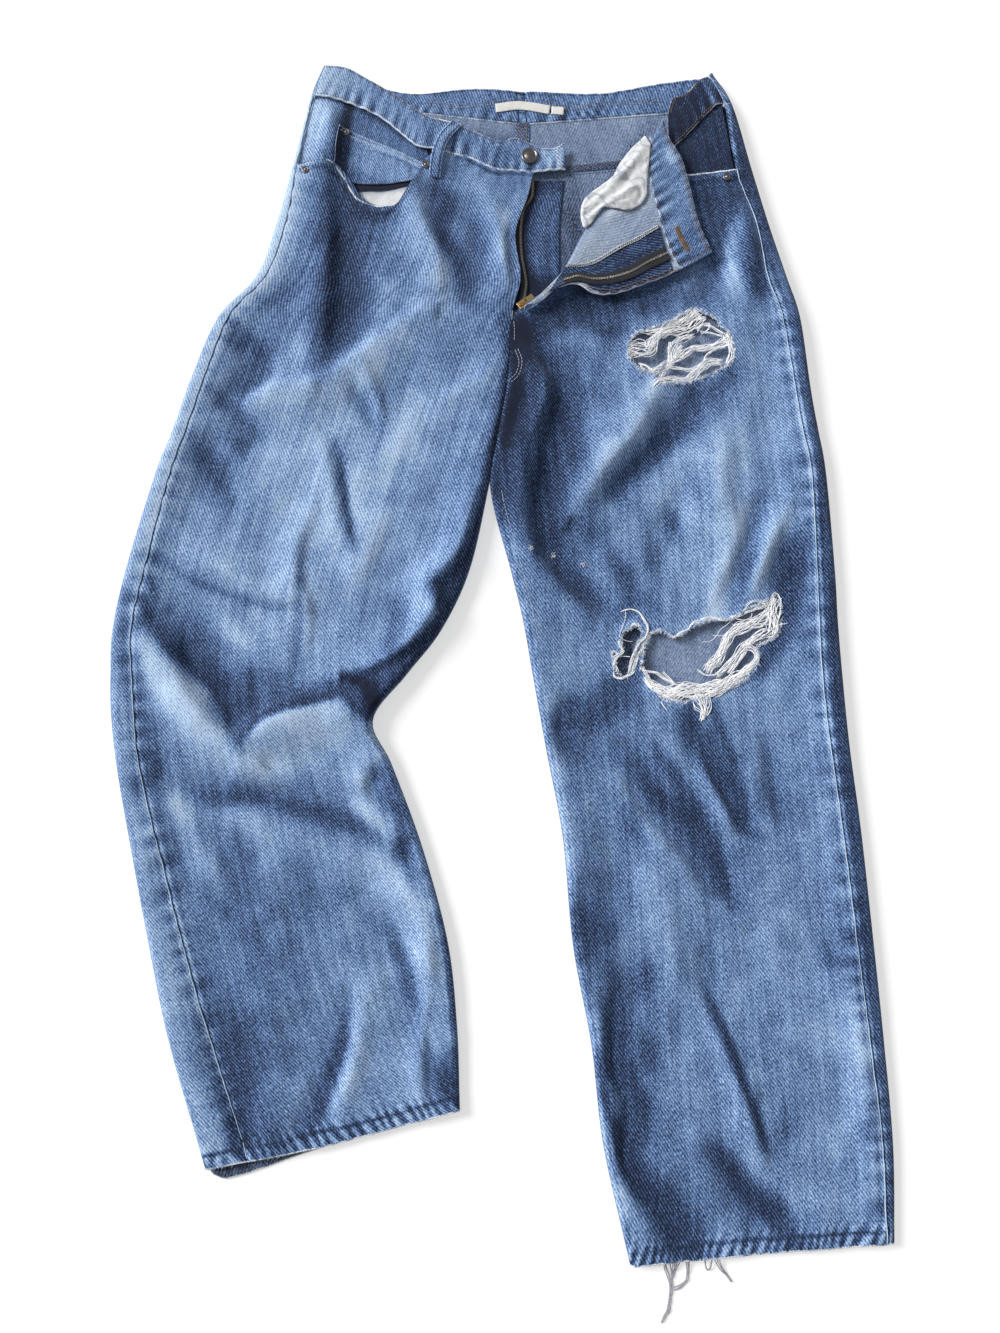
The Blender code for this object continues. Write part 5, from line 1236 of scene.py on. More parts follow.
SEAT_SHADES = shades(
    ("inside the slit", 12, 0, -2.6, (134, 4), (133, -18), (128, -50)),
    ("beside the flap", 9, 0, -1.6, (94, 340), (104, 352), (118, 366)),
    ("beside the shield", 12, 0, -1.6, (82, 462), (83, 430), (82, 395), (72, 360)),
    ("under the turned band", 10, 0, -0.6, (170, 535), (158, 510), (140, 480), (120, 452)),
    ("under the front's top", 10, 0, -0.6, (-30, 520), (0, 508), (30, 505), (45, 503)),
)


def seat_shade(x, y):
    """What the pieces above keep in the shade on the seat's inside."""
    near = (x > -0.08) & (x < 0.22) & ((y > 0.30) | ((y < 0.02) & (y > -0.07)))
    tone = np.zeros(x.shape)
    for fold in SEAT_SHADES:
        tone[near] += fold.tone * Half.bump(fold, x[near], y[near])
    return tone


# %% [markdown]
# A yoke is the shaped piece between the waistband and a back panel. Real jeans get their round seat
# from it, without darts. Only its inside shows here, through the open fly, so it is a short strip of
# the same grid, and the back panel starts where it ends.

# %% Backs and yokes
YOKE_FOOT = (1.25, 2.05)  # sections where the yoke ends, at the side and at the centre
BACK_STEP = 0.0048
for name, half in (("right", RIGHT), ("left", LEFT)):
    points, tone, uv = back_strip(half, (0.93, 0.93), YOKE_FOOT, 0.06, BACK_STEP)
    tone = tone + seat_shade(points[..., 0], points[..., 1]) * (points[..., 2] < 0.008)
    piece = cloth(f"yoke_{name}_denim", points, tone, uv, DENIM, facing=-1.0)
    stands_for(piece, "denim_shaded", f"yoke_{name}")
    s = ladder(half, slope(*YOKE_FOOT), spread(0.12, BACK_STEP, end=(0.0, BACK_STEP)), BACK_STEP)
    points, tone, uv = back_grid(half, s)
    height, shade, wear = hem(half, points[..., 0], points[..., 1])
    under = UNDERNEATH + 0.0 * points[..., 2]
    drop = hem_drop(half, points[..., 0], points[..., 1], under)
    points[..., 1] -= drop
    # painted shade inside the right leg's hem, where the back hangs out past the front
    shade = shade - 150.0 * drop * under
    shade = shade + seat_shade(points[..., 0], points[..., 1]) * (points[..., 2] < 0.008)
    panel = cloth(f"back_{name}_denim", points, softened(tone + shade), uv, DENIM, facing=-1.0, wear=wear)
    stands_for(panel, "denim_shaded", f"back_{name}")
    print(panel.name, len(panel.data.polygons), "faces")

# %% [markdown]
# ## The waistband
# A waistband is a long strip folded over the panels' top edge and sewn down along both of its
# sides. Both faces are the blue side of the denim. The two rows of stitches pull it together, so
# its edges are rounded and pale, and short dark puckers stand across the lower half.

# %% Waistband
BAND_LOOKS = (denim_face, denim_face, denim_rim)
BAND_RISE = 0.0009  # the band lies this much above the panels that run under it
STITCH_IN = 0.0024  # a row of stitches lies this far inside an edge
PUCKER_PITCH = 0.0125


def band_detail(run, across, depth, seed):
    """(height, tone, wear) of a sewn strip, from how far along and how far across it a point is."""
    edge = np.minimum(across, depth - across)
    drift = 0.6 * patchy(run, 0.0 * run, 0.03, seed)
    wave = np.sin(2.0 * math.pi * (run / PUCKER_PITCH + drift))
    other = np.sin(2.0 * math.pi * (run / (0.8 * PUCKER_PITCH) - drift))
    low = bell(depth - across, 0.015) * (0.6 + 0.5 * patchy(run, across, 0.02, seed + 1))
    high = 0.6 * bell(across, 0.009)
    groove = bell(edge - STITCH_IN, 0.0007)
    height = 0.0009 * wave * low + 0.0005 * other * high - 0.0003 * groove
    height = height - 0.0010 * bell(edge, 0.0010)
    tone = 0.90 * (wave - 0.15) * low + 0.50 * (other - 0.1) * high - 0.45 * groove
    tone = tone + 0.26 * bell(edge, 0.0012) + 0.10 * patchy(run, across, 0.012, seed + 2)
    wear = bell(edge, 0.0008) * (0.62 + 0.5 * patchy(run, across, 0.006, seed + 3))
    return height, tone, np.clip(wear, 0.0, 1.0)


def between(upper, lower, rows, columns):
    """Spots from the curve upper to the curve lower, and how far along and across each lies."""
    first, last = along(upper, columns), along(lower, columns)
    spot = first + (last - first) * rows[:, None, None]
    depth = np.linalg.norm(last - first, axis=1)
    across = rows[:, None] * depth
    return spot, columns * length_of(first) + 0.0 * across, across, depth + 0.0 * across


def waistband_part(name, upper, lower, surface, tint, seed, slot, node):
    rows = spread(0.038, 0.0028)
    columns = spread(length_of(upper), 0.0026, start=(0.0, 0.0008, 0.0018), end=(0.0, 0.0008, 0.0018))
    spot, run, across, depth = between(upper, lower, rows, columns)
    x, y = spot[..., 0], spot[..., 1]
    height, tone, wear = band_detail(run, across, depth, seed)
    points = np.dstack([spot, surface(x, y) + BAND_RISE + height])
    uv = np.dstack([run, -across])
    band = cloth(name, points, tone + tint(run, across), uv, BAND, BAND_LOOKS, wear=wear)
    return stands_for(band, slot, node)


def plain(value):
    """A tone that is the same along the whole piece."""
    return lambda run, across: value + 0.0 * run


def right_band_tint(run, across):
    """Pale at the side, a painted highlight where it faces the light, darker towards the button."""
    edge = across.max(axis=0) - across
    side = 0.02 + 0.62 * bell(run, 0.030) - 0.10 * smoothstep((run - 0.08) / 0.10)
    end = 0.55 * smoothstep((run - 0.235) / 0.02)
    return side + end + 1.10 * bell(edge - 0.0008, 0.0014)


waistband_right = waistband_part(
    "waistband_right_denim", RIGHT_BAND_TOP, RIGHT_BAND_LOW, RIGHT.bed, right_band_tint, 101,
    "denim_outside", "waistband_right",
)


def left_band_tint(run, across):
    """In the deep shade of the turned-back front, paler at the side."""
    return -1.10 + 0.55 * smoothstep((0.022 - run) / 0.02)


waistband_left = waistband_part(
    "waistband_left_denim", LEFT_BAND_TOP, LEFT_BAND_LOW, LEFT.bed, left_band_tint, 111,
    "denim_shaded", "waistband_left",
)


def back_waistband():
    strips = [back_strip(half, (0.0, 0.0), (1.0, 1.0), 0.039, 0.0030) for half in (RIGHT, LEFT)]
    (right, _, right_uv), (left, _, left_uv) = strips
    points = np.concatenate([right[:, :-1], left[:, ::-1][:, 1:]], axis=1)
    joined = -right_uv[:, -1:, 0] + left_uv[:, -1:, 0]
    run = np.concatenate([-right_uv[:, :-1, 0], joined - left_uv[:, ::-1, 0][:, 1:]], axis=1)
    down = np.concatenate([right_uv[:, :-1, 1], left_uv[:, ::-1, 1][:, 1:]], axis=1)
    across, depth = down[0] - down, (down[0] - down[-1]) + 0.0 * down
    height, tone, wear = band_detail(run, across, depth, 121)
    points[..., 2] -= 0.6 * np.minimum(height, 0.0)
    x = points[..., 0]
    dip = 0.017 * bell(x + 0.085, 0.055) + 0.009 * bell(x - 0.115, 0.055)
    points[..., 1] -= dip * (1.0 - across / depth)
    uv = np.dstack([run, down])
    band = cloth("waistband_back_denim", points, tone - 0.12, uv, BAND, BAND_LOOKS, facing=-1.0, wear=wear)
    return stands_for(band, "denim_inside", "waistband_back")


waistband_back = back_waistband()
print("waistband pieces:", [name for name in made_pieces if "waistband" in name])

# %% [markdown]
# ## Pockets at the hips
# A hip pocket shows four layers: the front panel's curved mouth, the white bag behind it, the
# facing of denim that closes the gap, and on the right the small coin pocket on that facing. Each
# one is a sheet between two lines, at its own depth below the front.

# %% Hip pockets
FACING_DEPTH = DENIM + 1.5 * LOOSE  # a facing's outer face lies this far under the front panel's


def flat_piece(upper, lower, step):
    """The grid of a flat piece between two lines: x, y, run, across and depth at every spot."""
    first = along(upper, np.linspace(0.0, 1.0, 60))
    last = along(lower, np.linspace(0.0, 1.0, 60))
    edge = (0.0, 0.0007, 0.0016)
    rows = spread(float(np.linalg.norm(last - first, axis=1).mean()), step, edge, edge)
    columns = spread(length_of(first), step, edge, edge)
    spot, run, across, depth = between(upper, lower, rows, columns)
    return spot[..., 0], spot[..., 1], run, across, depth


def layer(name, upper, lower, half, rise, tint, slot, node, looks=DENIM_LOOKS, wall=DENIM, crease=0.0):
    """A flat piece between two lines, at the height rise from the front's own surface."""
    x, y, run, across, _ = flat_piece(upper, lower, 0.0026)
    wrinkle = crease * (patchy(x, y, 0.013, 41) + 0.5 * patchy(x, y, 0.006, 42))
    points = np.dstack([x, y, half.bed(x, y) + rise + wrinkle])
    tone = tint(run, across) + 0.08 * patchy(x, y, 0.012, 43)
    piece = cloth(name, points, tone, np.dstack([run, -across]), wall, looks)
    return stands_for(piece, slot, node)


def raised(points, amount):
    return [(x, y + amount) for x, y in points]


FACING_UPPER = mm((-179, 552), (-147, 547), (-126, 538), (-105, 525), (-90, 512), (-62, 494))
FACING_LOWER = mm((-194, 462), (-165, 458), (-140, 450), (-115, 449.5), (-92, 450), (-56, 458))


def facing_tint(run, across):
    """Painted light and shade: pale at the side, dark by the side fold and the band, black at the lower gap.
    """
    side = 0.85 * np.exp(-((run / 0.028) ** 4)) - 1.00 * bell(run - 0.038, 0.005)
    top = 0.45 * bell(across - TUCKED, 0.0030)
    gap = 2.4 * smoothstep((0.0075 - across.max(axis=0) + across) / 0.0012)
    return -0.30 + side - top - 0.30 * smoothstep((across - 0.05) / 0.03) - gap


pocket_facing_right = layer(
    "pocket_facing_right_denim", raised(FACING_UPPER, TUCKED), FACING_LOWER, RIGHT, -FACING_DEPTH,
    facing_tint, "denim_outside", "pocket_facing_right",
)
COIN_EDGE = mm((-150, 518.5), (-143, 515.5), (-117.6, 504.5), (-89, 491), (-66, 479))


def coin_tint(run, across):
    """Painted shadow beside the side fold, which casts it, and pale along its sewn upper edge."""
    lip = 0.45 * bell(across, 0.0014) + 0.32 * bell(across - 0.0055, 0.0040)
    lip = lip - 0.50 * bell(across - 0.0022, 0.0009)
    lip = lip - 0.45 * bell(across - 0.0100, 0.0012)
    return 0.06 + lip - 1.40 * bell(run, 0.014) - 0.35 * smoothstep((across - 0.032) / 0.015)


coin_pocket = layer(
    "coin_pocket_denim", COIN_EDGE, mm((-156, 462), (-125, 456), (-88, 456), (-62, 459.5)),
    RIGHT, DENIM + LOOSE - FACING_DEPTH, coin_tint, "denim_outside", "coin_pocket",
)
# painted shade: the left facing is painted near black for the shade beside the turned-back front
layer(
    "pocket_facing_left_denim",
    raised(mm((239.5, 540.5), (217, 522), (200, 503), (187, 490)), TUCKED),
    mm((250, 458), (225, 456), (205, 455), (186, 457)), LEFT, -DENIM - LOOSE,
    plain(-1.00), "denim_shaded", "pocket_facing_left",
)

# %% [markdown]
# ## White cotton
# Pocket bags and labels are undyed cotton in a plain weave: two waves that cross at right angles.
# Painted shade greys the bags a little in their creases.


# %% Cotton
def cotton(name, colour, shade, pitch=0.0007):
    look = Look(name, 0.92, Sheen_Weight=0.1, Specular_IOR_Level=0.2)
    place = look.add("UVMap", {}, uv_map="cloth")
    scale = 2.0 * math.pi / (20.0 * pitch)
    weave = [
        look.add("TexWave", {"Vector": place, "Scale": scale, "Distortion": 0.6}, bands_direction=axis)
        for axis in ("X", "Y")
    ]
    cross = look.add("Math", {0: weave[0], 1: weave[1]}, operation="MAXIMUM")
    cloud = look.stretched(place, (90.0, 90.0, 1.0), 4.0)
    slub = look.stretched(place, (160.0, 1500.0, 1.0), 2.0)
    tone = look.sum(look.sum(look.times(cloud, 0.9), slub, 0.4), cross, 0.25)
    tone = look.sum(tone, look.attribute("dye"), 0.5)
    look.set(Base_Color=look.ramp(tone, [(0.35, shade), (0.95, colour)]))
    look.bumps(look.sum(cross, slub, 0.6), 0.0002, 0.6)
    return look.made


bag_cotton = cotton("pocket_cotton", (0.80, 0.81, 0.82), (0.42, 0.46, 0.52))
label_cotton = cotton("label_cotton", (0.86, 0.85, 0.81), (0.62, 0.61, 0.57))


def bag_right_tint(run, across):
    """The bag is in the shade where it runs on under the facing."""
    return 0.10 - 3.0 * bell(across, 0.007)


layer(
    "pocket_bag_right_cotton", mm((-148, 452), (-115, 455.5), (-80, 456)),
    mm((-140, 405), (-115, 402), (-85, 404)), RIGHT, -FACING_DEPTH - 0.0012, bag_right_tint,
    "white_cotton", "pocket_bag_right", (bag_cotton,), COTTON, crease=0.0005,
)

# %% [markdown]
# ## The open fly
# On the right the fly shield, a double strip of denim, lies behind the zip. It rests on the inside
# of the back. The zip's tape is sewn under the edge of the front and shows as a black line.

# %% Fly shield
SHIELD_EDGE = mm((78, 463), (75, 440), (73, 418), (72, 385), (71, 352), (58, 336), (42, 322))
ON_BACK = 2.0 * DENIM + 2.0 * SEAM  # the shield's face above the ground under the seat


def fly_piece(name, upper, lower, rise, tint, slot, node, looks, wall, step=0.0024):
    """A flat piece whose height is the function rise and whose edges are pressed down."""
    x, y, run, across, depth = flat_piece(upper, lower, step)
    rim = np.minimum(across, depth - across)
    swell = rise(x, y) + 0.0004 * patchy(x, y, 0.012, 45) - 0.0006 * bell(rim, 0.0009)
    tone = tint(run, across) + 0.09 * patchy(x, y, 0.010, 46)
    piece = cloth(name, np.dstack([x, y, swell]), tone, np.dstack([across, -run]), wall, looks)
    return stands_for(piece, slot, node)


def shield_tint(run, across):
    """A deep blue that the sun never faded, with painted shade by the tape, at its top and at its foot."""
    shade = 0.80 * bell(across - 0.013, 0.008) + 1.0 * smoothstep((run - 0.085) / 0.04)
    return -0.46 - shade - 0.35 * smoothstep((0.020 - run) / 0.015)


fly_piece(
    "fly_shield_denim", [(x - 0.008, y) for x, y in FLY_EDGE], SHIELD_EDGE,
    lambda x, y: lift(y) + ON_BACK, shield_tint, "denim_shaded", "fly_shield", DENIM_LOOKS, DENIM,
)
print("shield", round(made_pieces["fly_shield_denim"] * 1e4, 1), "cm2")

# %% [markdown]
# ## The turned-back left front
# The left front is open and folded over on itself, so its inside looks up: pale weft-side denim,
# the dark fly facing with its half of the zip, the pocket's bag, and at its end the inner face of
# the waistband with the buttonhole. The sheet starts under the fold, turns round it in a soft
# radius and lies on the front from there.

# %% Lines of the turned-back front
TURN_FOLD = mm((36, 318), (52, 330), (76, 358), (98, 400), (121, 430), (150, 474), (165, 499))
TURN_EDGE = mm(
    (45, 319), (56.5, 325.6), (67, 334), (86, 338.4), (99, 332), (111, 329), (130, 331), (157, 341),
    (190, 355),
)
TURN_BAND_LOW = mm((165.5, 498), (160.5, 475), (164, 447), (170, 419), (176, 395), (183, 372), (191.5, 357))
TURN_BAND_TOP = mm((178, 522), (183, 500), (194, 479), (200, 459), (205, 435), (211, 407), (223, 377))
TURN_RADIUS = 0.0036  # of the fold, on its hollow side
TURN_DROP = 0.0035  # how much lower the turned-back cloth lies at its far edge
FLAP_FOLDS = shades(
    ("crest", 10, 1.6, 0.2, (60, 337), (100, 385), (150, 455)),
    ("edge roll", 8, 1.6, 0.15, (60, 335), (100, 342), (150, 346), (195, 362)),
    ("hollow", 10, -1.6, -0.15, (100, 356), (130, 372), (160, 392)),
    ("bag hollow", 7, -1, -0.2, (112, 398), (140, 410), (162, 420)),
)


def flap_relief(x, y):
    """(height, tone) of the creases of the turned-back cloth."""
    height, tone = 0.0008 * patchy(x, y, 0.020, 51), 0.12 * patchy(x, y, 0.014, 52)
    for fold in FLAP_FOLDS:
        bump = Half.bump(fold, x, y)
        height, tone = height + fold.height * bump, tone + fold.tone * bump
    return height, tone


def turned_height(x, y):
    """Height of the upper (inner) face of the turned-back cloth."""
    away, _, _ = distance_to(TURN_FOLD, x, y)
    base = LEFT.bed(x, y) + 2.0 * TURN_RADIUS + 2.0 * DENIM
    return base - TURN_DROP * smoothstep(away / 0.09) + flap_relief(x, y)[0]


def turned_sheet():
    """From under the fold round it and over to the free edge. Rows follow the fold line."""
    at = spread(0.24, 0.0024)
    reach = spread(0.085, 0.0024, start=(0.0, 0.0020), end=EDGE_STEPS)
    angles = np.linspace(-1.35, 0.95, 9)
    start, end = along(TURN_FOLD, at), along(TURN_EDGE, at)
    across = end - start
    span = np.linalg.norm(across, axis=1)
    across /= span[:, None]
    tight = np.minimum(1.0, span / 0.03)[:, None]
    points = np.zeros((len(at), len(angles) + len(reach), 3))
    run = np.zeros(points.shape[:2])
    centre = start + across * TURN_RADIUS * 1.6 * tight
    high = turned_height(centre[:, 0], centre[:, 1])
    low = LEFT.bed(centre[:, 0], centre[:, 1]) + SEAM
    for k, angle in enumerate(angles):
        out = TURN_RADIUS * 1.6 * math.cos(angle)
        points[:, k, :2] = centre - across * out * tight
        points[:, k, 2] = 0.5 * (high + low) + 0.5 * (high - low) * math.sin(angle)
        run[:, k] = (angle - angles[-1]) * TURN_RADIUS * 1.3
    bend = at[:, None] ** 2
    points[:, : len(angles), :2] += (bend * (along(TURN_BAND_LOW, 0.0) - centre[-1]))[:, None]
    for k, share in enumerate(reach):
        straight = centre + (end - centre) * share
        spot = straight + bend * (along(TURN_BAND_LOW, share) - straight[-1])
        points[:, k + len(angles), :2] = spot
        points[:, k + len(angles), 2] = turned_height(spot[:, 0], spot[:, 1])
        run[:, k + len(angles)] = span * share
    return points, run, at[:, None] * length_of(along(TURN_FOLD, at)) + 0.0 * run


def turned_front():
    points, run, down = turned_sheet()
    x, y = points[..., 0], points[..., 1]
    edge, place, _ = distance_to(smooth(TURN_EDGE), x, y)
    wave = np.sin(2.0 * math.pi * (place * length_of(TURN_EDGE) / 0.013 + 0.4 * patchy(x, y, 0.03, 53)))
    near = bell(edge, 0.010)
    lip = bell(edge, 0.0013)
    points[..., 2] += 0.0010 * near + 0.0005 * wave * near - 0.0010 * bell(edge, 0.0009)
    away, _, _ = distance_to(smooth(TURN_FOLD), x, y)
    tone = flap_relief(x, y)[1] + 0.12 * wave * near + 0.42 - 0.25 * bell(away, 0.006)
    wear = np.clip(lip * (0.9 + 0.3 * patchy(x, y, 0.006, 54)), 0.0, 1.0)
    looks, uv = (denim_back, denim_face, denim_rim), np.dstack([run, -down])
    flap = cloth("front_left_turned_back_denim", points, tone, uv, DENIM, looks, wear=wear)
    return stands_for(flap, "denim_inside", "front_left_turned_back")


turned_flap = turned_front()


def turned_band_tint(run, across):
    """The blue side of the denim, darker at the free end and with one small worn patch."""
    patch = 0.55 * bell(run - 0.040, 0.012) * bell(across - 0.010, 0.005)
    return -0.05 - 0.22 * smoothstep((run - 0.10) / 0.05) + patch


waistband_turned = waistband_part(
    "waistband_turned_back_denim", TURN_BAND_TOP, TURN_BAND_LOW, turned_height, turned_band_tint, 131,
    "denim_inside", "waistband_turned_back",
)

# %% [markdown]
# Two pieces lie on the turned-back cloth: the dark facing of the fly, which carries the left half of
# the zip, and the white pocket bag, which fell over in sharp small creases. The bag has its own table
# of folds, because thin cotton creases far more tightly than denim.

# %% Fly facing and pocket bag on the turned-back front
FLY_FACING_UPPER = mm(
    (77.5, 357.7), (91.3, 358.5), (106.2, 364.1), (131.2, 380.4), (151.2, 391.2), (170.4, 403.2),
)
FLY_FACING_LOWER = mm((60, 330), (87, 340), (111, 331), (131, 333), (156, 342.5), (183, 354.5))
BAG_UPPER = mm(
    (94.5, 400), (92.5, 412), (94, 426), (102.3, 439.2), (124, 456), (131.5, 470), (143, 486), (158, 501),
)
BAG_LOWER = mm(
    (96, 399), (101.7, 402.5), (109, 413), (115.9, 420.5), (139.7, 418.3), (156.9, 430.4), (160, 454.7),
    (164, 490),
)
BAG_FOLDS = folds(
    ("long", 4, 3, 0.4, 0.2, (100, 424), (122, 444), (146, 472), (156, 488)),
    ("cross", 3.2, 2.6, 0.3, 0.2, (108, 426), (128, 432), (152, 446)),
    ("hollow", 5, -1.8, 0, -0.7, (118, 428), (136, 448), (150, 468)),
    ("lower", 3, 2.2, 0.3, 0.2, (100, 408), (118, 424), (142, 426)),
    ("corner", 4, -1.6, 0, -0.7, (98, 414), (108, 422), (122, 436)),
    ("pleat", 2.6, -1.8, 0, -0.8, (148, 424), (153, 436), (150, 448)),
    ("edge roll", 3, 2, 0, 0.2, (96, 404), (95, 425), (105, 438), (126, 453)),
)


def bag_height(x, y):
    """The white bag lies loosely over the flap, in sharp small creases."""
    folds = sum(fold.height * Half.bump(fold, x, y) for fold in BAG_FOLDS)
    away, _, side = distance_to(smooth(TURN_FOLD), x, y)
    over = smoothstep(0.5 + side * away / 0.010)
    fall = 0.0045 * smoothstep(side * away / 0.025)
    return turned_height(x, y) + 0.0022 - fall * over + folds + 0.0012 * np.abs(patchy(x, y, 0.009, 55))


def bag_tint(run, across):
    """Creases show as thin dark lines of painted shade between bright flats."""
    lines = bell(patchy(run, across, 0.011, 56), 0.10)
    fine = bell(patchy(run, across, 0.006, 57), 0.12)
    return 0.50 - 1.3 * lines - 0.8 * fine - 0.6 * np.abs(patchy(run, across, 0.020, 58))


fly_facing = fly_piece(
    "fly_facing_denim", FLY_FACING_UPPER, FLY_FACING_LOWER,
    lambda x, y: turned_height(x, y) + SEAM + DENIM,
    plain(-0.75), "denim_shaded", "fly_facing", BAND_LOOKS, DENIM,
)
fly_piece(
    "pocket_bag_left_cotton", BAG_UPPER, BAG_LOWER, bag_height, bag_tint,
    "white_cotton", "pocket_bag_left", (bag_cotton,), COTTON, step=0.0011,
)
print("turned-back front", round(made_pieces["front_left_turned_back_denim"] * 1e4, 1), "cm2")

# %% [markdown]
# ## Strips
# Belt loops, zip tapes, labels and seam tapes are long and narrow. One function lays such a strip
# along a path: it arches across its width, drops at its edges, and is darker where its two rows of
# stitches run.


# %% Strips along a path
STRIP_COLUMNS = np.array([-1.0, -0.92, -0.80, -0.64, -0.46, -0.24, 0.0, 0.24, 0.46, 0.64, 0.80, 0.92, 1.0])


def strip(name, path, widths, surface, wall, looks, tone=0.0, edge_tone=0.0, stitch_tone=0.0,
          arch=0.0, facing=1.0, step=0.0016, wavy=0.0):
    line = smooth(path, step)
    at = np.linspace(0.0, 1.0, len(line))
    half = 0.5 * np.interp(at, np.linspace(0.0, 1.0, len(widths)), widths)
    share = STRIP_COLUMNS[None, :]
    spot = line[:, None, :] + sideways(line)[:, None, :] * (half[:, None] * share)[..., None]
    x, y = spot[..., 0], spot[..., 1]
    rise = arch * np.sin(math.pi * at)[:, None] * (1.0 - 0.25 * share**2)
    height = surface(x, y) + rise - 0.0004 * np.abs(share) ** 8 + wavy * patchy(x, y, 0.005, 61)
    edges, rows = np.abs(share) ** 10, bell(np.abs(share) - 0.66, 0.13)
    shade = tone + edge_tone * edges + stitch_tone * rows + 0.10 * patchy(x, y, 0.008, 62)
    run = at[:, None] * length_of(line)
    uv = np.dstack([half[:, None] * share, -run + 0.0 * share])
    return cloth(name, np.dstack([spot, height]), shade, uv, wall, looks, facing=facing)


def on_right_band(x, y):
    return RIGHT.bed(x, y) + BAND_RISE + 0.0018


belt_loop_front = stands_for(
    strip("belt_loop_front_right_denim", mm((-31.5, 522), (-44.5, 503), (-51, 483), (-53.5, 461.5)),
          [0.0115, 0.0120, 0.0115], on_right_band, DENIM, BAND_LOOKS, 0.02, 0.90, -0.60, arch=0.0045),
    "denim_outside", "belt_loop_front_right",
)
LOOP_PLACES = (("back_right", -0.095, 0.562), ("centre_back", 0.034, 0.562), ("back_left", 0.150, 0.560))
loop_wall = LIFT - SEAM
for place, x, top in LOOP_PLACES:
    loop = strip(f"belt_loop_{place}_denim", [(x, 0.508), (x, 0.5 * (0.508 + top)), (x, top)], [0.0125],
                 lambda x, y: 0.0001 + 0.0 * x, loop_wall, BAND_LOOKS, 0.0, 0.3, -0.25, facing=-1.0)
    stands_for(loop, "denim_outside", f"belt_loop_{place}")

# %% Labels, left bare
def on_back_band(x, y):
    return lift(y) + BAND + 0.0014


label_looks = (label_cotton,)
waistband_label = strip("waistband_label_cotton", mm((8, 546), (33, 549), (64, 544)),
                        [0.0100], on_back_band, 0.0008, label_looks, 0.1, wavy=0.0002)
size_tab = strip("size_tab_cotton", mm((65.5, 543.5), (72, 543.1), (78.5, 542.5)),
                 [0.0090], on_back_band, 0.0008, label_looks, 0.1)
care_label = strip("care_label_cotton", mm((-51, 529), (-40, 526.2), (-28.5, 522.5)),
                   [0.0100, 0.0085, 0.0105], on_back_band, 0.0008, label_looks, 0.1, wavy=0.0004)
for piece, node in ((waistband_label, "waistband_label"), (size_tab, "size_tab"), (care_label, "care_label")):
    stands_for(piece, "white_cotton", node)


# %% [markdown]
# ## The zip
# A jeans zip is a black woven tape with small brass teeth clamped on its edge. The tape is a strip;
# a tooth is one bevelled cube, repeated along the path. The slider and the pull tab are the CAD
# model's own pieces, because the tab has to turn about the slider's arch.


# %% Zip tapes
def tape_look():
    look = Look("zip_tape_woven", 0.8, Specular_IOR_Level=0.3)
    place = look.add("UVMap", {}, uv_map="cloth")
    ribs = look.add("TexWave", {"Vector": place, "Scale": 420.0, "Distortion": 0.4}, bands_direction="Y")
    dust = look.stretched(place, (700.0, 700.0, 1.0), 3.0)
    tone = look.sum(look.times(ribs, 0.35), dust, 0.75)
    look.set(Base_Color=look.ramp(tone, [(0.25, (0.006, 0.007, 0.010)), (0.95, (0.055, 0.06, 0.075))]))
    look.bumps(ribs, 0.0002, 0.7)
    return look.made


black_tape = tape_look()


def on_shield(x, y):
    return lift(y) + ON_BACK + SEAM + COTTON


ZIP_RIGHT = [(x + 0.0037, y) for x, y in FLY_EDGE]
ZIP_LEFT = mm(
    (75.5, 342), (89.2, 345.5), (102.8, 343), (122.6, 345.5), (142.4, 353.5), (160.4, 364.5),
    (178, 373.5),
)


def on_facing(x, y):
    return turned_height(x, y) + SEAM + DENIM + SEAM + COTTON


for side, path, widths, surface in (
    ("right", ZIP_RIGHT, [0.0076, 0.0072], on_shield),
    ("left", ZIP_LEFT, [0.0090, 0.0135, 0.0150], on_facing),
):
    tape = strip(f"zip_tape_{side}_woven", path, widths, surface, COTTON, (black_tape,))
    stands_for(tape, "zip_tape", f"zip_tape_{side}")


# %% [markdown]
# ## Brass and antique metal
# One material in three colours serves the zip, its teeth, the button and the rivets. Handled metal
# is never even, so soft noise clouds its colour, stretched noise draws fine scratches, and both
# together make a slight bump.

# %% Metal
def metal(name, light, dark, roughness, scale=900.0):
    """Worn metal: cloudy colour, fine scratches and a soft bump."""
    look = Look(name, roughness, Metallic=1.0)
    place = look.nodes.new("ShaderNodeTexCoord").outputs["Object"]
    cloud = look.stretched(place, (scale, scale, scale), 4.0)
    scratch = look.stretched(place, (5.0 * scale, 0.6 * scale, scale), 2.0)
    tone = look.sum(look.times(cloud, 0.7), scratch, 0.5)
    look.set(Base_Color=look.ramp(tone, [(0.35, dark), (0.85, light)]))
    look.bumps(look.sum(scratch, cloud, 0.6), 0.00012, 0.5)
    return look.made


brass = metal("zip_brass", (0.86, 0.62, 0.30), (0.34, 0.22, 0.10), 0.34)
tooth_brass = metal("tooth_brass", (0.60, 0.56, 0.50), (0.20, 0.18, 0.16), 0.40)
button_metal = metal("antique_button_metal", (0.33, 0.31, 0.32), (0.08, 0.072, 0.075), 0.36)
for node in ("zip_slider", "zip_pull_tab"):
    piece = frame["nodes"][node]
    for slot in piece.material_slots:
        slot.material = brass


# %% Teeth
def object_of(name, mesh, look):
    """An object from a bmesh, in one material."""
    data = bpy.data.meshes.new(name)
    mesh.to_mesh(data)
    mesh.free()
    data.materials.append(look)
    return placed(name, data)


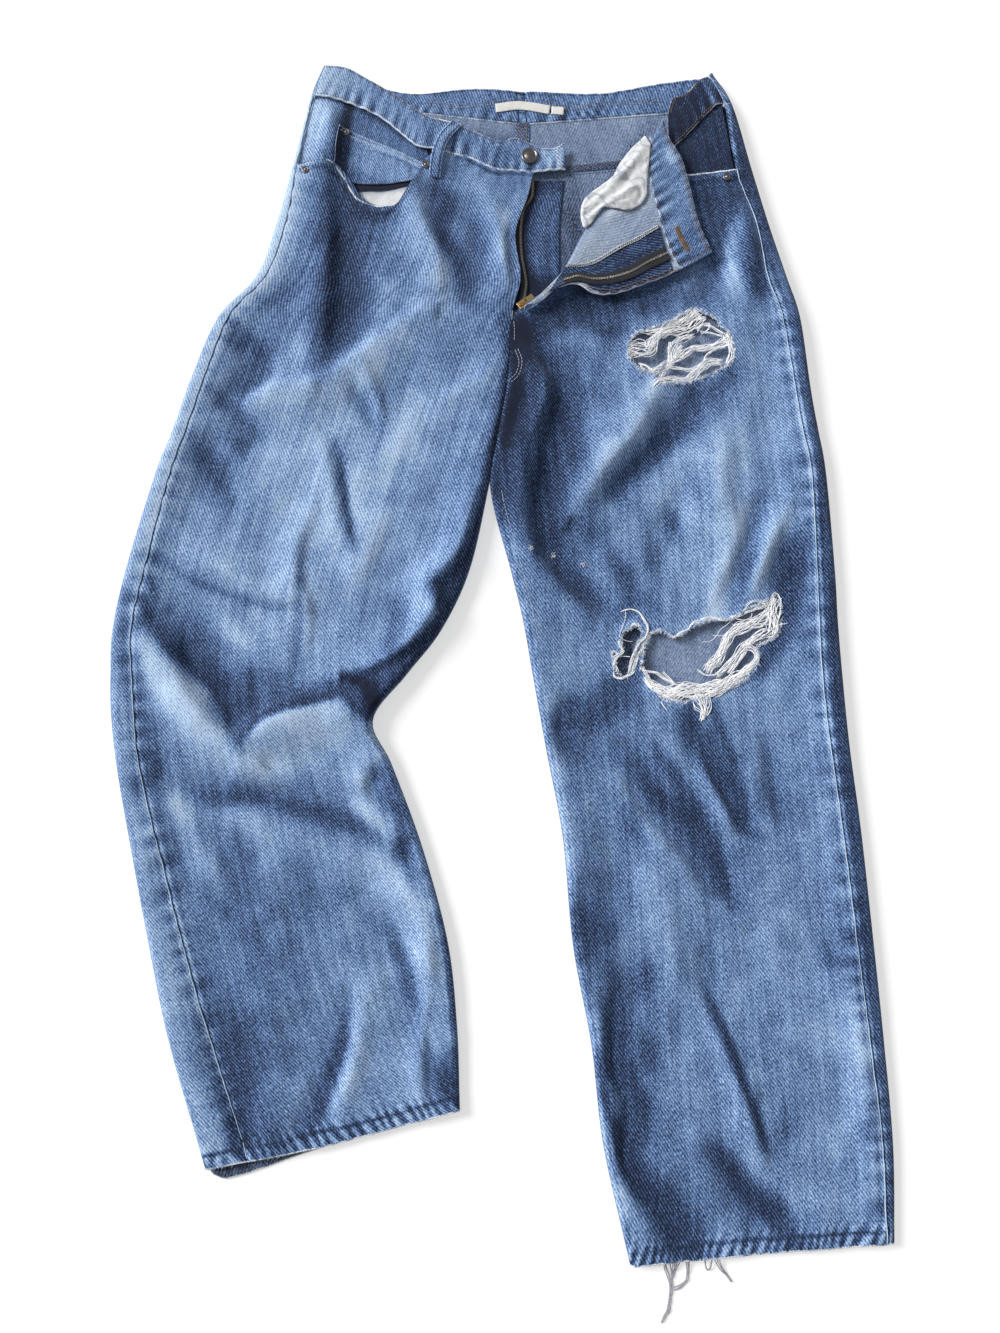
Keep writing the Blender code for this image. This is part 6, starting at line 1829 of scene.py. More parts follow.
def teeth(name, path, surface, size, pitch):
    """A row of small bevelled blocks along a path, each turned to lie across it."""
    line = smooth(path, pitch)
    step_to = np.gradient(line, axis=0)
    mesh = bmesh.new()
    for (x, y), (dx, dy) in zip(line, step_to):
        turn = Matrix.Rotation(math.atan2(dy, dx), 4, "Z")
        spot = Matrix.Translation((x, y, float(surface(np.array([x]), np.array([y]))[0])))
        bmesh.ops.create_cube(mesh, size=1.0, matrix=spot @ turn @ Matrix.Diagonal((*size, 1.0)))
    edges = [edge for edge in mesh.edges if abs(edge.verts[0].co.z - edge.verts[1].co.z) < 1e-6]
    upper = [edge for edge in edges if edge.calc_length() > 0.9 * size[1]]
    bmesh.ops.bevel(mesh, geom=upper, offset=0.00022, affect="EDGES", segments=1, profile=0.5, material=-1)
    return stands_for(object_of(name, mesh, tooth_brass), "brass")


TOOTH = (0.00085, 0.0022, 0.0011)  # along the zip, across it, high
TEETH_RIGHT = [(x + 0.0052, y) for x, y in FLY_EDGE]
teeth_right = teeth("zip_teeth_right", TEETH_RIGHT, lambda x, y: on_shield(x, y) + 0.0003, TOOTH, 0.0016)
teeth_left = teeth("zip_teeth_left", ZIP_LEFT, lambda x, y: on_facing(x, y) + 0.0003, TOOTH, 0.0016)
print("teeth faces:", len(teeth_right.data.polygons), len(teeth_left.data.polygons))

# %% [markdown]
# ## Torn holes
# The left leg is torn at the thigh and at the knee. A tear starts where the warp breaks: the blue
# yarns stand up along the rim as fuzz, and the white weft is left hanging across the hole. The
# front is first cut along each outline, on a mesh that is made finer there so that the rim is
# ragged and not a smooth curve.

# %% Cutting a hole into a panel
Hole = namedtuple("Hole", "name seed outline")
HOLES = [
    Hole("thigh hole", 201, mm(
        (139, 284), (146, 292), (158, 297), (170, 300), (183, 307), (195, 315), (207, 319), (213, 313),
        (223, 308), (229, 298), (236, 290), (240, 277), (239, 265), (232, 258), (222, 252), (210, 246),
        (199, 243), (183, 241), (169, 241), (160, 250), (149, 254), (141, 262), (137, 272),
    )),
    Hole("knee hole", 202, mm(
        (148, -14), (152, -9), (161, -5), (174, -11), (188, -5), (201, 2), (216, 5), (231, 7), (245, 15),
        (261, 22), (272, 29), (275, 15), (272, -8), (261, -14), (252, -21), (252, -33), (245, -45),
        (236, -53), (223, -58), (212, -65), (191, -70), (169, -71), (158, -64), (150, -52), (143.5, -41),
        (145.5, -28),
    )),
    Hole("knee slit", 203, mm(
        (129, -5), (137, -1), (144, -4), (144.5, -11), (140, -19), (136.5, -30), (134, -44), (127, -48),
        (120, -44), (118.5, -34), (125, -26), (126, -14),
    )),
]
RAGGED = 0.0012  # how far a rim wanders from its outline


def closed_line(outline, spacing=0.0006):
    """The outline as an evenly spaced closed line."""
    return even(along([*outline, outline[0]], np.linspace(0.0, 1.0, 60 * len(outline))), spacing)


def ragged(hole):
    """The outline of a hole with the small teeth and bays of a tear."""
    line = closed_line(hole.outline)
    x, y = line.T
    jitter = RAGGED * patchy(x, y, 0.0052, hole.seed) + 0.6 * RAGGED * patchy(x, y, 0.0021, hole.seed + 9)
    return line + sideways(line) * jitter[:, None]


def inside(line, x, y):
    """Whether points lie inside a closed line: a ray from each one crosses it an odd number of times."""
    count = np.zeros(np.shape(x), int)
    for (ax, ay), (bx, by) in zip(line, np.roll(line, -1, axis=0)):
        spans = (ay > y) != (by > y)
        if spans.any():
            count += spans & (x < ax + (y - ay) * (bx - ax) / (by - ay))
    return count % 2 == 1


def nearest(line, x, y, chunk=512):
    """Distance from each point to a densely spaced line, and the index of its nearest point."""
    far, index = np.empty(len(x)), np.empty(len(x), int)
    for start in range(0, len(x), chunk):
        part = slice(start, start + chunk)
        away = np.hypot(x[part, None] - line[:, 0], y[part, None] - line[:, 1])
        index[part] = away.argmin(axis=1)
        far[part] = away.min(axis=1)
    return far, index


def centres(faces):
    return np.array([face.calc_center_median()[:2] for face in faces])


def tear(obj, hole):
    """Cut a hole out of a panel's mesh, fray its rim and let the rim curl."""
    line = ragged(hole)
    mesh = bmesh.new()
    mesh.from_mesh(obj.data)
    box = np.concatenate([line.min(axis=0) - 0.02, line.max(axis=0) + 0.02])
    for reach in (0.0090, 0.0045):
        faces = list(mesh.faces)
        x, y = centres(faces).T
        near = np.flatnonzero((x > box[0]) & (x < box[2]) & (y > box[1]) & (y < box[3]))
        far, _ = nearest(line, x[near], y[near])
        edges = {edge for k in near[far < reach] for edge in faces[k].edges}
        bmesh.ops.subdivide_edges(mesh, edges=list(edges), cuts=1, use_grid_fill=True)
    faces = list(mesh.faces)
    x, y = centres(faces).T
    gone = [faces[k] for k in np.flatnonzero(inside(line, x, y))]
    bmesh.ops.delete(mesh, geom=gone, context="FACES")
    dye, wear = mesh.verts.layers.float["dye"], mesh.verts.layers.float["wear"]
    verts = [v for v in mesh.verts if box[0] < v.co.x < box[2] and box[1] < v.co.y < box[3]]
    x, y = np.array([v.co[:2] for v in verts]).T
    far, index = nearest(line, x, y)
    worn = np.clip(0.15 + 1.3 * patchy(x, y, 0.0024, hole.seed + 1), 0.0, 1.0)
    fuzz = bell(far, 0.0030) * worn
    curl = bell(far, 0.0060) * (0.0004 + 0.0014 * patchy(x, y, 0.013, hole.seed + 2))
    shade = 0.10 * bell(far, 0.008)
    for k, v in enumerate(verts):
        if v.is_boundary and far[k] < 0.0016:
            v.co.x, v.co.y = line[index[k]]
        v.co.z += curl[k]
        v[dye] += shade[k]
        v[wear] = max(v[wear], min(1.0, fuzz[k]))
    mesh.to_mesh(obj.data)
    mesh.free()
    print(hole.name, len(gone), "faces cut out")


for hole in HOLES:
    tear(front_left, hole)

# %% [markdown]
# ## Loose yarns
# A yarn is a curve with a round bevel, made a mesh when all yarns of one piece are laid. Torn weft
# keeps the wave that it had in the cloth, so yarns run side by side in loose bundles. A bundle is a
# given route, a width at even steps of it, and a number of strands that wander across that width
# and over one another.


# %% Yarns and bundles
def yarns(name, lines, radius, look, sides=4):
    """Round yarns along lines of points (count, 3), thinner at their ends, as one mesh."""
    curve = bpy.data.curves.new(name, "CURVE")
    curve.dimensions = "3D"
    curve.bevel_depth = 1.0
    curve.bevel_resolution = (sides - 4) // 2
    curve.use_fill_caps = True
    for line in lines:
        run = curve.splines.new("POLY")
        run.points.add(len(line) - 1)
        run.points.foreach_set("co", np.column_stack([line[:, :3], np.ones(len(line))]).ravel())
        thick = line[:, 3] if line.shape[1] > 3 else np.full(len(line), radius)
        run.points.foreach_set("radius", thick)
    holder = bpy.data.objects.new(name, curve)
    data = bpy.data.meshes.new_from_object(holder)
    bpy.data.objects.remove(holder)
    data.name = name
    data.materials.clear()
    data.materials.append(look)
    data.shade_smooth()
    return placed(name, data)


def yarn_look(name, light, dark):
    """Soft cotton yarn: fine fibres, and a little dirt in patches."""
    look = Look(name, 0.95, Sheen_Weight=0.2, Specular_IOR_Level=0.15)
    place = look.nodes.new("ShaderNodeTexCoord").outputs["Object"]
    fibre = look.stretched(place, (1900.0, 1900.0, 1900.0), 2.0)
    patch = look.stretched(place, (140.0, 140.0, 140.0), 2.0)
    tone = look.sum(look.times(fibre, 0.6), patch, 0.6)
    look.set(Base_Color=look.ramp(tone, [(0.36, dark), (0.72, light)]))
    look.bumps(fibre, 0.0002, 0.5)
    return look.made


weft_white = yarn_look("weft_yarn", (1.00, 1.00, 1.00), (0.82, 0.84, 0.90))
grey_yarn = yarn_look("hem_yarn", (0.50, 0.50, 0.54), (0.20, 0.20, 0.24))
warp_blue = yarn_look("warp_yarn", (0.72, 0.83, 0.98), (0.32, 0.45, 0.68))
Bundle = namedtuple("Bundle", "strands widths sag path")
# strands: how many yarns. widths: of the bundle at even steps of its path. sag: how far it hangs
# below the panel's face, from 0 at the face to 1 on the layer beneath.


def bundles(*rows):
    """Bundles from rows of strands, sag, widths and path, with lengths in millimetres."""
    return [
        Bundle(strands, [width / 1000.0 for width in widths], sag, mm(*path))
        for strands, sag, widths, *path in rows
    ]


THIGH_BUNDLES = bundles(
    (20, 0.16, (18, 17, 14, 9, 8, 9, 10, 9), (137, 273), (150, 274), (158, 274), (164, 282), (170, 291),
     (179, 300), (189, 306), (201, 313), (210, 318)),
    (8, 0.14, (4, 5, 6, 5), (141, 288), (148, 294), (156, 295), (166, 296), (174, 301)),
    (12, 0.25, (9, 10, 11, 12, 9), (168, 292), (176, 296), (185, 297), (195, 298), (206, 303), (216, 309)),
    (9, 0.14, (6, 8, 8, 6, 4, 6, 9), (204, 292), (189, 288), (183, 281), (181, 272), (179, 263),
     (173, 254), (167, 244), (160, 234)),
    (4, 0.09, (3, 3, 3), (179, 285), (178, 272), (177, 263), (173, 256)),
    (12, 0.14, (7, 9, 9, 8, 6, 7, 9), (156, 251), (161, 254), (169, 257), (178, 260), (186, 265),
     (195, 272), (202, 277), (211, 277), (222, 280), (237, 285)),
    (3, 0.09, (3, 2, 2), (208, 295), (220, 293), (232, 288)),
    (3, 0.09, (3, 2, 3), (206, 296), (212, 301), (221, 299), (232, 290)),
    (2, 0.05, (1, 2, 1), (206, 294), (211, 301), (218, 303), (217, 297), (210, 292)),
    (5, 0.18, (3, 4, 3, 2, 3), (175, 257), (189, 256), (201, 256), (211, 263), (214, 269), (218, 273),
     (226, 277), (236, 279)),
    (14, 0.07, (5, 7, 8, 8, 9, 6), (166, 243), (176, 245), (185, 245), (194, 246), (204, 252), (211, 258),
     (219, 261), (230, 261)),
    (8, 0.02, (5, 6, 6, 5), (233, 292), (236, 285), (238, 277), (238, 268), (233, 259)),
    (3, 0.05, (2, 3, 2), (147, 260), (155, 257), (162, 250)),
    (2, 0.05, (2, 2, 2), (148, 261), (152, 254), (160, 249)),
    (3, 0.18, (4, 5, 4), (184, 281), (191, 273), (189, 266)),
    (3, 0.18, (3, 4, 3), (192, 282), (185, 273), (182, 264)),
)
KNEE_BUNDLES = bundles(
    # the arch of loose yarn
    (3, -0.35, (1, 2, 3, 3, 3, 4), (125, 13), (135, 15), (142, 12), (147, 5), (150, -2), (149, -10),
     (143, -16), (138, -24), (134, -35), (132, -45)),
    (1, -0.35, (1, 1), (130, 14), (129, 5), (125, -5), (124, -11), (129, -15), (136, -16)),
    (3, -0.15, (2, 3, 3, 2, 2), (154, -9), (147, -16), (143, -24), (139, -33), (137, -40), (135, -45),
     (130, -48), (124, -50), (118, -47), (118, -39), (121, -35)),
    (1, 0.1, (1, 1), (120, -30), (127, -29), (135, -30)),
    (2, -0.2, (2, 3, 2, 3), (122, -13), (124, -20), (127, -25), (122, -29), (117, -31), (116, -26),
     (119, -25), (122, -29), (119, -35), (121, -41), (123, -47)),
    # twisted string
    (3, -0.05, (1, 1, 2, 1, 3, 2, 3, 3, 4), (147, -14), (153, -9), (161, -4), (167, -6), (174, -11),
     (181, -7), (188, -4), (193, 2), (201, 5), (210, 7), (218, 5), (226, 6), (235, 9), (244, 13),
     (251, 15), (263, 21)),
    (2, -0.3, (2, 2, 2), (244, 13), (243, 18), (248, 22), (255, 23), (261, 19), (256, 16), (248, 15)),
    (1, -0.2, (1, 1), (248, 13), (247, 8), (240, 5), (231, 7)),
    (1, 0.2, (1, 1), (199, -16), (208, -15), (214, -10), (218, -4), (226, 2), (232, 7), (241, 12)),
    (1, 0.3, (1, 1), (209, -9), (215, -10), (223, -9), (228, -6), (232, -2), (228, 3)),
    (2, -0.35, (3, 1, 1, 2, 3), (266, 24), (272, 32), (276, 26), (275, 14), (272, 3), (270, -7),
     (265, -12), (259, -10)),
    (13, -0.1, (8, 10, 12, 11, 7), (271, 28), (267, 20), (265, 10), (265, 0), (266, -10)),
    (20, 0.15, (14, 13, 12, 9, 8, 9, 9), (270, 15), (259, 8), (247, 2), (235, -5), (226, -10), (222, -19),
     (218, -28), (212, -36), (203, -45)),
    (10, 0.25, (9, 7, 6, 6, 6), (262, -4), (249, -12), (240, -21), (231, -31), (223, -39), (212, -50)),
    (6, 0.3, (5, 4, 3, 4), (251, -10), (244, -18), (239, -28), (233, -36), (224, -46)),
    (8, 0.05, (6, 5, 5, 6, 7), (238, -21), (244, -20), (250, -25), (251, -32), (244, -40), (233, -47),
     (221, -53), (208, -56)),
    (30, 0, (4, 9, 14, 15, 14, 13, 9, 5), (146, -49), (153, -57), (166, -63), (181, -63), (196, -61),
     (211, -59), (224, -54), (236, -47), (248, -36)),
    (5, 0, (3, 4, 5), (144, -40), (147, -47), (152, -54), (158, -62)),
    (3, 0.1, (2, 3, 2), (145, -43), (157, -45), (164, -50), (174, -56)),
    (2, 0.1, (2, 2, 1), (162, -43), (168, -49), (174, -56)),
    (9, -0.15, (8, 10, 8, 4), (192, -66), (197, -74), (200, -81), (197, -90)),
    (6, -0.1, (9, 10, 7), (203, -65), (204, -75), (200, -86)),
    (1, -0.35, (1, 1), (250, -16), (260, -9), (270, -1), (282, 2)),
    (1, -0.2, (1, 1), (160, -70), (163, -76), (167, -81)),
    (2, 0.1, (2, 1), (195, -42), (204, -47), (218, -46)),
)
YARN = 0.00038  # radius of one weft yarn
ON_LAYER = DENIM + SEAM + YARN  # axis of a yarn that lies on the back panel


def bundle_lines(bundle, half, seed):
    """The strands of one bundle, hung between the panel's face and the layer beneath it."""
    chance = np.random.default_rng(seed)
    length = length_of(bundle.path)
    at = np.linspace(0.0, 1.0, max(8, round(length / 0.0016)))
    line = along(bundle.path, at)
    across = sideways(line)
    width = np.interp(at, np.linspace(0.0, 1.0, len(bundle.widths)), bundle.widths)
    lines = []
    for k in range(bundle.strands):
        start, stop = chance.uniform(-0.02, 0.04), 1.0 - chance.uniform(-0.02, 0.04)
        lane = (k + chance.uniform(0.2, 0.8)) / bundle.strands - 0.5
        wave = 0.10 * np.sin(2.0 * math.pi * (at * length / 0.021 + chance.uniform()))
        own, common = (patchy(at * length, 0.0 * at + 7.0 * row, 0.016, seed + 1) for row in (k, 0))
        drift = 0.15 * own + 0.24 * common
        share = (0.92 * lane + (wave + drift) * min(1.0, 0.25 + 0.08 * bundle.strands)) * width
        spot = line + across * share[:, None]
        x, y = spot.T
        hang = bundle.sag * np.sin(math.pi * at) ** 0.7
        top, low = half.bed(x, y) + 0.2 * YARN, lift(y) + ON_LAYER
        pile = (0.5 * bundle.strands) ** 0.5 * YARN * (1.0 - (2.0 * lane) ** 2)
        over = 1.2 * YARN * np.sin(2.0 * math.pi * (at * length / 0.013 + chance.uniform()))
        height = np.maximum(top - hang * (top - low) + pile + over, low)
        tips = np.sqrt(np.clip(14.0 * (1.0 - np.abs(2.0 * at - 1.0)), 0.15, 1.0))
        radius = YARN * chance.uniform(0.75, 1.25) * tips
        keep = (at >= start) & (at <= stop)
        lines.append(np.column_stack([spot, height, radius])[keep])
    return lines


def lay_bundles(name, bundles, half, seed, *nodes):
    lines = [line for k, row in enumerate(bundles) for line in bundle_lines(row, half, seed + 10 * k)]
    return stands_for(yarns(name, lines, YARN, weft_white, 6), "white_cotton", *nodes)


thigh_weft = lay_bundles(
    "thigh_weft_yarns", THIGH_BUNDLES, LEFT, 300, "thigh_threads_upper", "thigh_threads_lower",
)
knee_weft = lay_bundles(
    "knee_weft_yarns", KNEE_BUNDLES, LEFT, 700,
    "knee_threads_right", "knee_threads_lower", "knee_threads_upper", "knee_threads_left",
)
for obj in (thigh_weft, knee_weft):
    print(obj.name, len(obj.data.polygons), "faces")

# %% [markdown]
# ## Fuzz along the rims
# Broken warp yarns untwist into short pale blue fibres that curl back over the cloth, and the ends
# of the weft stay as white loops that point into the hole. Each fibre starts a little way behind
# the rim and curls over it.


# %% Fuzz
def fibres(name, roots, headings, look, reach, radius, seed, surface):
    """Short curled fibres that start at the roots (x, y) and set out along the headings."""
    chance = np.random.default_rng(seed)
    count, steps = len(roots), np.linspace(0.0, 1.0, 5)
    angle = headings[:, None] + chance.normal(0.0, 1.1, count)[:, None] * steps
    long = reach * chance.uniform(0.4, 1.0, count)[:, None]
    x = roots[:, :1] + np.cumsum(np.cos(angle) * long / 5.0, axis=1)
    y = roots[:, 1:] + np.cumsum(np.sin(angle) * long / 5.0, axis=1)
    rise = 0.0006 + 0.0022 * chance.uniform(0.1, 1.0, count)[:, None] * np.sin(2.2 * steps)
    height = surface(roots[:, 0], roots[:, 1])[:, None] + rise
    thick = radius * (1.0 - 0.5 * steps) + 0.0 * x
    lines = list(np.dstack([x, y, height, thick]))
    return stands_for(yarns(name, lines, radius, look), "white_cotton")


def edge_fuzz(name, line, inner, look, per_metre, reach, radius, seed, surface):
    """Fibres along a line, which point to the side on which the spot inner lies."""
    chance = np.random.default_rng(seed)
    inward = -sideways(line)
    if ((np.asarray(inner) - line) * inward).sum() < 0.0:
        inward = -inward
    count = round(per_metre * length_of(line))
    clumps = 0.5 + patchy(np.arange(len(line)) * 0.001, np.zeros(len(line)), 0.006, seed)
    odds = np.clip(clumps, 0.05, 1.0)
    k = chance.choice(len(line), count, p=odds / odds.sum())
    roots = line[k] - inward[k] * chance.uniform(0.0004, 0.0022, count)[:, None]
    headings = np.arctan2(inward[k, 1], inward[k, 0]) + chance.normal(0.0, 0.6, count)
    return fibres(name, roots, headings, look, reach, radius, seed + 1, surface)


hole_fuzz = []
for hole in HOLES:
    word, line = hole.name.replace(" ", "_"), ragged(hole)
    middle = line.mean(axis=0)
    outside = 2.0 * line - middle
    for colour, look, seed, reach, to in (
        ("blue", warp_blue, 20, 0.0048, outside), ("white", weft_white, 30, 0.0044, middle),
    ):
        name = f"{word}_{colour}_fuzz"
        rim = (line, to, look, 1700.0, reach, 0.00017, hole.seed + seed, LEFT.bed)
        hole_fuzz.append(edge_fuzz(name, *rim))
print("fibres:", sum(len(obj.data.polygons) for obj in hole_fuzz), "faces")

# %% [markdown]
# ## Laying lines on finished cloth
# Stitches, seam tapes and threads lie on pieces that already exist. A ray is cast straight down on
# the finished meshes, modifiers included, and each point takes its height from what the ray meets.
# From below the same function serves the pieces on the underside.

# %% Lines on cloth
def tree_of(*pieces):
    """A search tree over the finished faces of these pieces."""
    mesh = bmesh.new()
    graph = bpy.context.evaluated_depsgraph_get()
    for piece in pieces:
        mesh.from_object(piece, graph)
    tree = BVHTree.FromBMesh(mesh)
    mesh.free()
    return tree


def lay(tree, line, rise=0.0, below=False):
    """The points (x, y) with the height of the highest face there, or of the lowest from below."""
    start, way = (-0.05, 1.0) if below else (0.10, -1.0)
    laid = []
    for x, y in line:
        spot = tree.ray_cast(Vector((x, y, start)), Vector((0.0, 0.0, way)))[0]
        if spot is not None:
            laid.append((x, y, spot.z + rise))
    return np.array(laid)


def beside(path, far):
    """A line that runs at the distance far from a path, on its left for a positive one."""
    line = smooth(path, 0.0020)
    return line + far * sideways(line)


# %% [markdown]
# ## Stitches
# A topstitch goes down into the cloth and comes up again, so what shows is a row of short arches
# with small gaps. Each arch is a yarn of four points. The threads have four colours: tan on the
# waistband, navy round the hip pockets, a pale washed one along the fly, the inseam and the coin
# pocket, and black on the inside of the seat.

# %% Rows of stitches
STITCH_PITCH = 0.0033
THREAD = 0.00027
tan_thread = yarn_look("tan_thread", (0.44, 0.29, 0.17), (0.24, 0.15, 0.08))
navy_thread = yarn_look("navy_thread", (0.050, 0.075, 0.14), (0.020, 0.032, 0.065))
pale_thread = yarn_look("pale_thread", (0.66, 0.70, 0.76), (0.40, 0.46, 0.56))
black_thread = yarn_look("black_thread", (0.030, 0.034, 0.045), (0.010, 0.012, 0.018))


def stitch_lines(tree, path, below=False):
    fine = smooth(path, STITCH_PITCH / 5.0)
    lines = []
    for start in range(0, len(fine) - 4, 5):
        arch = lay(tree, fine[[start, start + 1, start + 3, start + 4]], 0.0, below)
        if len(arch) == 4:
            arch[:, 2] += np.array([-0.0003, 0.00018, 0.00018, -0.0003]) * (-1.0 if below else 1.0)
            lines.append(arch)
    return lines


def sew(name, pieces, rows, look, below=False):
    """Rows of stitches on these pieces, as one mesh. A row is a path and its offsets."""
    tree = tree_of(*pieces)
    lines = []
    for path, offsets in rows:
        for far in offsets:
            lines += stitch_lines(tree, beside(path, far), below)
    thread = yarns(name, lines, THREAD, look)
    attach(thread, "garment")
    print(name, len(lines), "stitches")


def stretch_of(line, start, end):
    """The part of a line between two shares of its points."""
    return line[int(start * len(line)) : int(end * len(line))]


def hem_row(half, far):
    """The stitching line of a hem, on the cloth that sags past the straight line."""
    line = beside(half.hem_line, far)
    line[:, 1] -= hem_drop(half, line[:, 0], line[:, 1], 0.0)
    return line


CROTCH_SEAM = mm((27.2, 276), (31, 263.5), (28.1, 250.9), (21.5, 244))
CENTRE_SEAM = mm((26.2, 306), (26.8, 296), (26.5, 286))
POCKET_BAG_SEAM = mm((74.5, 426.5), (81.2, 427.5), (86.2, 423), (86.2, 405.3), (83.7, 380))
BACK_TOP = mm(
    (-60, 552.5), (-29, 550), (2, 553.5), (33, 556), (59, 554.8), (90, 548), (116, 553), (157, 555),
    (180, 558),
)
BACK_LOW = mm(
    (-60, 527), (-26, 527.5), (12, 529.5), (54, 527.5), (79, 526.5), (115, 533), (156, 534.5), (178, 536),
)
sew("waistband_right_stitches", [waistband_right], [
    (RIGHT_BAND_TOP, (-STITCH_IN,)), (RIGHT_BAND_LOW, (STITCH_IN,)),
    (mm((73.5, 474), (71.5, 485), (72, 496.5)), (0.0,)),
], tan_thread)
sew("front_right_stitches", [front_right], [
    (RIGHT_MOUTH, (-0.0022, -0.0070)), (hem_row(RIGHT, HEM_DEPTH - 0.0012), (0.0,)),
], navy_thread)
sew("front_left_stitches", [front_left], [
    (LEFT_MOUTH, (0.0022, 0.0070)), (hem_row(LEFT, 0.0012 - HEM_DEPTH), (0.0,)),
], navy_thread)
sew("front_left_pale_stitches", [front_left], [
    (CROTCH_SEAM, (0.0, 0.0030)), (CENTRE_SEAM, (0.0,)),
    (stretch_of(inseam(LEFT, 7.9, 0.0105), 0.02, 0.24), (0.0,)),
], pale_thread)
sew("waistband_back_stitches", [waistband_back], [
    (BACK_TOP, (0.0, -0.0035)), (BACK_LOW, (0.0, -0.0030)),
], tan_thread)
sew("waistband_left_stitches", [waistband_left], [
    (LEFT_BAND_TOP, (STITCH_IN,)), (LEFT_BAND_LOW, (-STITCH_IN,)),
], tan_thread)
sew("waistband_turned_back_stitches", [waistband_turned], [
    (TURN_BAND_TOP, (-STITCH_IN, -STITCH_IN - 0.0026)), (TURN_BAND_LOW, (STITCH_IN,)),
    (mm((192.5, 362), (206, 369), (219, 379)), (0.0,)),
], tan_thread)
sew("turned_back_edge_stitches", [turned_flap, fly_facing], [
    (TURN_EDGE[1:], (0.0024, 0.0048)),
], tan_thread)
sew("coin_pocket_stitches", [coin_pocket], [(COIN_EDGE, (-0.0020, -0.0052))], pale_thread)
sew("belt_loop_stitches", [belt_loop_front], [
    (mm((-31.5, 521.5), (-44.5, 503), (-51, 483), (-53.5, 462.5)), (-0.0038, 0.0038)),
    (mm((-37.2, 518.5), (-27.2, 523.5)), (0.0,)), (mm((-58.8, 465.5), (-48.2, 465.5)), (0.0,)),
], navy_thread)

# %% [markdown]
# ## Overlocked edges and seam tapes
# Where the inside shows, a cut edge is overlocked: one thread zigzags over it between two that run
# straight. The same three lines, closer together, make the buttonhole.

# %% Overlock
def overlock_lines(tree, path, width, pitch, rise=0.0002):
    """One zigzag line and two straight ones along a path."""
    left, right = beside(path, 0.5 * width), beside(path, -0.5 * width)
    count = max(4, 2 * round(length_of(left) / pitch))
    at = np.linspace(0.0, 1.0, count)
    near = [np.column_stack([np.interp(at, np.linspace(0, 1, len(side)), side[:, k]) for k in (0, 1)])
            for side in (left, right)]
    zigzag = np.where((np.arange(count) % 2 == 0)[:, None], near[0], near[1])
    return [lay(tree, zigzag, rise + 0.0002), lay(tree, left, rise), lay(tree, right, rise)]


def overlock(name, pieces, rows, look, radius=0.00030):
    tree = tree_of(*pieces)
    lines = [line for row in rows for line in overlock_lines(tree, *row)]
    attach(yarns(name, lines, radius, look), "garment")


seat_pieces = [
    bpy.data.objects[f"{part}_{side}_denim"] for side in ("left", "right") for part in ("back", "yoke")
]
overlock("fly_facing_overlock", [fly_facing, turned_flap], [
    (FLY_FACING_UPPER, 0.0034, 0.0022),
], weft_white)
overlock("fly_facing_overlock_dark", [fly_facing, turned_flap], [
    ([(x + 0.0010, y) for x, y in FLY_FACING_UPPER], 0.0034, 0.0022),
], black_thread)
CENTRE_STRIP = mm((35.8, 529), (35.5, 515), (35, 502))
YOKE_BAND = mm((79.7, 477), (114.4, 480.4), (147.1, 483.8))


def on_seat(x, y):
    return lift(y) + DENIM + 0.0012


centre_strip = strip("centre_back_seam_denim", mm((35.8, 530), (35.5, 515), (35, 500)), [0.0145], on_seat,
                     0.0007, BAND_LOOKS, -0.42, 0.25, -0.2)
yoke_band = strip("yoke_seam_denim", mm((76, 476.6), (114.4, 480.4), (150, 484.1)), [0.0085], on_seat,
                  0.0007, BAND_LOOKS, -0.35, 0.25, -0.2)
for piece in (centre_strip, yoke_band):
    stands_for(piece, "denim_inside")
overlock("seat_seam_overlock", [centre_strip, yoke_band], [
    (CENTRE_STRIP, 0.0088, 0.0032), (YOKE_BAND, 0.0052, 0.0026),
], tan_thread, 0.00026)
sew("seat_stitches", seat_pieces, [
    (POCKET_BAG_SEAM, (0.0, 0.0028)),
    (mm((79.7, 470), (114.4, 473.2), (147.1, 476.5)), (0.0,)),
], black_thread)
BUTTONHOLE = mm((188, 402.5), (193, 389), (199.2, 376.5))
overlock("buttonhole_thread", [waistband_turned], [
    (BUTTONHOLE, 0.0042, 0.0011), (BUTTONHOLE, 0.0016, 0.0011),
], tan_thread, 0.00030)

# %% [markdown]
# ## Button and rivets
# A shank button and a rivet are round, so each is a profile of radius and height, spun about its
# own axis. They are left plain.

# %% Round metal parts
def spun(name, profile, spot, look, slot, node, sides=44):
    mesh = bmesh.new()
    verts = [mesh.verts.new((radius, 0.0, height)) for radius, height in profile]
    edges = [mesh.edges.new(pair) for pair in zip(verts, verts[1:])]
    bmesh.ops.spin(mesh, geom=verts + edges, cent=(0, 0, 0), axis=(0, 0, 1), angle=2.0 * math.pi,
                   steps=sides, use_merge=True)
    bmesh.ops.remove_doubles(mesh, verts=list(mesh.verts), dist=1e-6)
    bmesh.ops.recalc_face_normals(mesh, faces=list(mesh.faces))
    bmesh.ops.translate(mesh, verts=list(mesh.verts), vec=Vector(spot))
    obj = object_of(name, mesh, look)
    obj.data.shade_smooth()
    return stands_for(obj, slot, node)


def standing_on(piece, x, y):
    return lay(tree_of(piece), [(x, y)], -0.0002)[0]


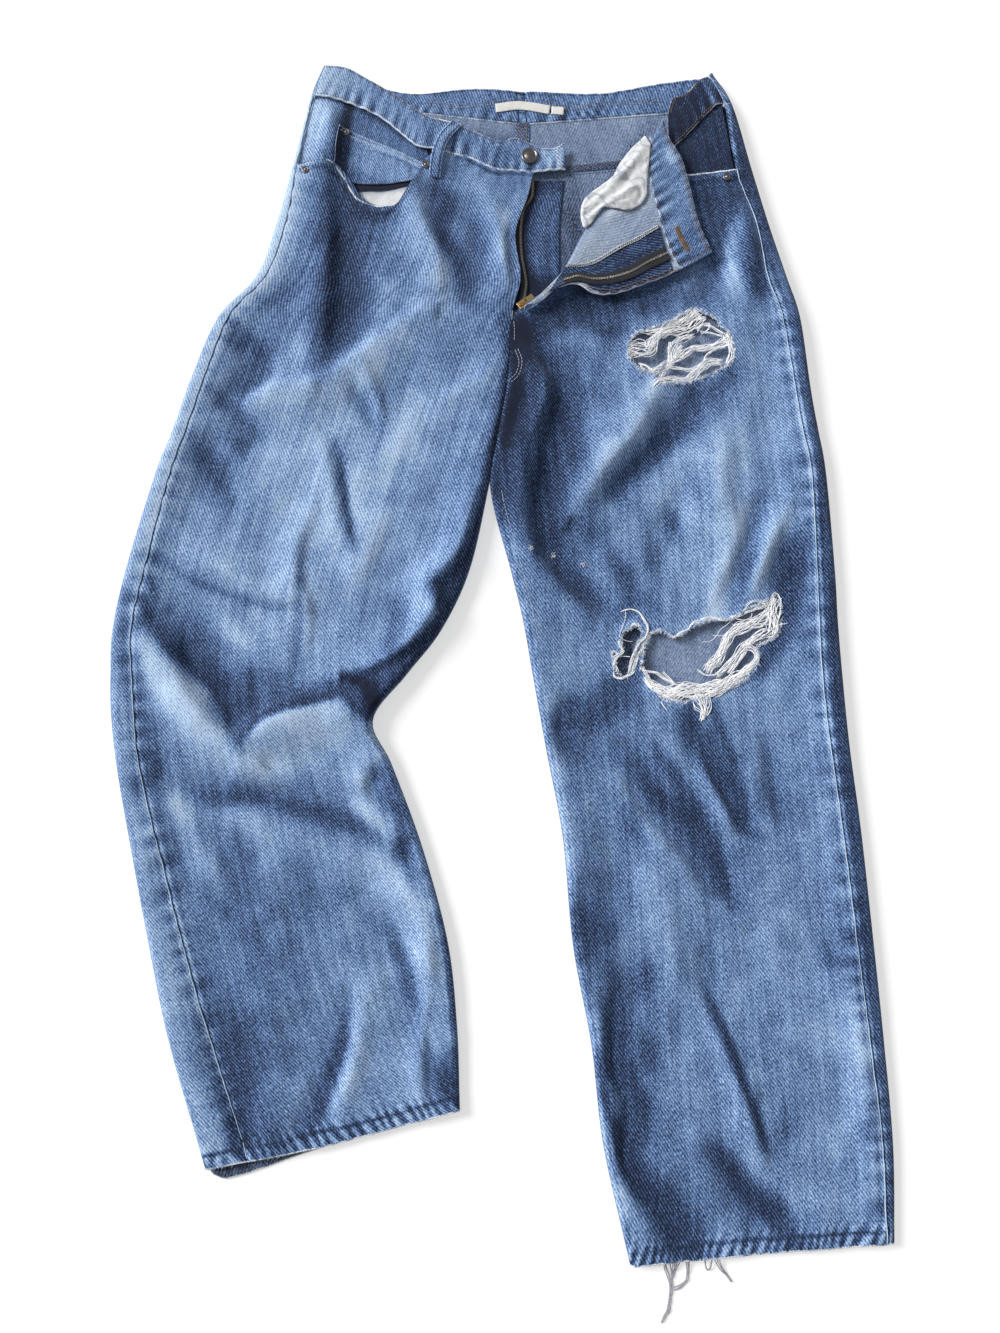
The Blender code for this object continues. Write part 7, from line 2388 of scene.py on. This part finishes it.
BUTTON_PROFILE = mm(
    (0, 0), (6.2, 0), (8, 0.9), (8.6, 1.6), (8.6, 2.5), (8.2, 3.2), (7.5, 3.6), (6.9, 3.5), (6.4, 3),
    (5.8, 2.8), (5, 3.1), (4, 3.6), (2.6, 4), (1.2, 4.2), (0, 4.2),
)
RIVET_PROFILE = mm(
    (0, 0), (4, 0), (4.2, 0.4), (3.9, 0.9), (3.2, 1.2), (2.4, 1.1), (1.9, 0.8), (1.5, 0.9), (1.1, 1.5),
    (0.5, 1.8), (0, 1.8),
)
spun("waistband_button_metal", BUTTON_PROFILE, standing_on(waistband_right, 0.0425, 0.4850),
     button_metal, "antique_metal", "button")
for node, x, y, piece in (
    ("rivet_coin_pocket", -0.144, 0.512, coin_pocket),
    ("rivet_right_side", -0.183, 0.467, front_right),
    ("rivet_right_front", -0.0625, 0.476, front_right),
    ("rivet_left_side", 0.241, 0.460, front_left),
):
    spun(f"{node}_metal", RIVET_PROFILE, standing_on(piece, x, y), button_metal, "antique_metal", node, 28)

# %% [markdown]
# ## Back pockets
# The jeans lie on their back pockets, so these show only from below: two patches with a pointed
# foot, a folded edge and two rows of stitches.

# %% Patch pockets underneath
def back_pocket(side, centre):
    upper = [(centre - 0.076, 0.430), (centre + 0.076, 0.430)]
    rows, columns = spread(0.15, 0.0050), spread(0.152, 0.0050)
    first = along(upper, columns)
    point = 0.5 - np.abs(columns - 0.5)
    last = np.column_stack([centre + (columns - 0.5) * 0.128, 0.292 - 0.036 * point])
    spot = first + (last - first) * rows[:, None, None]
    x, y = spot[..., 0], spot[..., 1]
    edge = np.minimum(np.minimum(rows[:, None], 1.0 - rows[:, None]) * 0.15, 0.14 * point[None, :])
    groove = sum(bell(edge - far, 0.0008) for far in (0.0026, 0.0088))
    tone = 0.10 * patchy(x, y, 0.02, 91) + 0.25 * bell(edge, 0.0012) - 0.30 * groove
    points, uv = np.dstack([x, y, 0.0003 * groove]), np.dstack([x - centre, y])
    wall = LIFT - SEAM - 0.0004
    return cloth(f"back_pocket_{side}_denim", points, tone, uv, wall, BAND_LOOKS, facing=-1.0)


def pocket_rows(centre):
    """Both stitching lines round a pocket's sides and foot."""
    rim = mm((-73.5, 428), (-67, 350), (-61.5, 294), (-30, 283.5), (0, 276.5))
    rim += [(-x, y) for x, y in rim[-2::-1]]
    return [([(centre + x, y) for x, y in rim], (0.0, 0.0060)),
            ([(centre - 0.071, 0.4240), (centre + 0.071, 0.4240)], (0.0, -0.0080))]


for side, centre in (("right", -0.086), ("left", 0.154)):
    piece = stands_for(back_pocket(side, centre), "denim_outside", f"back_pocket_{side}")
    sew(f"back_pocket_{side}_stitches", [piece], pocket_rows(centre), tan_thread, below=True)

# %% [markdown]
# ## Threads at the left hem
# The left hem is frayed: two loose ends of yarn, a loop, and short pale fibres along both hems.

# %% Hem threads
HEM_THREADS = bundles(
    (5, 0, (12, 7, 4, 3, 4, 1), (154, -544), (156, -560), (156.2, -572), (153.5, -585), (151, -590),
     (147.8, -596)),
    (3, 0, (4, 2, 3, 3), (170, -543), (171.2, -553), (170, -563), (163, -568.5), (156.5, -570)),
    (2, 0, (1, 1), (185, -545), (186.2, -553), (189, -554.5), (191.2, -546)),
    (3, 0, (5, 2, 1), (195, -545), (199, -553), (204, -559), (208.6, -565.6)),
    (4, 0, (7, 4, 2), (162, -544), (160, -553), (157.5, -562)),
)


def hem_lines(bundle, seed):
    """The strands of one loose end: from inside the hem down to the ground."""
    lines = []
    for strand in bundle_lines(bundle, LEFT, seed):
        run = np.clip((-0.5455 - strand[:, 1]) / 0.012, 0.0, 1.0)
        wave = 0.0004 * np.sin(900.0 * strand[:, 1] + seed)
        strand[:, 2] = 0.0035 * (1.0 - run) + 0.0006 + np.maximum(wave, -0.0002)
        strand[:, 3] = np.minimum(1.6 * strand[:, 3], 0.00050)
        lines.append(strand)
    return lines


groups = {"long": HEM_THREADS[:2] + HEM_THREADS[4:], "short": HEM_THREADS[2:4]}
for word, bundles in groups.items():
    lines = [line for k, row in enumerate(bundles) for line in hem_lines(row, 900 + 10 * k)]
    made = yarns(f"hem_yarns_{word}", lines, YARN, grey_yarn)
    stands_for(made, "white_cotton", f"hem_threads_{word}")


def hem_fuzz(name, half, look, per_metre, seed):
    line = half.hem_line.copy()
    line[:, 1] -= hem_drop(half, line[:, 0], line[:, 1], 0.0)
    below = line.mean(axis=0) - (0.0, 0.2)

    def under_lip(x, y):
        return half.bed(x, y) - 0.0012

    return edge_fuzz(name, line, below, look, per_metre, 0.0032, 0.00014, seed, under_lip)


fuzz_right = hem_fuzz("hem_right_fuzz", RIGHT, pale_thread, 1300.0, 951)
fuzz_left = hem_fuzz("hem_left_fuzz", LEFT, pale_thread, 1500.0, 961)
NICKS = mm((41.5, 72), (62.5, 68), (91, 59))  # three small snags beside the knee
chance = np.random.default_rng(971)
roots = np.concatenate([np.array(nick) + chance.normal(0.0, 0.0009, (26, 2)) for nick in NICKS])
headings = chance.uniform(-math.pi, math.pi, len(roots))
fibres("nick_fuzz", roots, headings, weft_white, 0.0030, 0.00016, 972, LEFT.bed)
print("hem fibres:", len(fuzz_right.data.polygons) + len(fuzz_left.data.polygons), "faces")

# %% [markdown]
# ## The pressed ridge of the outseams
# The side seams of worn jeans show a thin pale line: the allowance under the seam lifts the cloth,
# and ironing and wear take its blue off. A fine cord of worn denim along the seam, a little thicker
# in some places than in others, gives that line and closes the gap between the two panels.

# %% Outseam ridges
worn_seam = yarn_look("worn_seam", (0.56, 0.70, 0.86), (0.22, 0.33, 0.55))
HIP_SIDE = mm((-195, 468), (-189.7, 490), (-183.8, 520), (-177.8, 549), (-170, 588))


def ridge(pieces, line, thin):
    """The cord's axis and radius along a line, on the highest cloth close to either side."""
    tree = tree_of(*pieces)
    rise = lay(tree, line, 0.0001)
    for aside in (-0.003, 0.003):
        near = lay(tree, line + (aside, 0.0), 0.0001)
        if len(near) == len(rise):
            rise[:, 2] = np.maximum(rise[:, 2], near[:, 2])
    thick = thin + 0.00030 * np.clip(0.5 + patchy(rise[:, 0], rise[:, 1], 0.030, 981), 0.0, 1.0)
    return np.column_stack([rise, thick])


def seam_ridge(name, half, pieces, more=()):
    lines = [ridge(pieces, beside(outseam(half), -0.0008), 0.00040), *more]
    return stands_for(yarns(name, lines, 0.0005, worn_seam, 6), "denim_outside")


back_panel = {side: bpy.data.objects[f"back_{side}_denim"] for side in ("right", "left")}
hip_pieces = (pocket_facing_right, back_panel["right"], waistband_right)
hip_side = ridge(hip_pieces, beside(HIP_SIDE, 0.0), 0.0007)
right_pieces, left_pieces = (front_right, back_panel["right"]), (front_left, back_panel["left"])
ridge_right = seam_ridge("outseam_right_ridge", RIGHT, right_pieces, [hip_side])
ridge_left = seam_ridge("outseam_left_ridge", LEFT, left_pieces)
print("outseam ridges:", len(ridge_right.data.polygons) + len(ridge_left.data.polygons), "faces")

# %% [markdown]
# ## How each piece was cut
# Cloth keeps its area when it is laid in folds, so every piece is declared with the size that it was
# cut to. Where a cut isn't a rectangle, its own area follows, in square centimetres. The panels
# count as what shows of them all round the leg: the front, and the back with its side fold.

# %% Cuts
Cut = namedtuple("Cut", "width length area held under on_it", defaults=((), ()))
CUTS = {
    "back_right_denim": Cut(0.375, 0.985, 2960, "laid", (), ("seat_stitches",)),
    "back_left_denim": Cut(0.357, 1.065, 3140, "laid", (), ("seat_seam_overlock", "outseam_left_ridge")),
    "yoke_right_denim": Cut(0.246, 0.060, 108, "laid", ("back_right_denim",)),
    "yoke_left_denim": Cut(0.252, 0.060, 101, "laid", ("back_left_denim",)),
    "front_right_denim": Cut(0.318, 1.001, 2440, "laid", ("back_right_denim",), (
        "front_right_stitches", "hem_right_fuzz", "outseam_right_ridge",
        "rivet_right_side_metal", "rivet_right_front_metal",
    )),
    "front_left_denim": Cut(0.315, 1.042, 2600, "laid", ("back_left_denim",), (
        "front_left_stitches", "front_left_pale_stitches", "thigh_weft_yarns", "knee_weft_yarns",
        "thigh_hole_blue_fuzz", "thigh_hole_white_fuzz", "knee_hole_blue_fuzz", "knee_hole_white_fuzz",
        "knee_slit_blue_fuzz", "knee_slit_white_fuzz", "nick_fuzz", "hem_left_fuzz",
        "hem_yarns_long", "hem_yarns_short", "rivet_left_side_metal",
    )),
    "front_left_turned_back_denim": Cut(0.157, 0.224, 123, "folded", ("front_left_denim",), (
        "turned_back_edge_stitches",
    )),
    "fly_facing_denim": Cut(0.050, 0.105, 42, "folded", ("front_left_turned_back_denim",), (
        "fly_facing_overlock", "fly_facing_overlock_dark",
    )),
    "fly_shield_denim": Cut(0.053, 0.145, 65, "laid", ("back_right_denim",)),
    "waistband_right_denim": Cut(0.270, 0.0385, 91, "laid", ("front_right_denim",), (
        "waistband_right_stitches", "waistband_button_metal",
    )),
    "waistband_left_denim": Cut(0.064, 0.045, 23, "laid", ("front_left_denim",), (
        "waistband_left_stitches",
    )),
    "waistband_back_denim": Cut(0.464, 0.040, 154, "laid", ("back_right_denim",), (
        "waistband_back_stitches",
    )),
    "waistband_turned_back_denim": Cut(0.153, 0.042, 52, "folded", ("front_left_turned_back_denim",), (
        "waistband_turned_back_stitches", "buttonhole_thread",
    )),
    "pocket_facing_right_denim": Cut(0.133, 0.101, 109, "laid", ("front_right_denim",)),
    "pocket_facing_left_denim": Cut(0.073, 0.088, 39, "laid", ("front_left_denim",)),
    "coin_pocket_denim": Cut(0.093, 0.057, 40, "laid", ("pocket_facing_right_denim",), (
        "coin_pocket_stitches", "rivet_coin_pocket_metal",
    )),
    "pocket_bag_right_cotton": Cut(0.068, 0.054, 32, "laid", ("back_right_denim",)),
    "pocket_bag_left_cotton": Cut(0.043, 0.127, 36, "folded", ("front_left_turned_back_denim",)),
    "belt_loop_front_right_denim": Cut(0.012, 0.066, None, "folded", ("waistband_right_denim",), (
        "belt_loop_stitches",
    )),
    "belt_loop_back_right_denim": Cut(0.0125, 0.054, None, "laid", ("waistband_back_denim",)),
    "belt_loop_centre_back_denim": Cut(0.0125, 0.054, None, "laid", ("waistband_back_denim",)),
    "belt_loop_back_left_denim": Cut(0.0125, 0.052, None, "laid", ("waistband_back_denim",)),
    "waistband_label_cotton": Cut(0.010, 0.057, None, "laid", ("waistband_back_denim",)),
    "size_tab_cotton": Cut(0.010, 0.013, None, "laid", ("waistband_back_denim",)),
    "care_label_cotton": Cut(0.0105, 0.0235, None, "folded", ("waistband_back_denim",)),
    "zip_tape_right_woven": Cut(0.010, 0.145, 11, "laid", ("fly_shield_denim",), ("zip_teeth_right",)),
    "zip_tape_left_woven": Cut(0.015, 0.110, 14, "folded", ("fly_facing_denim",), ("zip_teeth_left",)),
    "centre_back_seam_denim": Cut(0.0145, 0.030, None, "laid", ("yoke_right_denim",)),
    "yoke_seam_denim": Cut(0.010, 0.0745, None, "laid", ("yoke_left_denim",)),
    "back_pocket_right_denim": Cut(0.152, 0.156, 205, "laid", ("back_right_denim",), (
        "back_pocket_right_stitches",
    )),
    "back_pocket_left_denim": Cut(0.152, 0.156, 205, "laid", ("back_left_denim",), (
        "back_pocket_left_stitches",
    )),
}
for name, cut in CUTS.items():
    area = None if cut.area is None else cut.area / 1e4
    whole = cut.width * cut.length if area is None else area
    print(f"{name}: {1e4 * whole:.0f} cm2 cut, {1e4 * made_pieces[name]:.0f} cm2 made")
print("cloth without a cut:", sorted(set(made_pieces) - set(CUTS)))

# %% [markdown]
# ## Floor, light and camera
# The jeans lie on a pale floor. Camera rays see it as plain white, through Light Path, while its own
# colour stays a middle grey, so it throws little light back on the cloth and still shows the shadow.
# A large soft sun from the upper left and an even pale sky light every fold from one side.

# %% Floor
floor_look = Look("pale_floor", 0.9, Base_Color=(0.55, 0.55, 0.55, 1.0), Specular_IOR_Level=0.0)
rays = floor_look.nodes.new("ShaderNodeLightPath")
seen = floor_look.add(
    "Math", {0: rays.outputs["Is Camera Ray"], 1: rays.outputs["Is Glossy Ray"]}, operation="MAXIMUM"
)
floor_look.set(Emission_Color=(1.0, 1.0, 1.0, 1.0), Emission_Strength=floor_look.times(seen, 0.55))
mesh = bmesh.new()
bmesh.ops.create_grid(mesh, x_segments=1, y_segments=1, size=6.0)
floor = object_of("floor", mesh, floor_look.made)
floor.location.z = -0.0005
print("floor laid", round(1000 * floor.location.z, 2), "mm")

# %% Light
sun_data = bpy.data.lights.new("window", "SUN")
sun_data.energy = 3.5
sun_data.angle = math.radians(22.0)
sun = placed("window", sun_data)
sun.rotation_mode = "QUATERNION"
sun.rotation_quaternion = Vector((-0.78, 0.34, 0.56)).to_track_quat("Z", "Y")
world = bpy.data.worlds.new("room")
bpy.context.scene.world = world
world.use_nodes = True
sky = world.node_tree.nodes["Background"]
sky.inputs["Color"].default_value = (1.0, 1.0, 1.0, 1.0)
sky.inputs["Strength"].default_value = 0.34
print("sun", sun_data.energy, "sky", sky.inputs["Strength"].default_value)

# %% Camera
camera_data = bpy.data.cameras.new("camera")
camera_data.lens = 27.0
camera_data.sensor_width = 36.0
camera = placed("camera", camera_data)
camera.location = (0.0125, -0.200, 0.92)
camera.rotation_euler = (math.radians(10.0), 0.0, 0.0)
scene = bpy.context.scene
scene.camera = camera
scene.view_settings.view_transform = "Standard"
scene.cycles.denoising_prefilter = "NONE"  # the fine weave is kept, not smoothed away
print("camera", tuple(round(v, 3) for v in camera.location))
